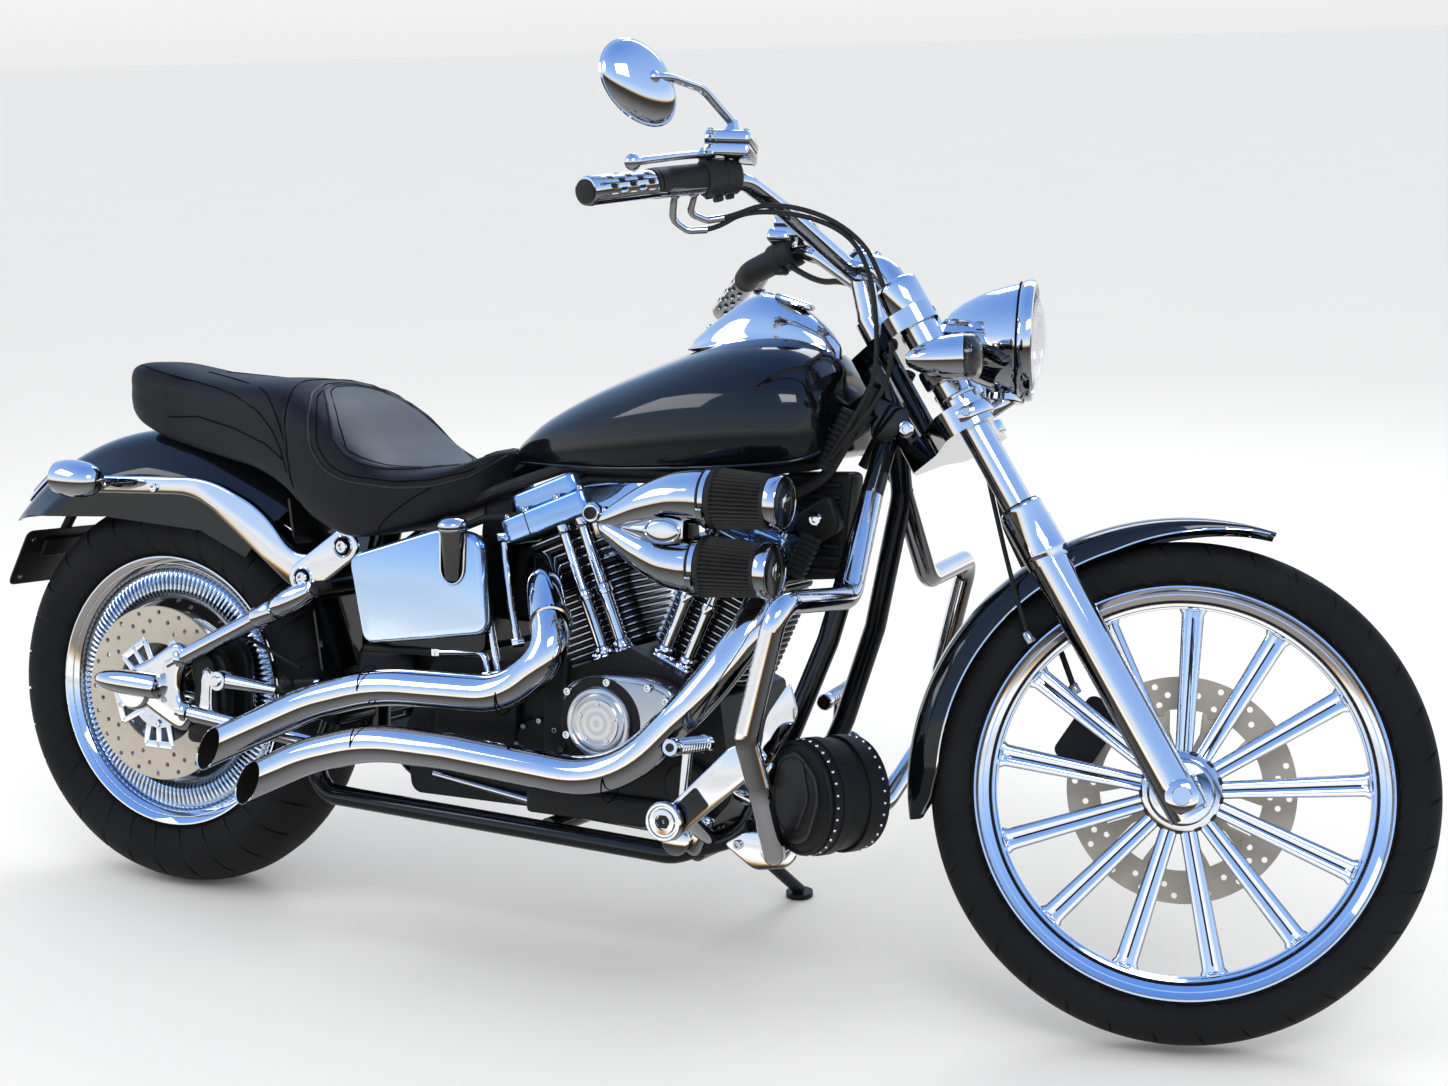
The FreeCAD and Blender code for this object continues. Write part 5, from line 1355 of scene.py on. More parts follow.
def makeForkTrim():
    trims, darks, bolts = [], [], []
    for side in (-1, 1):
        place = aimed(forkPoint(forkOffset, side * forkSide, 0), axisUp)
        # Cap bolts above the upper clamp.
        trims.append(turned([(0, 1096), (30, 1096), (31, 1098), (31, 1142), (30, 1147), (26, 1151),
                             (18, 1153.5), (0, 1154)], 64, place))
        darks.append(turned([(24, 1089), (31.4, 1089), (31.4, 1095.6), (24, 1095.6)], 64, place))
        trims.append(turned([(25.3, 966.5), (27, 966.5), (27.4, 970), (25.6, 972)], 64, place))
        trims.append(turned([(20.6, 929.5), (33, 929.5), (35, 932), (35, 946), (33, 949), (20.6, 949)], 64,
                            place))
        # Dust sleeve with its rolled lips, and the drain end of the leg.
        trims.append(turned([(20.9, 797), (28, 797), (30.6, 794), (30.6, 790), (30, 788), (30.2, 730),
                             (31, 727), (31, 723), (27.4, 718), (27.2, 712), (20.9, 712)], 72, place))
        darks.append(turned([(20.8, 796), (26, 796), (26, 799.5), (20.8, 800.5)], 48, place))
        trims.append(turned([(0, 333), (20, 333), (26.5, 337), (27.6, 345), (27.6, 372), (27.2, 376),
                             (0, 376)], 64, place))
        bolts.append(bolt(onFork @ place @ shift(0, side * 37, 940) @ spun(-side * math.pi / 2, "X"), 6, 5))
    settle(trims, "forkTrim", "chrome", "fork", onFork, 40)
    settle(darks, "forkSeals", "rubber", "fork", onFork)
    for side in (-1, 1):
        # Axle ends with a turned nose.
        bolts.append(turned([(0, 0), (21, 0), (22, 2), (22, 9), (19, 11), (13, 12.5), (12, 11), (0, 11)], 48,
                            onFork @ aimed((frontAxle.x, side * (forkSide + 26), frontAxle.z), (0, side, 0))))
    settle(bolts, "forkBolts", "chrome", "fork")
    # Broad cast risers with a cover between them.
    risers = []
    cover = shift(1206, 0, 1062) @ spun(0.45, "Y")
    for side in (-50, 50):
        low = forkPoint(20, side, 1116.6)
        # A thick arm runs from the fork's cap back to the hump that holds the bar.
        out = forkPoint(forkOffset, math.copysign(forkSide, side), 1138)
        middle = out.lerp(Vector((1214, side * 1.3, 1046)), 0.45) + Vector((0, 0, 9))
        risers.append(swept(roundedRoute([out, middle, (1204, side * 1.1, 1043)], 60, 10), 20, 32))
        risers.append(swept([low, low + axisUp * 24, Vector((1206, side, 1030))], 15, 28))
        risers.append(turned([(0, 0), (20, 0), (23, 3), (24, 8), (24, 30), (23, 35), (20, 38), (0, 38)], 48,
                             aimed((1202, side - 19, 1040), (0, 1, 0))))
    risers.append(block((44, 84, 12), 5, cover))
    settle(risers, "barRisers", "chrome", "fork", onFork, 45)
    pins = []
    for x in (-12, 12):
        for y in (-31, 31):
            pins.append(bolt(onFork @ cover @ shift(x, y, 5.5), 5, 5))
    settle(pins, "riserBolts", "alloy", "fork")


# Handlebar controls

barPath = [(1216, 0, 1040), (1192, -62, 1034), (1105, -150, 1097), (1056, -245, 1122), (968, -320, 1091),
           (903, -440, 1050)]
controlLook = {
    "clampAt": (1033.98, -263.8, 1114.2),
    "levers": [(1034, -256, 1146), (1006, -340, 1124), (959, -440, 1089)],
    "mirrorStalk": [(1046, -268, 1170), (1046, -268, 1186), (1012, -308, 1220), (985, -384, 1214),
                    (962, -402, 1209)],
    "mirrorHead": (948, -396, 1203), "mirrorAway": (0.60, -0.78, 0.06), "slots": 9,
}


def handPlace(side, base, direction):
    base = (base[0], base[1] * -side, base[2])
    direction = (direction[0], direction[1] * -side, direction[2])
    return aimed(base, direction, (0, 0, 1))


def makeControls(look, side, node, name):
    # side is -1 on the right and 1 on the left. Points are those of the right side.
    start, end = Vector(barPath[-2]), Vector(barPath[-1])
    ahead = (end - start).normalized()
    length = (end - start).length
    grip = handPlace(side, start, ahead)
    # A rubber core shows through the long holes of a chrome sleeve.
    core = turned([(12.9, 15), (17.5, 15), (20, 17), (20, 22), (17.3, 24), (17.3, length - 6),
                   (12.9, length - 6)], 48, grip)
    sleeve = turned([(17.4, 26), (18.8, 26), (19.1, 28), (19.1, length + 1), (18.2, length + 3),
                     (12.0, length + 4), (0, length + 4), (0, length + 2), (17.4, length + 1)], 60, grip)
    cutters = []
    for row in range(5):
        for i in range(look["slots"]):
            turn = (i + 0.5 * (row % 2)) * math.tau / look["slots"]
            cutters.append(block((8, 7.5, 15), 3.4, grip @ spun(turn) @ shift(20, 0, 38 + row * 18)))
    cutOut(sleeve, cutters)
    cap = turned([(0, length + 3.6), (15.5, length + 3.6), (15.5, length + 4.8), (14, length + 5.6),
                  (0, length + 5.6)], 40, grip)

    clampAt = Vector(look["clampAt"])
    barTurn = (start - Vector(barPath[-3])).normalized()
    house = handPlace(side, clampAt, barTurn)
    # Black switch housing under, chrome lever perch over.
    radius = 25.5
    housing = turned([(12.9, -24), (radius - 3, -24), (radius, -21), (radius, 0), (radius - 0.8, 0.6),
                      (radius - 0.8, 1.8), (radius, 2.4), (radius, 24), (radius - 3, 27), (12.9, 27)], 48,
                     house)
    # The housing runs on over the bar's bend to the grip.
    stops = (clampAt, start - ahead * 6, start + ahead * 15)
    rest = [handPlace(side, point, ahead).translation for point in stops]
    reach = swept(roundedRoute(rest, 40, 8), 20.5, 32)
    spots = ((-18, -14, 12), (-20, 4, 16), (-15, 18, 9))
    keys = [block((9, wide, 10), 2.5, house @ shift(x - 8, -6 * side, z)) for x, z, wide in spots]
    mirror = Matrix.Scale(-side, 4, (0, 1, 0))
    box = mirror @ shift(clampAt.x + 12, clampAt.y, clampAt.z)
    lower = block((62, 64, 17), 4, box @ shift(0, 0, 31))
    upper = block((64, 66, 17), 5, box @ shift(0, 0, 48.5), 0.95)
    gasket = block((60, 62, 3), 0.5, box @ shift(0, 0, 40))
    perch = block((40, 58, 22), 8, box @ shift(-22, 6, 26), 0.9)
    clampRing = turned([(12.9, -9), (22, -9), (24, -7), (24, 7), (22, 9), (12.9, 9)], 48,
                       handPlace(side, clampAt - barTurn * 10, barTurn))
    bracket = block((20, 22, 24), 4, box @ shift(-4, 2, 18))
    pivot = turned([(0, 0), (9, 0), (10, 1.5), (10, 22), (8, 24), (0, 24)], 32,
                   mirror @ shift(1034, -262, 1132))

    def shape(u, v):
        # The lever: a wide flat blade that narrows to a ball.
        x, y, z = along(look["levers"], v)
        turn = u * math.tau
        wide = 12.5 - 6.0 * math.sin(min(1, v * 1.25) * math.pi / 2)
        return (x + wide * math.cos(turn), y + wide * 0.2 * math.cos(turn),
                z + 5.5 * math.sin(turn) + wide * 0.15 * math.cos(turn))

    blade = moved(wrapped(24, 40, shape), mirror)
    knob = turned([(0, -11), (4, -10.2), (7.5, -8), (10, -4.5), (11, 0), (10, 4.5), (7.5, 8), (4, 10.2),
                   (0, 11)], 32, mirror @ Matrix.Translation(look["levers"][-1]))
    screws = [bolt(onFork @ box @ shift(x, y, 56.5), 4, 2.5) for x in (-24, 24) for y in (-25, 25)]
    chrome = settle([sleeve, lower, upper, perch, clampRing, bracket, pivot, blade, knob], name + "Controls",
                    "chrome", "fork", onFork, 40, [node])
    black = settle([housing, reach] + keys + [gasket], name + "Switches", "plastic", "fork", onFork, 40)
    settle([core, cap], name + "GripRubber", "rubber", "fork", onFork, 40)
    screws = settle(screws, name + "BoxScrews", "alloy", "fork")
    # Pieces that were mirrored face inwards until now.
    for piece in (chrome, black, screws):
        picked(piece)
        editAll()
        faceOutwards()


def makeMirror(look):
    stalk = swept(roundedRoute(look["mirrorStalk"], 40, 8), 6, 24)
    foot = turned([(0, 1170.3), (12, 1170.3), (12, 1176), (9, 1180), (7, 1190), (0, 1190)], 6,
                  shift(1046, -268, 0))
    place = aimed(look["mirrorHead"], look["mirrorAway"], (0, 0, 1))
    slant = math.sqrt(0.5)

    def egg(turn, size, grow=0.0):
        # The glass is an egg that leans out and down.
        long = (60 + grow) * size * math.cos(turn)
        short = (44 + grow) * size * math.sin(turn) * (1 + 0.08 * math.cos(turn))
        return (slant * (long - short), slant * (long + short))

    def back(u, v):
        # A teardrop shell, closed by a flat glass at the rider's side.
        turn = u * math.tau
        across, along = egg(turn, math.sin(v * math.pi / 2) ** 0.9)
        return (across, along, -2 + 23 * math.cos(v * math.pi / 2))

    shell = wrapped(64, 16, back)
    rim = swept([Vector((*egg(i * math.tau / 64, 1, 0.4), -2)) for i in range(65)], 2.4, 10, ends=False)
    moved(shell, place)
    moved(rim, place)
    ball = turned([(0, -10), (6, -8), (9.6, -3), (9.6, 3), (6, 8), (0, 10)], 24, shift(966, -400, 1209))
    settle([stalk, foot, shell, rim, ball], "mirrorShell", "chrome", "fork", onFork, 45, ["mirror"])
    glass = wrapped(64, 6, lambda u, v: (*egg(u * math.tau, v, -0.8), -3.4))
    settle(moved(glass, place), "mirrorGlass", "reflector", "fork", onFork)


makeHeadlamp(lampLook)
makeSignals(lampLook)
makeForkTrim()
makeControls(controlLook, -1, "right_controls", "right")
makeControls(controlLook, 1, "left_controls", "left")
makeMirror(controlLook)
print("front made")


# Rear axle, swingarm and brake

swingLook = {
    "side": 136, "upper": [(66, 391), (120, 419), (345, 534)], "lower": [(84, 316), (372, 290)], "radius": 15,
    "casting": [(-8, 376), (28, 396), (84, 428), (104, 404), (92, 372), (91, 338), (114, 312), (98, 286),
                (60, 298), (-4, 336)],
    "spearAt": (46, 151, 354), "castThick": 22,
}


def makeSwingarm(look):
    chrome, bolts, darks = [], [], []
    for left in (False, True):
        out = 1 if left else -1
        side = look["side"] * out
        place = upright(look["side"] - 9, left)
        top = [Vector((x, side, z)) for x, z in look["upper"]]
        low = [Vector((x, side, z)) for x, z in look["lower"]]
        chrome.append(swept(top, look["radius"] - 0.5, 32))
        chrome.append(swept(low, look["radius"] - 0.5, 32))
        # A collar, then a long spear cover near the upper end.
        ahead = (top[-1] - top[1]).normalized()
        chrome.append(turned([(0, 130), (16.5, 130), (18, 133), (18, 168), (16.5, 171), (0, 171)], 40,
                             aimed(top[1], ahead)))
        chrome.append(turned([(0, 172), (15, 172), (19.5, 182), (21.5, 196), (21.5, 214), (18, 236),
                              (13, 254), (0, 256)], 40, aimed(top[1], ahead)))
        for base, spot in ((top[0] + (top[1] - top[0]) * 0.42, ahead),
                           (low[0] + Vector((16, 0, -1)), (low[1] - low[0]).normalized())):
            chrome.append(turned([(14, -7), (17.5, -6), (18.5, -3), (18.5, 3), (17.5, 6), (14, 7)], 40,
                                 aimed(base, spot)))
        chrome.append(plate(smoothOutline(look["casting"]), look["castThick"], 8, place, 5))
        chrome.append(turned([(0, -6), (26, -6), (33, 0), (33, 14), (28, 20), (0, 22)], 56,
                             aimed((0, side, 344), (0, out, 0))))
        # A bullet lies along the casting and points backwards.
        at = Vector((look["spearAt"][0], out * look["spearAt"][1], look["spearAt"][2]))
        chrome.append(turned([(0, -14), (12, -13), (20, -8), (21, 0), (21, 34), (20.4, 62), (18.4, 86),
                              (15, 104), (11.5, 114), (9.5, 117), (0, 118)], 56, aimed(at, (-1, 0, 0.02))))
        darks.append(turned([(0, 117.5), (7.5, 117.5), (7.5, 121), (6, 122.5), (0, 122.5)], 24,
                            aimed(at, (-1, 0, 0.02))))
        for x, z in ((60, 372), (62, 333)):
            bolts.append(bolt(onBike @ place @ shift(x, z, look["castThick"] - 0.5), 5, 4))
    # Black yoke tubes and the pivot carry on inside the frame.
    darks += [swept([(345, -136, 534), (345, 136, 534)], 11, 24),
              swept([(372, -136, 290), (372, 136, 290)], 17, 24)]
    for out in (-1, 1):
        darks.append(swept([(330, out * 130, 527), (362, out * 120, 545)], 12, 20))
    darks.append(swept([(0, -146, 330), (0, 146, 330)], 12, 24))
    settle(chrome, "swingarmTubes", "chrome", "chassis", onBike, 40, ["swingarm", "axle_covers"])
    settle(darks, "swingarmYoke", "satin", "chassis", onBike, 40)
    settle(bolts, "castingBolts", "alloy", "chassis")


def peanut(length, wide, waist, fine=10):
    # An outline of two rounds joined by a waist.
    points = []
    for i in range(4 * fine):
        turn = i * math.tau / (4 * fine)
        tall = math.sin(turn)
        width = wide if abs(tall) > 0.55 else waist + (wide - waist) * (abs(tall) / 0.55) ** 2
        points.append((width * math.cos(turn) if abs(tall) < 0.55 else wide * math.cos(turn) * 1.12,
                       length * tall))
    return points


def makeRearBrake():
    place = upright(98)
    body = [plate(roundedOutline([(82, 262), (150, 262), (166, 300), (166, 392), (140, 424), (84, 424),
                                  (100, 344)], 18, 6), 24, 7, place, 4),
            plate(roundedOutline([(96, 286), (150, 286), (156, 320), (150, 400), (104, 404), (110, 340)], 16,
                                 6), 14, 6, upright(118), 4),
            plate(roundedOutline([(96, 250), (160, 250), (172, 300), (172, 400), (150, 436), (92, 436)], 16,
                                 6), 20, 6, upright(56), 4)]
    for x, z in ((120, 302), (128, 388)):
        body.append(turned([(0, 0), (21, 0), (22, 2), (22, 5), (18, 7), (0, 7)], 40,
                           aimed((x, -128, z), (0, -1, 0))))
    body.append(swept(roundedRoute([(128, -110, 428), (150, -112, 448), (206, -110, 440), (300, -105, 402)],
                                   40, 6), 3.6, 12))
    settle(body, "rearCaliperBody", "satin", "chassis", onBike, 40, ["rear_caliper"])
    insetPlace = upright(131) @ shift(136, 350, 0) @ spun(-0.06)
    trim = [plate(peanut(43, 15, 11), 4, 1.5, insetPlace),
            plate(peanut(36, 10.5, 7.5), 3.2, 1.2, insetPlace @ shift(0, 0, 3))]
    settle(trim, "caliperInset", "chrome", "chassis", onBike, 40)
    eye = Vector((170, -140, 374))
    end = Vector((286, -140, 368))

    def shape(u, v):
        turn = u * math.tau
        ring = Vector((0, (11 - 4 * v) * math.cos(turn), (13 - 6 * v) * math.sin(turn)))
        return eye.lerp(end, 0.06 + 0.9 * v) + ring

    across = aimed(eye, (0, -1, 0))
    rod = [turned([(0, -12), (15, -12), (16.5, -10), (16.5, 10), (15, 12), (0, 12)], 40, across),
           turned([(0, 10), (9, 10), (9, 14), (7, 16), (0, 16)], 24, across),
           wrapped(24, 20, shape),
           turned([(0, 0), (8, 0), (9, 3), (9, 10), (0, 10)], 24, aimed((352, -134, 386), (1, 0, 0)))]
    settle(rod, "anchorRod", "chrome", "chassis", onBike, 40)
    ball = [turned([(0, -15), (8, -13), (13.5, -7), (15.5, 0), (13.5, 7), (8, 13), (0, 15)], 32,
                   shift(300, -138, 380)),
            swept([(300, -134, 380), (356, -132, 388)], 9, 24),
            swept([(276, -140, 368), (296, -140, 374)], 6, 20)]
    settle(ball, "anchorBall", "satin", "chassis", onBike, 40)


def makeCapsules():
    # Plates that lie over the struts' lower ends.
    plates, bolts, wells = [], [], []
    for left in (False, True):
        place = upright(122.5, left)
        a, b = Vector((322, 549)), Vector((398, 604))
        across = (b - a).normalized()
        outline = []
        for centre, start in ((b, -90), (a, 90)):
            for i in range(13):
                turn = math.radians(start + 180 * i / 12) + math.atan2(across.y, across.x)
                outline.append((centre.x + 27 * math.cos(turn), centre.y + 27 * math.sin(turn)))
        plates.append(plate(outline, 9, 3.5, place, 4))
        for spot in (a, b):
            # Painted shade: a thin dark disc under each bolt stands for its sunk well.
            well = place @ shift(spot.x, spot.y, 8.6)
            wells.append(turned([(0, 0), (15, 0), (15, 0.9), (0, 0.9)], 40, well))
            bolts.append(turned([(14.6, 0), (17.5, 0), (17.5, 1.6), (16, 2.4), (14.6, 1.6)], 40, well))
            bolts.append(bolt(well, 10.5, 6))
    settle(plates, "capsulePlates", "chrome", "chassis", onBike, 40)
    settle(wells, "capsuleWells", "sootAndShade", "chassis", onBike)
    settle(bolts, "capsuleBolts", "chrome", "chassis", onBike)


def makeTail():
    shells, reds = [], []
    for side in (-1, 1):
        place = aimed((-104, side * 168, 684), (-1, 0, 0.03))
        shells.append(turned([(0, -50), (8, -49), (16, -45), (23, -36), (28, -22), (30.5, -6), (31, 10),
                              (30, 24), (27.5, 34), (27.2, 35.2), (27.2, 36.4), (26.4, 37.5), (24, 38.5),
                              (24, 30), (0, 28)], 64, place))
        reds.append(turned([(0, 49), (8, 48.4), (16, 46), (22, 42), (24.6, 38), (24, 36), (0, 36)], 48,
                           place))
        # The stalk flows out of the strut's end.
        path = [(-128, side * 116, 672), (-128, side * 132, 674), (-112, side * 146, 678),
                (-104, side * 158, 682)]

        def shape(u, v, path=path):
            x, y, z = along(path, v)
            turn = u * math.tau
            wide = 26 - 12 * math.sin(v * math.pi / 2)
            return (x + wide * math.cos(turn), y, z + (13 - 3 * v) * math.sin(turn))

        shells.append(wrapped(32, 16, shape))
    settle(shells, "tailBullets", "chrome", "chassis", onBike, 45, ["tail_lights"])
    settle(reds, "tailBulletGlasses", "tailRed", "chassis", onBike, 60)

    # A low lamp with a chrome rim lies on the back of the fender.
    def lampPlace(angle, radius, side):
        turn = math.radians(angle)
        return Vector((radius * math.cos(turn), side, 330 + radius * math.sin(turn)))

    def pad(low, high, half, base, top):
        def shape(u, v):
            x = (u - 0.5) * 2
            y = (v - 0.5) * 2
            edge = max(0.0, 1 - max(abs(x), abs(y)) ** 6)
            return lampPlace(low + (high - low) * v, base + (top - base) * math.sqrt(edge), half * x)
        return wrapped(24, 24, shape)

    settle(pad(123.2, 136.8, 49, 436, 446), "tailLampRim", "chrome", "chassis", onBike, 60)
    settle(pad(124.4, 135.6, 43, 440, 452), "tailLampGlass", "tailRed", "chassis", onBike, 60)


def makePlate():
    tilt = shift(-294, 0, 536) @ spun(math.radians(26), "Y")
    # x is the plate's thickness, y its width and z its height.
    stand = tilt @ Matrix(((0, 0, -1, 0), (1, 0, 0, 0), (0, 1, 0, 0), (0, 0, 0, 1)))
    back = plate(boxOutline(204, 106, 14), 3.2, 1.2, stand @ shift(0, 0, -2.6))
    edge = boxOutline(198, 100, 12)
    lip = swept([stand @ Vector((x, y, 0.8)) for x, y in edge + edge[:1]], 1.8, 8, ends=False)
    face = plate(boxOutline(186, 88, 8), 1.0, 0.4, stand @ shift(0, 0, 0.6))
    arm = [swept([(-262, 0, 612), (-285, 0, 575), (-297, 0, 540)], 9, 16),
           block((8, 120, 34), 3, tilt @ shift(7, 0, 20))]
    settle([back, lip, face] + arm, "plateHolder", "satin", "chassis", onBike, 40, ["number_plate"])
    bolts = []
    for x in (-84, 84):
        for y in (-36, 36):
            bolts.append(bolt(onBike @ stand @ shift(x, y, 1.0), 4.5, 3, False))
            bolts.append(bolt(onBike @ stand @ shift(x, y, -2.4) @ spun(math.pi, "X"), 4.0, 3, False))
    settle(bolts, "plateBolts", "alloy", "chassis")


makeSwingarm(swingLook)
makeRearBrake()
makeCapsules()
makeTail()
makePlate()
print("rear made")


# Oil tank cover, its cap and the oil lines

coverLook = {
    "outline": [(420, 593), (590, 648), (658, 637), (673, 492), (450, 458)],
    "capAt": 612,
}


def makeOilCover(look):
    place = onBike @ upright(126)
    panel = plate(roundedOutline(look["outline"], 22, 8), 24, 7, place, 5)
    hem = [place @ Vector((x, y, 8)) for x, y in roundedOutline(look["outline"], 22, 8)]
    settle(panel, "oilCover", "coverChrome", "chassis", None, 45, ["oil_tank_cover"])
    settle(swept(hem + hem[:1], 0.0016, 8, ends=False), "oilCoverSeam", "sootAndShade", "chassis", None, 60)
    x = look["capAt"]
    # A scooped recess under the mushroom cap, drawn as painted shade: a thin dark plate on the cover's face.
    scoop = []
    for i in range(17):
        turn = math.pi + math.pi * i / 16
        scoop.append((x + 21 * math.cos(turn), 588 + 25 * math.sin(turn)))
    scoop += [(x + 22, 640), (x - 22, 640)]
    well = plate(scoop, 1.6, 0.5, onBike @ upright(149.3))
    settle(well, "oilCapWell", "sootAndShade", "chassis")
    lip = [onBike @ upright(151) @ Vector((px, py, 0))
           for px, py in [(x - 22, 640)] + scoop[:17] + [(x + 22, 640)]]
    stem = wrapped(40, 24, lambda u, v: (x + (12 + 8 * v) * math.cos(u * math.tau),
                                         -150 - (3 + 13 * v) * max(-0.2, -math.sin(u * math.tau)) - 2,
                                         568 + 76 * v))
    cap = turned([(0, 0), (21, 0), (22.5, 1.5), (22.5, 5), (21.5, 6), (23.5, 7), (24, 10), (22, 14.5),
                  (17, 18.5), (9, 21), (0, 21.6)], 64, aimed((x, -152, 644), (0, -0.12, 1)))
    settle([stem, cap], "oilCap", "chrome", "chassis", onBike, 45)
    settle(swept(lip, 0.0022, 10), "oilCapLip", "chrome", "chassis", None, 60)
    ring = turned([(21.6, 4.6), (23.2, 4.6), (23.2, 6.6), (21.6, 6.6)], 56,
                  onBike @ aimed((x, -152, 644), (0, -0.12, 1)))
    settle(ring, "oilCapRing", "rubber", "chassis")


def makeOilLines():
    chrome, black, ends = [], [], []
    for points in ([(640, -112, 612), (644, -112, 560), (662, -114, 480), (676, -114, 418)],
                   [(668, -98, 640), (673, -100, 600), (688, -104, 530), (704, -106, 470)],
                   [(560, -118, 452), (612, -118, 456), (650, -118, 460), (660, -118, 416)]):
        chrome.append(swept(roundedRoute(points, 26, 8), 6.2, 20))
        for index in (0, -1):
            step = Vector(points[index]) - Vector(points[1 if index == 0 else -2])
            ends.append(turned([(0, -14), (9.5, -14), (10.5, -12), (10.5, -2), (9, 0), (0, 0)], 6,
                               aimed(points[index], step)))
    for points in ([(430, -112, 446), (500, -114, 449), (560, -118, 452)],
                   [(586, -100, 640), (640, -96, 662), (700, -86, 668)],
                   [(690, -60, 640), (740, -80, 700), (800, -70, 728), (900, -50, 732), (1020, -48, 738)],
                   [(660, -90, 330), (760, -112, 300), (860, -128, 256), (960, -126, 236)]):
        black.append(swept(roundedRoute(points, 60, 8), 6.5, 16))
    settle(chrome + ends, "oilLines", "chrome", "chassis", onBike, 40)
    settle(black, "engineHoses", "rubber", "chassis", onBike, 40)


# Dark castings and fittings that fill the engine bay

def makeBay():
    dark, bright, boots = [], [], []
    # Coil and its bracket between the cylinders, the front mount, and ribs over the top of the engine.
    dark.append(block((92, 60, 62), 8, shift(905, -22, 664), 0.9))
    dark.append(block((66, 96, 16), 5, shift(905, -20, 706)))
    dark.append(block((280, 74, 24), 8, shift(880, 0, 740), 0.9))
    dark.append(plate(roundedOutline([(1126, 690), (1186, 730), (1206, 676), (1150, 640)], 16, 6), 40, 6,
                      upright(26)))
    dark.append(block((84, 110, 120), 14, shift(690, 0, 560), 0.8))
    dark.append(block((60, 150, 70), 10, shift(640, 0, 660), 0.9))
    dark.append(block((120, 170, 90), 16, shift(440, 0, 400), 0.9))
    # Looms along the backbone and down the steering head.
    for points in ([(560, -60, 664), (640, -84, 700), (760, -70, 744), (1000, -64, 744), (1180, -52, 770),
                    (1236, -48, 842)],
                   [(1240, -44, 880), (1216, -54, 820), (1176, -58, 748), (1120, -62, 716)],
                   [(1262, 40, 900), (1230, 52, 840), (1190, 50, 760)]):
        boots.append(swept(roundedRoute(points, 70, 8), 9, 16))
    # A ribbed boot on the steering head, and one on the intake's rear.
    for start, end, radius, count in (((1214, -62, 846), (1178, -74, 762), 15, 11),
                                      ((1172, -88, 668), (1150, -100, 610), 17, 8)):
        rings = [(0, 0)]
        run = Vector(end) - Vector(start)
        length = run.length
        for i in range(count * 2 + 1):
            rings.append((radius if i % 2 else radius * 0.80, length * i / (count * 2)))
        rings.append((0, length))
        boots.append(turned(rings, 32, aimed(start, run)))
    bright.append(bolt(onBike @ upright(66.5) @ shift(1168, 690, 0), 10, 6))
    bright.append(bolt(onBike @ upright(59) @ shift(920, 706, 0), 7, 5))
    # Gusset on the steering head.
    flange = plate(roundedOutline([(1236, 868), (1290, 851), (1294, 830), (1258, 798), (1236, 808)], 8, 6), 6,
                   2, upright(34))
    settle(flange, "neckGusset", "paint", "chassis", onBike, 40)
    # A finned regulator hangs between the front tubes. The gusset's round bolt comes after it.
    dark.append(plate(roundedOutline([(1104, 752), (1212, 757), (1200, 604), (1100, 594)], 14, 5), 46, 5,
                      upright(-4)))
    for i in range(8):
        dark.append(block((88, 9, 5), 1.5, shift(1152, -46, 616 + i * 17.5)))
    bright.append(turned([(0, 0), (11, 0), (12, 2), (12, 6), (9, 8), (5, 8), (5, 5), (0, 5)], 32,
                         onBike @ aimed((1292, -42, 822), (0, -1, 0))))
    settle(dark, "bayCastings", "satin", "chassis", onBike, 40)
    settle(boots, "bayBoots", "rubber", "chassis", onBike, 35)
    settle(bright, "bayBolts", "chrome", "chassis")
    # Starter, gearbox side and a lower shield behind the exhausts.
    cases = [turned([(0, 0), (44, 0), (48, 4), (48, 60), (40, 74), (0, 76)], 48,
                    aimed((760, -60, 330), (0, -1, 0))),
             block((150, 22, 150), 14, shift(640, -118, 350), 1.0),
             block((240, 18, 44), 8, shift(860, -132, 250), 1.0),
             plate(roundedOutline([(760, 452), (806, 470), (806, 330), (770, 300)], 18, 6), 20, 6,
                   upright(118)),
             turned([(0, 0), (34, 0), (36, 2), (36, 26), (30, 32), (0, 32)], 40,
                    aimed((1010, -118, 300), (0, -1, 0)))]
    settle(cases, "engineSide", "satin", "chassis", onBike, 40)
    studs = []
    for x, z in ((600, 400), (690, 400), (600, 300), (690, 300), (776, 440), (780, 330)):
        studs.append(bolt(onBike @ upright(128.5) @ shift(x, z, 0), 7, 6))
    for i in range(8):
        turn = i * math.tau / 8
        spot = shift(760 + 38 * math.cos(turn), 330 + 38 * math.sin(turn), 0)
        studs.append(bolt(onBike @ upright(135.5) @ spot, 4.5, 4))
    settle(studs, "engineStuds", "alloy", "chassis")


# Exhaust seams and clamps

def makeExhaustTrim():
    seams = [turned([(27.9, -1.4), (28.9, -0.9), (28.9, 0.9), (27.9, 1.4)], 64, aimed(place, (1, 0, -0.05)))
             for place in ((500, -206, 408), (742, -206, 414), (500, -222, 325), (930, -222, 309))]
    settle(seams, "shieldSeams", "sootAndShade", "chassis", onBike, 60)
    clamps = [turned([(28.4, -9), (31.5, -8), (31.5, 8), (28.4, 9)], 64, aimed(place, (0.5, -0.9, -0.35)))
              for place in ((1122, -136, 592), (800, -176, 522))]
    settle(clamps, "exhaustClamps", "chrome", "chassis", onBike, 50)


# Foot controls

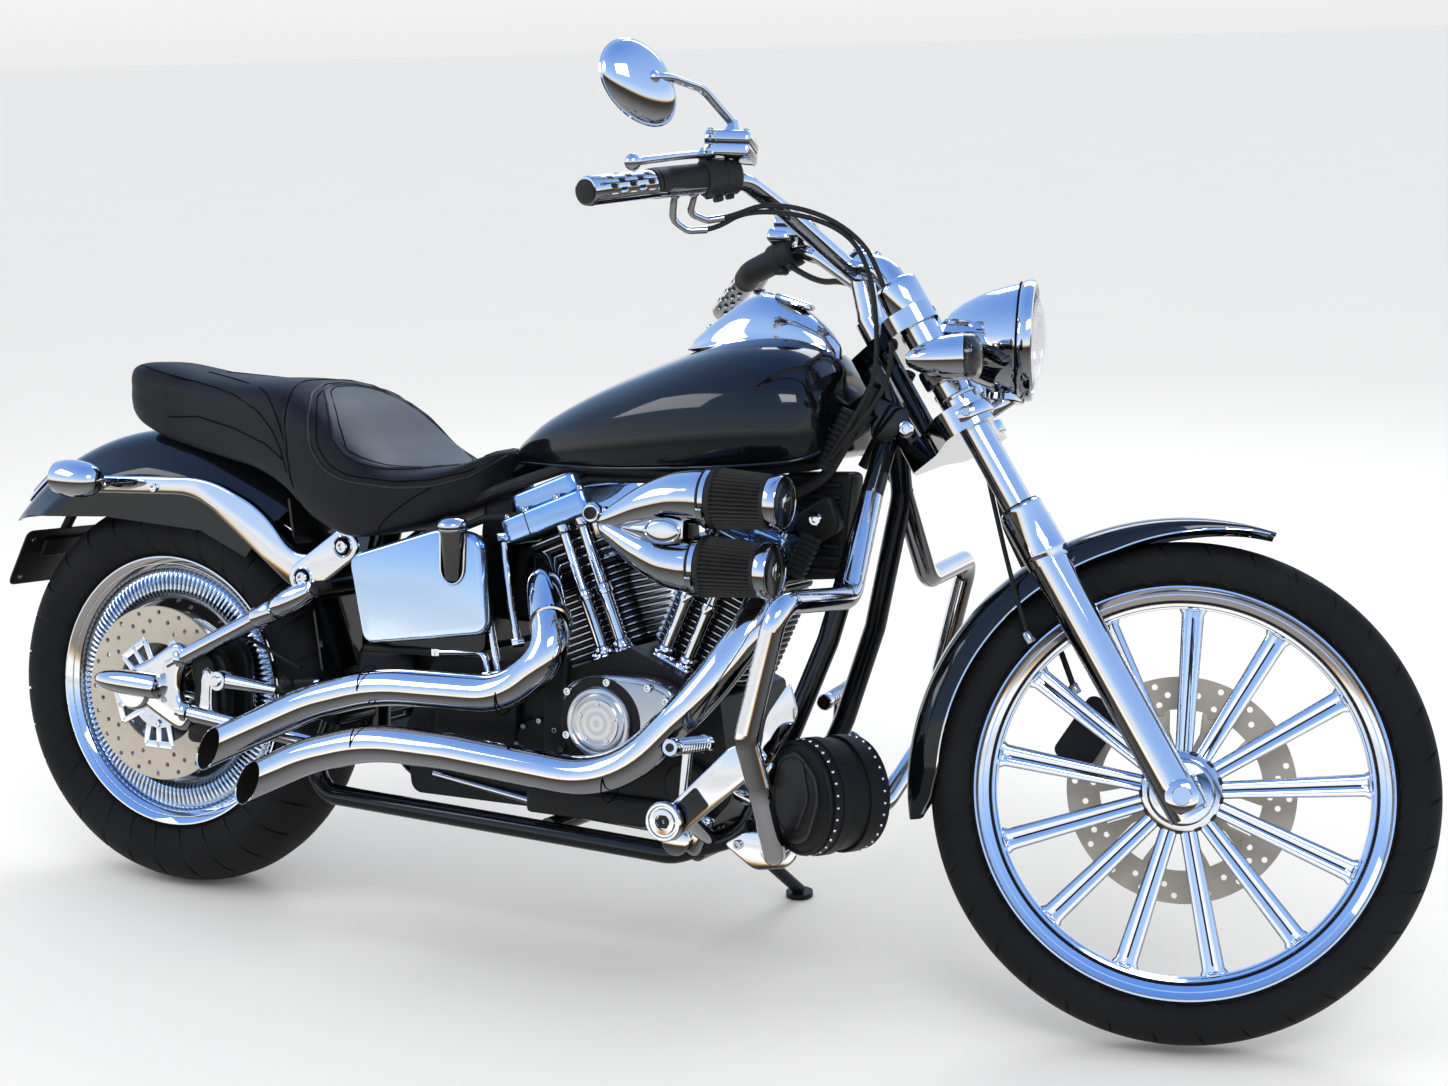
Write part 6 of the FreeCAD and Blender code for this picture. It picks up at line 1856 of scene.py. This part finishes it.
def makePedals():
    chrome, black, rubber, bolts = [], [], [], []
    for side in (-1, 1):
        def at(x, y, z):
            return Vector((x, side * y, z))
        # The arm and its pivot boss, the peg with ribbed rubber, and the lever with its toe piece.
        chrome.append(swept([at(1040, 116, 220), at(1058, 190, 250), at(1069, 262, 286)], 12, 24))
        boss = aimed(at(1004, 152, 222), (0, side, 0))
        chrome.append(turned([(0, 0), (20, 0), (22, 3), (22, 9), (19, 11.5), (0, 12.5)], 48, boss))
        chrome.append(block((46, 20, 66), 9, Matrix.Translation(at(1024, 142, 236)) @ spun(0.45, "Y")))
        peg = aimed(at(1069, 250, 289), (0, side, 0))
        chrome.append(turned([(0, 0), (17, 0), (20, 3), (20, 8), (17, 10), (0, 10)], 40, peg))
        ribs = [(0, 10), (16, 10)]
        for i in range(6):
            ribs += [(19.5, 12 + i * 8.0), (19.5, 15.5 + i * 8.0), (16.5, 17 + i * 8.0), (16.5, 19 + i * 8.0)]
        ribs += [(18, 62), (0, 66)]
        rubber.append(turned(ribs, 40, peg))
        chrome.append(turned([(0, 66), (25, 66), (27.5, 68.5), (27.5, 75), (25.5, 77.5), (22.5, 77.5),
                              (21, 75.5), (18.5, 75.5), (17, 78), (11, 78.6), (10.5, 76), (0, 76)], 56, peg))
        black.append(turned([(0, 75), (10, 75), (10, 78), (8.5, 79), (4, 79), (4, 76), (0, 76)], 6, peg))
        chrome.append(swept([at(1069, 268, 292), at(1070, 264, 340), at(1072, 262, 380)], 7.5, 20))
        toe = aimed(at(1072, 205, 378), (0, side * 113, 12))
        knurl = [(0, 0), (11, 0), (13, 2), (13, 12), (10.5, 13)]
        for i in range(10):
            knurl += [(11.8, 15 + i * 8.0), (11.8, 19 + i * 8.0), (9.6, 20 + i * 8.0), (9.6, 22 + i * 8.0)]
        knurl += [(12.5, 97), (12.5, 110), (11, 113), (0, 113)]
        chrome.append(turned(knurl, 40, toe))
        black.append(turned([(0, 112.6), (6, 112.6), (6, 114.4), (0, 114.4)], 24, toe))
        bolts.append(bolt(onBike @ aimed(at(1040, 150, 262), (0, side, 0)), 7, 6))
    settle(chrome, "footPedals", "chrome", "chassis", onBike, 40, ["foot_controls"])
    settle(black, "pedalCentres", "plastic", "chassis", onBike, 40)
    settle(rubber, "pegRubbers", "rubber", "chassis", onBike, 40)
    settle(bolts, "pedalBolts", "alloy", "chassis")
    # Rods that run back from the pedals.
    rods = [swept([(560, -112, 262), (700, -118, 246), (820, -122, 232)], 6, 16),
            swept([(830, -122, 231), (1010, -128, 226)], 6, 16),
            turned([(0, -10), (11, -9), (12, -6), (12, 6), (11, 9), (0, 10)], 24,
                   aimed((824, -126, 240), (0, -1, 0)))]
    settle(rods, "pedalRods", "chrome", "chassis", onBike, 40)


# Tool bag on the crash bar

bagLook = {"middle": (1250.6, -188, 323), "along": (-0.525, -0.849, 0), "length": 96, "radius": 78}


def makeBag(look):
    ahead = Vector(look["along"]).normalized()
    base = Vector(look["middle"]) - ahead * look["length"] / 2
    place = aimed(base, ahead)
    length, radius = look["length"], look["radius"]

    def skin(u, v):
        # A drum whose side sags and swells, closed by soft ends.
        turn = u * math.tau
        if v < 0.16:
            share = v / 0.16
            r = (radius - 4) * share
            z = -1.5 - 2.6 * math.sin(share * math.pi)
        elif v > 0.84:
            share = (1 - v) / 0.16
            r = (radius - 4) * share
            z = length + 1.5 + 2.6 * math.sin(share * math.pi)
        else:
            share = (v - 0.16) / 0.68
            r = radius - 4 + 3.5 * math.sin(share * math.pi) ** 0.5 + 0.9 * math.sin(turn * 3 + share * 4)
            z = length * share
        return (r * math.cos(turn), r * math.sin(turn), z)

    body = wrapped(96, 64, skin)
    settle(body, "bagBody", "bag", "chassis", onBike @ place, 50, ["drum_bag"])
    trims = []
    for z in (1.0, length - 1.0):
        trims.append(turned([(radius - 4.5, z - 3), (radius - 1, z - 3), (radius + 0.8, z),
                             (radius - 1, z + 3), (radius - 4.5, z + 3)], 96, place))
    for z, wide in ((16, 11), (length - 19, 13)):
        trims.append(turned([(radius - 2, z - wide), (radius + 0.9, z - wide + 1),
                             (radius + 0.9, z + wide - 1), (radius - 2, z + wide)], 96, place))
    # A kite-shaped flap folds over the outer end, with its fold line and tongue.
    kite = [(-40, 52), (2, 66), (46, 40), (56, 6), (34, -52), (-6, -66), (-46, -40), (-56, 4)]
    flap = plate(roundedOutline(kite, 16, 6), 7.0, 2.6, place @ shift(0, 0, length + 0.6), 4)
    tongue = plate(roundedOutline([(-10, 52), (18, 58), (38, 6), (12, -44), (-30, -14)], 12, 6), 5.0, 2.2,
                   place @ shift(0, 0, length + 6.6), 4)
    back = plate(roundedOutline(kite, 16, 6), 3.0, 1.4, place @ shift(0, 0, -4.2))
    settle([flap, tongue], "bagFlap", "inset", "chassis", onBike, 45)
    trims.append(back)
    # Straps hold it to the bar.
    for z in (24, length - 28):
        trims.append(turned([(radius + 0.6, z - 8), (radius + 3, z - 7.5), (radius + 3, z + 7.5),
                             (radius + 0.6, z + 8)], 96, place))
    settle(trims, "bagTrim", "bag", "chassis", onBike, 45)
    studs = []
    count = 30
    for z in (length - 27, length - 11, 8):
        for i in range(count):
            turn = i * math.tau / count
            spot = place @ spun(turn) @ shift(radius + 0.8, 0, z) @ spun(math.pi / 2, "Y")
            studs.append(turned([(0, 0), (2.6, 0), (2.2, 1.2), (1.2, 2.0), (0, 2.2)], 10, spot))
    for x, y in ((52, 0), (40, -34), (-4, -58), (-40, -30)):
        studs.append(turned([(0, 0), (2.8, 0), (2.4, 1.4), (0, 2.4)], 12,
                            place @ shift(x * 0.92, y * 0.92, length + 5)))
    settle(studs, "bagStuds", "chrome", "chassis", onBike, 50)
    inset = 0.88
    line = [place @ Vector((x * inset, y * inset, length + 7.8)) for x, y in roundedOutline(kite, 16, 6)]
    threads = [swept(line + line[:1], 0.9, 6, ends=False)]
    for z in (length - 32, 27):
        threads.append(turned([(radius + 0.2, z - 0.8), (radius + 1.2, z), (radius + 0.2, z + 0.8)], 96,
                              place))
    settle(threads, "bagThreads", "leather", "chassis", onBike, 60)


# Cables

cableLook = {
    "throttle": [[(1032, -251.6, 1059.6), (1048, -244.4, 1064.4), (1092, -218, 1092), (1162, -178, 1088),
                  (1218, -152, 1056), (1244, -138, 1008), (1262, -126, 952)],
                 [(1012, -257, 1042.7), (1030, -250.2, 1045.7), (1066, -228, 1078), (1140, -186, 1084),
                  (1200, -158, 1064), (1228, -142, 1016), (1240, -128, 950)]],
    "lower": [[(1290, -108, 900), (1268, -100, 860), (1236, -92, 824), (1196, -84, 780)],
              [(1270, -108, 896), (1240, -98, 846), (1206, -88, 800), (1180, -80, 764)]],
    "clutch": [(1030, 262, 1104), (1090, 214, 1062), (1150, 150, 1058), (1200, 96, 1020), (1214, 78, 966)],
    "clutchLow": [(1226, 66, 910), (1214, 60, 850), (1206, 64, 790), (1220, 88, 740)],
}


def makeCable(name, upper, lower, radius, start, end, stands=()):
    # Points on the fork are placed as the fork stands at rest, the others on the frame; the curve turns softly
    # between them.
    points = [onFork @ Vector(p) for p in upper] + [onBike @ Vector(p) for p in lower]
    cable = bevelled("NURBS", points, radius * millimetre, 4, True)
    cable.name = name
    cable.data.name = name
    cable.data.materials.append(finishes["rubber"])
    bpy.ops.object.shade_smooth_by_angle(angle=math.radians(60))
    if stands:
        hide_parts(*stands)
    tuple(onBike @ Vector(start))
    tuple(onFork @ Vector(end))
    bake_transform(cable)


def makeCables(look):
    first, second = zip(look["throttle"], look["lower"])
    ends = (1236, -92, 824), (1244, -138, 1008)
    makeCable("throttleCableA", *first, 3.5, *ends, ["control_cables"])
    makeCable("throttleCableB", *second, 3.5, *ends)
    makeCable("clutchCable", look["clutch"], look["clutchLow"], 4.8, (1214, 60, 850), (1200, 96, 1020))
    elbows = []
    for points in ([(1004, -284, 1100), (1004, -280, 1080), (998, -270, 1062), (1020, -257, 1056),
                    (1040, -248, 1062)],
                   [(984, -300, 1094), (980, -290, 1072), (976, -272, 1052), (996, -263, 1040),
                    (1020, -254, 1044)]):
        elbows.append(swept(roundedRoute(points, 16, 6), 5.0, 16))
        elbows.append(turned([(0, 0), (7.5, 0), (7.5, 16), (6, 18), (0, 18)], 20,
                             aimed(points[0], Vector(points[1]) - Vector(points[0]))))
    settle(elbows, "cableElbows", "chrome", "fork", onFork, 40)


def makeBrakeLine():
    points = [forkPoint(67.8, -60, 929.7), forkPoint(67.8, -62, 890), forkPoint(50, -66, 830),
              forkPoint(30, -70, 760), forkPoint(14, -70, 700), forkPoint(0, -60, 640)]
    path = [forkPoint(67.8, 84, 929.7), forkPoint(67.8, 84, 890), forkPoint(41.8, 84, 800),
            forkPoint(31.8, 84, 650), forkPoint(15.8, 84, 552)]
    lines = [swept(roundedRoute(path, 90, 10), 4.5, 16), swept(roundedRoute(points, 90, 10), 3.4, 16)]
    settle(lines, "brakeLines", "rubber", "fork", onFork, 60, ["brake_hose"])
    ends = []
    for point in (path[-1], points[-1]):
        ends.append(turned([(0, -8), (7, -8), (7.5, -6), (7.5, 6), (6, 8), (0, 8)], 20, aimed(point, axisUp)))
    settle(ends, "brakeLineEnds", "alloy", "fork", onFork)


# Front fender, drawn out to thin tips

fenderLook = {
    "outer": 376, "wall": 3, "half": 64, "from": 74, "to": 191,
    "drop": [(0, 5), (0.05, 9), (0.16, 22), (0.30, 36), (0.45, 40), (0.80, 44), (0.90, 44), (0.96, 34),
             (1, 14)],
    "width": [(0, 0.80), (0.06, 0.90), (0.15, 1.0), (0.80, 1.0), (0.90, 0.84), (0.96, 0.60), (1, 0.22)],
}


def makeFender(look):
    place = frontWheelPlace

    def valueAt(line, t):
        for (before, low), (after, high) in zip(line, line[1:]):
            if t <= after:
                return low + (high - low) * (t - before) / (after - before)
        return line[-1][1]

    def shape(u, v):
        # Over the outside from one edge to the other, then back along the inside.
        outside = u < 0.5
        lean = (u * 2 if outside else 2 - u * 2) * math.pi - math.pi / 2
        bend = math.copysign(abs(math.sin(lean)) ** 0.85, math.sin(lean))
        across = look["half"] * valueAt(look["width"], v) * bend
        drop = valueAt(look["drop"], v) * (1 - max(0, math.cos(lean)) ** 0.62)
        radius = look["outer"] - drop - (0 if outside else look["wall"])
        across *= 1 if outside else 1 - look["wall"] / look["half"]
        turn = math.radians(look["from"] + (look["to"] - look["from"]) * v)
        return (radius * math.cos(turn), -radius * math.sin(turn), across)

    settle(wrapped(72, 96, shape), "frontFender", "paint", "fork", place, 50, ["front_fender"])
    beads = []
    for side in (-1, 1):
        edge = []
        for i in range(73):
            v = 0.01 + 0.98 * i / 72
            turn = math.radians(look["from"] + (look["to"] - look["from"]) * v)
            radius = look["outer"] - valueAt(look["drop"], v) - 0.8
            edge.append((radius * math.cos(turn), -radius * math.sin(turn),
                         side * (look["half"] * valueAt(look["width"], v) - 1.2)))
        beads.append(swept(edge, 2.0, 10))
    settle(beads, "fenderBeads", "chrome", "fork", place, 60)


# Chrome plates and brackets round the crash bar's foot

def makeBarPlates():
    arm = plate(roundedOutline([(1048, 286), (1076, 258), (1180, 352), (1216, 388), (1196, 410), (1160, 400)],
                               9, 5), 9, 2.5, upright(304))
    grip = plate(roundedOutline([(1058, 288), (1078, 268), (1132, 316), (1110, 340)], 5, 5), 2, 0.7,
                 upright(312.4))
    settle(grip, "barArmInlay", "darkChromeAndShade", "chassis", onBike, 40)
    leaf = plate(roundedOutline([(1206, 482), (1220, 436), (1182, 364), (1160, 360), (1172, 430)], 12, 6), 4,
                 1.4, upright(222))
    foot = plate(roundedOutline([(1096, 236), (1132, 258), (1188, 262), (1212, 234), (1196, 214),
                                 (1146, 204)], 12, 6), 6, 2, upright(188))
    knob = block((40, 34, 48), 10, shift(1160, -206, 350) @ spun(0.5, "Y"), 0.8)
    band = swept([(1096, -140, 300), (1150, -176, 296), (1192, -196, 268)], 13, 24)
    settle([arm, foot, knob, band], "barBrackets", "chrome", "chassis", onBike, 40)
    settle(leaf, "barLeaf", "chrome", "chassis", onBike, 40)
    caps = [bolt(onBike @ upright(194) @ shift(x, z, 0), 7, 5) for x, z in ((1120, 238), (1186, 238))]
    caps.append(bolt(onBike @ upright(313) @ shift(1190, 386, 0), 7, 5))
    settle(caps, "barPlateBolts", "alloy", "chassis")


# Seams, piping and the smooth panel of the seat

seamLook = {
    "tailLow": [(-60, -60, 862), (-25, -78, 862), (19, -84, 856), (72, -90, 849), (134, -107, 839),
                (181, -123, 830), (245, -146, 808), (276, -154, 783), (299, -158, 750), (312, -160, 716)],
    "tailHigh": [(49, -24, 864), (115, -58, 858), (177, -93, 851), (249, -132, 838), (282, -151, 811),
                 (300, -156, 773), (318, -162, 726)],
    "bolster": [(262, 0, 858), (269, -58, 855), (289, -118, 842), (303, -149, 814), (310, -158, 766),
                (319, -162, 709), (334, -156, 656), (352, -150, 640)],
    "welt": [(288, 0, 854), (293, -40, 852), (319, -110, 835), (346, -152, 798), (362, -166, 756),
             (386, -169, 726), (416, -170, 713), (441, -169, 708), (505, -155, 702), (559, -131, 706),
             (603, -91, 722), (626, -50, 746), (632, 0, 762)],
    "weltTwin": [(297, 0, 853), (302, -40, 850), (328, -106, 834), (356, -146, 800), (372, -162, 760),
                 (396, -166, 733), (424, -167, 720), (448, -165, 716), (505, -150, 712), (556, -126, 714),
                 (596, -87, 727), (618, -48, 748), (624, 0, 761)],
    "lower": [(559, -133, 704), (534, -144, 688), (506, -157, 664), (488, -159, 647), (466, -140, 632)],
    "under": [(-60, -78, 800), (39, -102, 789), (96, -109, 793), (190, -134, 778), (266, -153, 757),
              (302, -160, 736)],
}
panelLook = [(300, 0, 852), (300, -34, 848), (317, -74, 841), (352, -112, 815), (374, -134, 795),
             (396, -152, 768), (418, -156, 748), (446, -150, 736), (476, -132, 729), (505, -92, 728),
             (518, -46, 731), (520, 0, 732)]


def makeSeams(look, panel):
    seat = bpy.data.objects["seatCover"]

    def onto(points, lift):
        path = []
        for point in roundedRoute(points, 60, 6):
            place, normal = seat.closest_point_on_mesh(onBike @ Vector(point))[1:3]
            path.append(place + normal * lift)
        return path

    threads, welts = [], []
    for name, points in look.items():
        flipped = [(x, -y, z) for x, y, z in points]
        # A line that starts in the middle runs right across the seat. Any other lies on both sides.
        lines = [points, flipped] if points[0][1] else [flipped[:0:-1] + points]
        made, size = (welts, 0.0021) if name == "welt" else (threads, 0.0012)
        made += [swept(onto(line, 0.0002), size, 8) for line in lines]
    flipped = [(x, -y, z) for x, y, z in panel]
    closed = flipped[-2:0:-1] + panel + [flipped[-2]]
    welts.append(swept(onto(closed, 0.0006), 0.0026, 10))
    inner = [(x + (9 if x < 400 else -8), y * 0.93, z) for x, y, z in closed]
    threads.append(swept(onto(inner, 0.0004), 0.0012, 8))
    settle(welts, "seatPiping", "inset", "chassis", None, 60)
    settle(threads, "seatThreads", "sootAndShade", "chassis", None, 60)
    # The dish has its own smoother cover, a patch of the seat's skin raised a little.
    picked(seat)
    bpy.ops.object.duplicate()
    patch = bpy.context.object
    back = onBike.inverted()
    sides = sorted((x, abs(y)) for x, y, z in panel)
    picked(patch)
    editAll()
    bpy.ops.mesh.select_all(action="DESELECT")
    objectMode()
    for face in patch.data.polygons:
        x, y, z = back @ face.center
        reach = 0
        for (before, low), (after, high) in zip(sides, sides[1:]):
            if before <= x <= after:
                reach = max(reach, low + (high - low) * (x - before) / max(after - before, 0.01))
        up = back.to_3x3() @ face.normal
        face.select = not (abs(y) < reach and up.z > 0)
    bpy.ops.object.mode_set(mode="EDIT")
    bpy.ops.mesh.delete(type="FACE")
    bpy.ops.mesh.select_all(action="SELECT")
    bpy.ops.transform.shrink_fatten(value=0.0007)
    objectMode()
    modified(patch, "SOLIDIFY", thickness=0.0012, offset=-1)
    settle(patch, "seatPanel", "inset", "chassis", None, 60)


makeFender(fenderLook)
makeBarPlates()
makeSeams(seamLook, panelLook)
makeOilCover(coverLook)
makeOilLines()
makeBay()
makeExhaustTrim()
makePedals()
makeBag(bagLook)
makeCables(cableLook)
makeBrakeLine()
print("details made")


# Studio and camera

view = {
    "location": (1.5862, -2.8957, 1.3663),
    "turn": (77.22, 1.842, 26.064),
    "lens": 55.231,
}
studio = {"sky": 0.97, "floorSize": 600.0, "floorTone": 0.86}


def makeCamera():
    lens = bpy.data.cameras.new("camera")
    lens.lens = view["lens"]
    lens.sensor_width = 36
    camera = added("camera", lens)
    camera.location = view["location"]
    camera.rotation_euler = [math.radians(a) for a in view["turn"]]
    bpy.context.scene.camera = camera
    bpy.context.scene.view_settings.view_transform = "Standard"


def makeSky():
    # Even white light, with a pale blue dome that the camera and polished metal see.
    world = bpy.data.worlds.new("studioSky")
    bpy.context.scene.world = world
    world.use_nodes = True
    tree = world.node_tree

    def node(kind, **settings):
        made = tree.nodes.new("ShaderNode" + kind)
        for key, value in settings.items():
            setattr(made, key, value)
        return made

    height = node("SeparateXYZ")
    tree.links.new(node("TexCoord").outputs["Generated"], height.inputs[0])
    dome = node("ValToRGB")
    stops = [(0.0, (0.845, 0.845, 0.845)), (0.025, (0.90, 0.90, 0.90)), (0.08, (0.72, 0.84, 1.0)),
             (0.30, (0.40, 0.60, 0.96)), (1.0, (0.16, 0.33, 0.78))]
    setRamp(dome.color_ramp, stops)
    tree.links.new(height.outputs[2], dome.inputs[0])
    path = node("LightPath")
    seen = node("Math", operation="MAXIMUM")
    tree.links.new(path.outputs["Is Camera Ray"], seen.inputs[0])
    tree.links.new(path.outputs["Is Glossy Ray"], seen.inputs[1])
    seenThrough = node("Math", operation="MAXIMUM")
    tree.links.new(seen.outputs[0], seenThrough.inputs[0])
    tree.links.new(path.outputs["Is Transmission Ray"], seenThrough.inputs[1])
    mix = node("Mix", data_type="RGBA")
    tree.links.new(seenThrough.outputs[0], mix.inputs[0])
    mix.inputs[6].default_value = (studio["sky"], studio["sky"], studio["sky"], 1)
    tree.links.new(dome.outputs[0], mix.inputs[7])
    tree.links.new(mix.outputs[2], tree.nodes["Background"].inputs["Color"])


def makeStudio():
    calm()
    bpy.ops.mesh.primitive_plane_add(size=studio["floorSize"], location=(0, 0, -0.0005))
    floor = bpy.context.object
    floor.name = "studioFloor"
    finish = Finish("studioFloor", Roughness=0.9, Specular_IOR_Level=0.1)
    tone = studio["floorTone"]
    finish.feed("Base Color", finish.blend(finish.noise(1.5, 2.0), (tone, tone, tone),
                                           (tone * 0.98, tone * 0.98, tone * 0.98)))
    floor.data.materials.append(finish.material)
    for name, place, size, power in (("keyLight", (2.8, -3.4, 4.0), 2.4, 70),
                                     ("fillLight", (-3.4, -2.6, 3.0), 2.4, 35),
                                     ("rimLight", (-0.5, 3.4, 3.4), 2.4, 45)):
        lamp = bpy.data.lights.new(name, "AREA")
        lamp.shape = "RECTANGLE"
        lamp.size = size
        lamp.size_y = size * 0.6
        lamp.energy = power
        holder = added(name, lamp)
        holder.location = place
        aim = Vector((0, 0, 0.5)) - Vector(place)
        holder.rotation_euler = aim.to_track_quat("-Z", "Y").to_euler()


makeCamera()
makeSky()
makeStudio()
print("studio and camera set")
